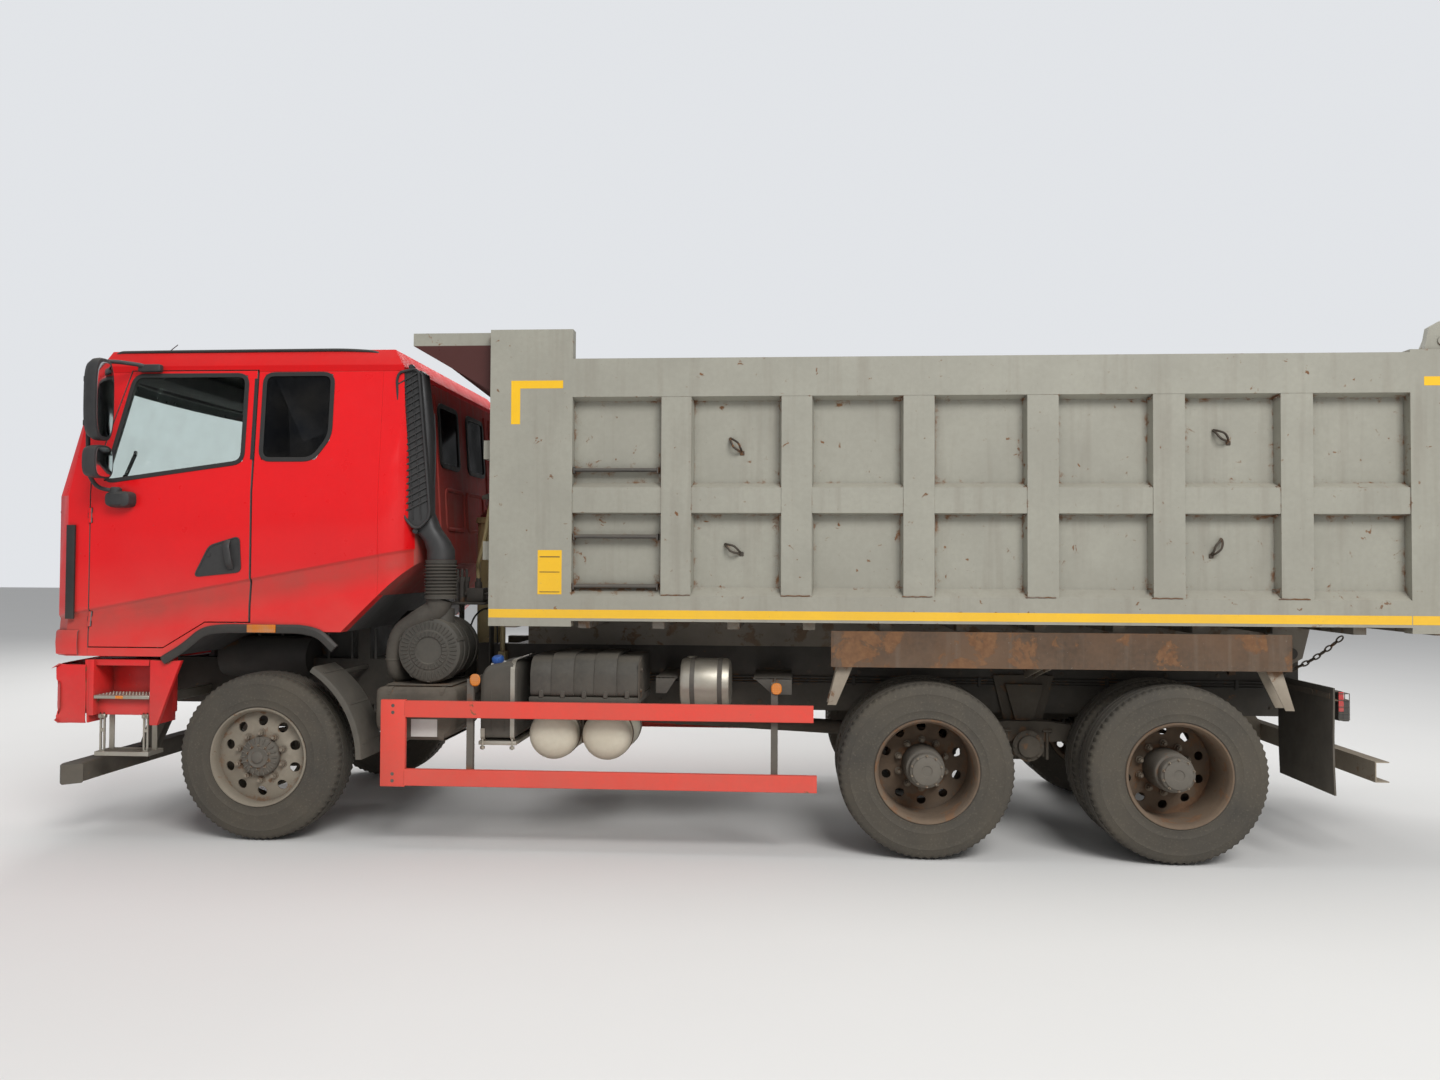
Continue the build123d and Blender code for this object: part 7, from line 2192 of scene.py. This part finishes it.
def insideGear(bm):
    # gauge hood, vents, gear lever and roof console
    for i in range(9):
        addBox(bm, (3.64, 0.33 + i * 0.042, 1.92), (3.652, 0.35 + i * 0.042, 1.955), 0.002, 1)
    addLoft(bm, [superRing((x, 0.52, z), (0, wide, 0), (0, 0, tall), 3.0, 32) for x, z, wide,
        tall in ((3.6, 2.055, 0.19, 0.055), (3.64, 2.06, 0.195, 0.062), (3.78, 2.05, 0.18, 0.045))])
    addPipe(bm, [(3.26, 0.18, 1.36), (3.275, 0.18, 1.6), (3.3, 0.185, 1.76)], 0.011, segments=10)
    addTurned(bm, [(0.0, -0.03), (0.02, -0.022), (0.027, 0.0), (0.022, 0.022), (0.0, 0.03)], (3.302, 0.185, 1.785),
        (0, 0, 1), 20)
    addPlate(bm, [(3.86, 2.905), (3.86, 2.84), (3.56, 2.82), (3.5, 2.905)], -0.95, 0.95, "Y", 0.008)


once("insideGear", insideGear, "cabinGrey", "cab")
print("cab inside made")


# Frame, axle and spring details that show from the side and below


def frameBolts(bm):
    # bolted gussets and cross-member heads along the rails
    for i in range(22):
        x = -3.4 + i * 0.322
        if 2.1 < x < 3.5:
            continue
        addBolts(bm, [(x, 0.431, 0.79), (x, 0.431, 0.99)], (0, 1, 0), 0.009, 0.008)


def trunnion(bm):
    # bracket of the tandem springs with its cap and the spring bolts
    outline = [(-2.02, 0.985), (-1.7, 0.985), (-1.74, 0.7), (-1.79, 0.52), (-1.93, 0.52), (-1.98, 0.7)]
    addPlate(bm, outline, 0.434, 0.462, "Y", 0.005)
    addPlate(bm, [(-1.98, 0.93), (-1.74, 0.93), (-1.83, 0.6), (-1.89, 0.6)], 0.462, 0.5, "Y", 0.006)
    addTurned(bm, [(0.0, 0.59), (0.092, 0.59), (0.096, 0.6), (0.096, 0.616), (0.07, 0.628), (0.066, 0.65),
        (0.04, 0.66), (0.0, 0.662)], (-1.86, 0.0, 0.56), (0, 1, 0), 36)
    addBolts(bm, [(-1.86 + 0.08 * cos(tau * i / 8), 0.622, 0.56 + 0.08 * sin(tau * i / 8)) for i in range(8)],
        (0, 1, 0), 0.009, 0.008)
    for x in (-1.985, -1.735):
        for side in (0.455, 0.566):
            addRod(bm, (x, side, 0.47), (x, side, 0.64), 0.01, 10)
        addBox(bm, (x - 0.028, 0.44, 0.64), (x + 0.028, 0.582, 0.656), 0.004, 1)


def springClips(bm):
    for x in (2.45, 3.18):
        addBox(bm, (x - 0.02, 0.334, 0.52), (x + 0.02, 0.436, 0.6), 0.004, 1)
    for x in (2.735, 2.895):
        for y in (0.345, 0.425):
            addRod(bm, (x, y, 0.47), (x, y, 0.64), 0.009, 10)
    for x in (2.22, 3.42):
        addBolts(bm, [(x, 0.436, 0.72), (x + 0.03, 0.436, 0.76)], (0, 1, 0), 0.01)
    # shock absorber
    addRod(bm, (2.62, 0.5, 0.56), (2.56, 0.48, 0.83), 0.028, 20)
    addRod(bm, (2.56, 0.48, 0.83), (2.545, 0.475, 0.9), 0.036, 20)


def brakePots(bm):
    # round chambers on the driven axles
    for x in (-1.16, -2.56):
        centre = (x + 0.235, 0.64, 0.64)
        addTurned(bm, [(0.0, -0.08), (0.06, -0.078), (0.078, -0.06), (0.08, -0.004), (0.088, -0.004),
            (0.088, 0.008), (0.08, 0.008), (0.078, 0.06), (0.055, 0.082), (0.0, 0.085)], centre, (0, 1, 0), 32)
        addRod(bm, (x + 0.235, 0.6, 0.64), (x + 0.06, 0.6, 0.56), 0.016, 12)
    centre = (2.64, 0.61, 0.64)
    addTurned(bm, [(0.0, -0.06), (0.056, -0.056), (0.07, -0.04), (0.076, -0.004), (0.076, 0.008), (0.068, 0.045),
        (0.045, 0.062), (0.0, 0.064)], centre, (0, 1, 0), 32)
    addRod(bm, (2.64, 0.61, 0.61), (2.76, 0.64, 0.52), 0.014, 12)


def railPipes(bm):
    # brake lines clipped along the rail
    for z, r in ((0.955, 0.007), (0.935, 0.0055), (0.918, 0.0055)):
        addPipe(bm, [(-3.35, 0.437, z), (1.55, 0.437, z)], r, segments=6)
    for i in range(12):
        x = -3.2 + i * 0.4
        addBox(bm, (x, 0.431, 0.905), (x + 0.022, 0.448, 0.966), 0.002, 1)


for name, maker, material, slotName in (("railBolts", frameBolts, "dustyIron", "chassis_black"),
        ("trunnions", trunnion, "dustyIron", "axle_black"), ("springClips", springClips, "dustyIron", "axle_black"),
        ("brakeChambers", brakePots, "dustyGrey", "axle_black"), ("brakeLines", railPipes, "blackRubber",
        "black_plastic")):
    both(name, maker, material)


def engineGear(bm):
    # ribs, sump and bell housing over the plain block
    for i in range(9):
        x = 2.05 + i * 0.16
        for sign in (1, -1):
            addBox(bm, (x, 0.42 * sign - 0.006, 0.66), (x + 0.018, 0.42 * sign + 0.006, 1.24), 0.003, 1)
    addBox(bm, (2.6, -0.3, 0.56), (3.35, 0.3, 0.595), 0.012, 2)
    addTurned(bm, [(0.0, -0.3), (0.125, -0.3), (0.135, -0.27), (0.135, 0.27), (0.125, 0.3), (0.0, 0.3)],
        (3.1, 0.425, 1.05), (1, 0, 0), 32)


once("engineRibs", engineGear, "engineGrey")
print("frame details made")


# The studio

studio = {"floor": (0.7, 0.69, 0.67), "sky": (0.8, 0.82, 0.85), "worldStrength": 0.58, "seenStrength": 0.95,
    "keyPower": 2600.0, "fillPower": 1300.0, "topPower": 350.0}


def makeFloor():
    bm = bmesh.new()
    bmesh.ops.create_grid(bm, x_segments=4, y_segments=4, size=60.0)
    ground = addObject("studioFloor", toMesh(bm, "studioFloor"))
    material, tree, shader = newMaterial("studioFloor")
    tone = blendColours(tree, noise(tree, 0.7, 3.0), studio["floor"], tuple(c * 0.96 for c in studio["floor"]))
    feed(tree, shader, {"Base Color": tone, "Roughness": 0.8})
    ground.data.materials.append(material)


def makeWorld():
    world = bpy.data.worlds.new("studioSky")
    world.use_nodes = True
    tree = world.node_tree
    path = tree.nodes.new("ShaderNodeLightPath")
    seen = addNode(tree, "Math", {0: path.outputs["Is Camera Ray"], 1: path.outputs["Is Transmission Ray"]},
        operation="MAXIMUM")
    strength = addNode(tree, "MapRange", {"To Min": studio["worldStrength"], "To Max": studio["seenStrength"],
        "Value": seen.outputs[0]})
    feed(tree, tree.nodes["Background"], {"Color": studio["sky"], "Strength": strength.outputs["Result"]})
    bpy.context.scene.world = world


def addLamp(name, place, target, size, power):
    data = bpy.data.lights.new(name, "AREA")
    data.shape = "RECTANGLE"
    data.size, data.size_y = size
    data.energy = power
    lamp = addObject(name, data)
    lamp.location = place
    lamp.rotation_euler = (Vector(target) - Vector(place)).to_track_quat("-Z", "Y").to_euler()


photo = {"lens": 27.05, "turns": (3.82, 1.33, -0.28), "place": (-0.39, 7.485, 1.675)}


def makeCamera():
    data = bpy.data.cameras.new("photoCamera")
    data.lens, data.sensor_width = photo["lens"], 36.0
    camera = addObject("photoCamera", data)
    turn, pitch, roll = [radians(angle) for angle in photo["turns"]]
    forward = Vector((sin(turn), -cos(turn), tan(pitch))).normalized()
    facing = forward.to_track_quat("-Z", "Y").to_matrix().to_4x4()
    camera.matrix_world = Matrix.Translation(photo["place"]) @ Matrix.Rotation(roll, 4, forward) @ facing
    bpy.context.scene.camera = camera


makeFloor()
makeWorld()
addLamp("keyLamp", (-6.0, 14.0, 13.0), (0.0, 0.0, 1.2), (9.0, 7.0), studio["keyPower"])
addLamp("farLamp", (5.0, -12.0, 11.0), (0.0, 0.0, 1.2), (9.0, 7.0), studio["fillPower"])
addLamp("topLamp", (0.0, 0.0, 12.0), (0.0, 0.0, 0.0), (10.0, 6.0), studio["topPower"])
makeCamera()
bpy.context.scene.view_settings.view_transform = "Standard"
print("studio made")
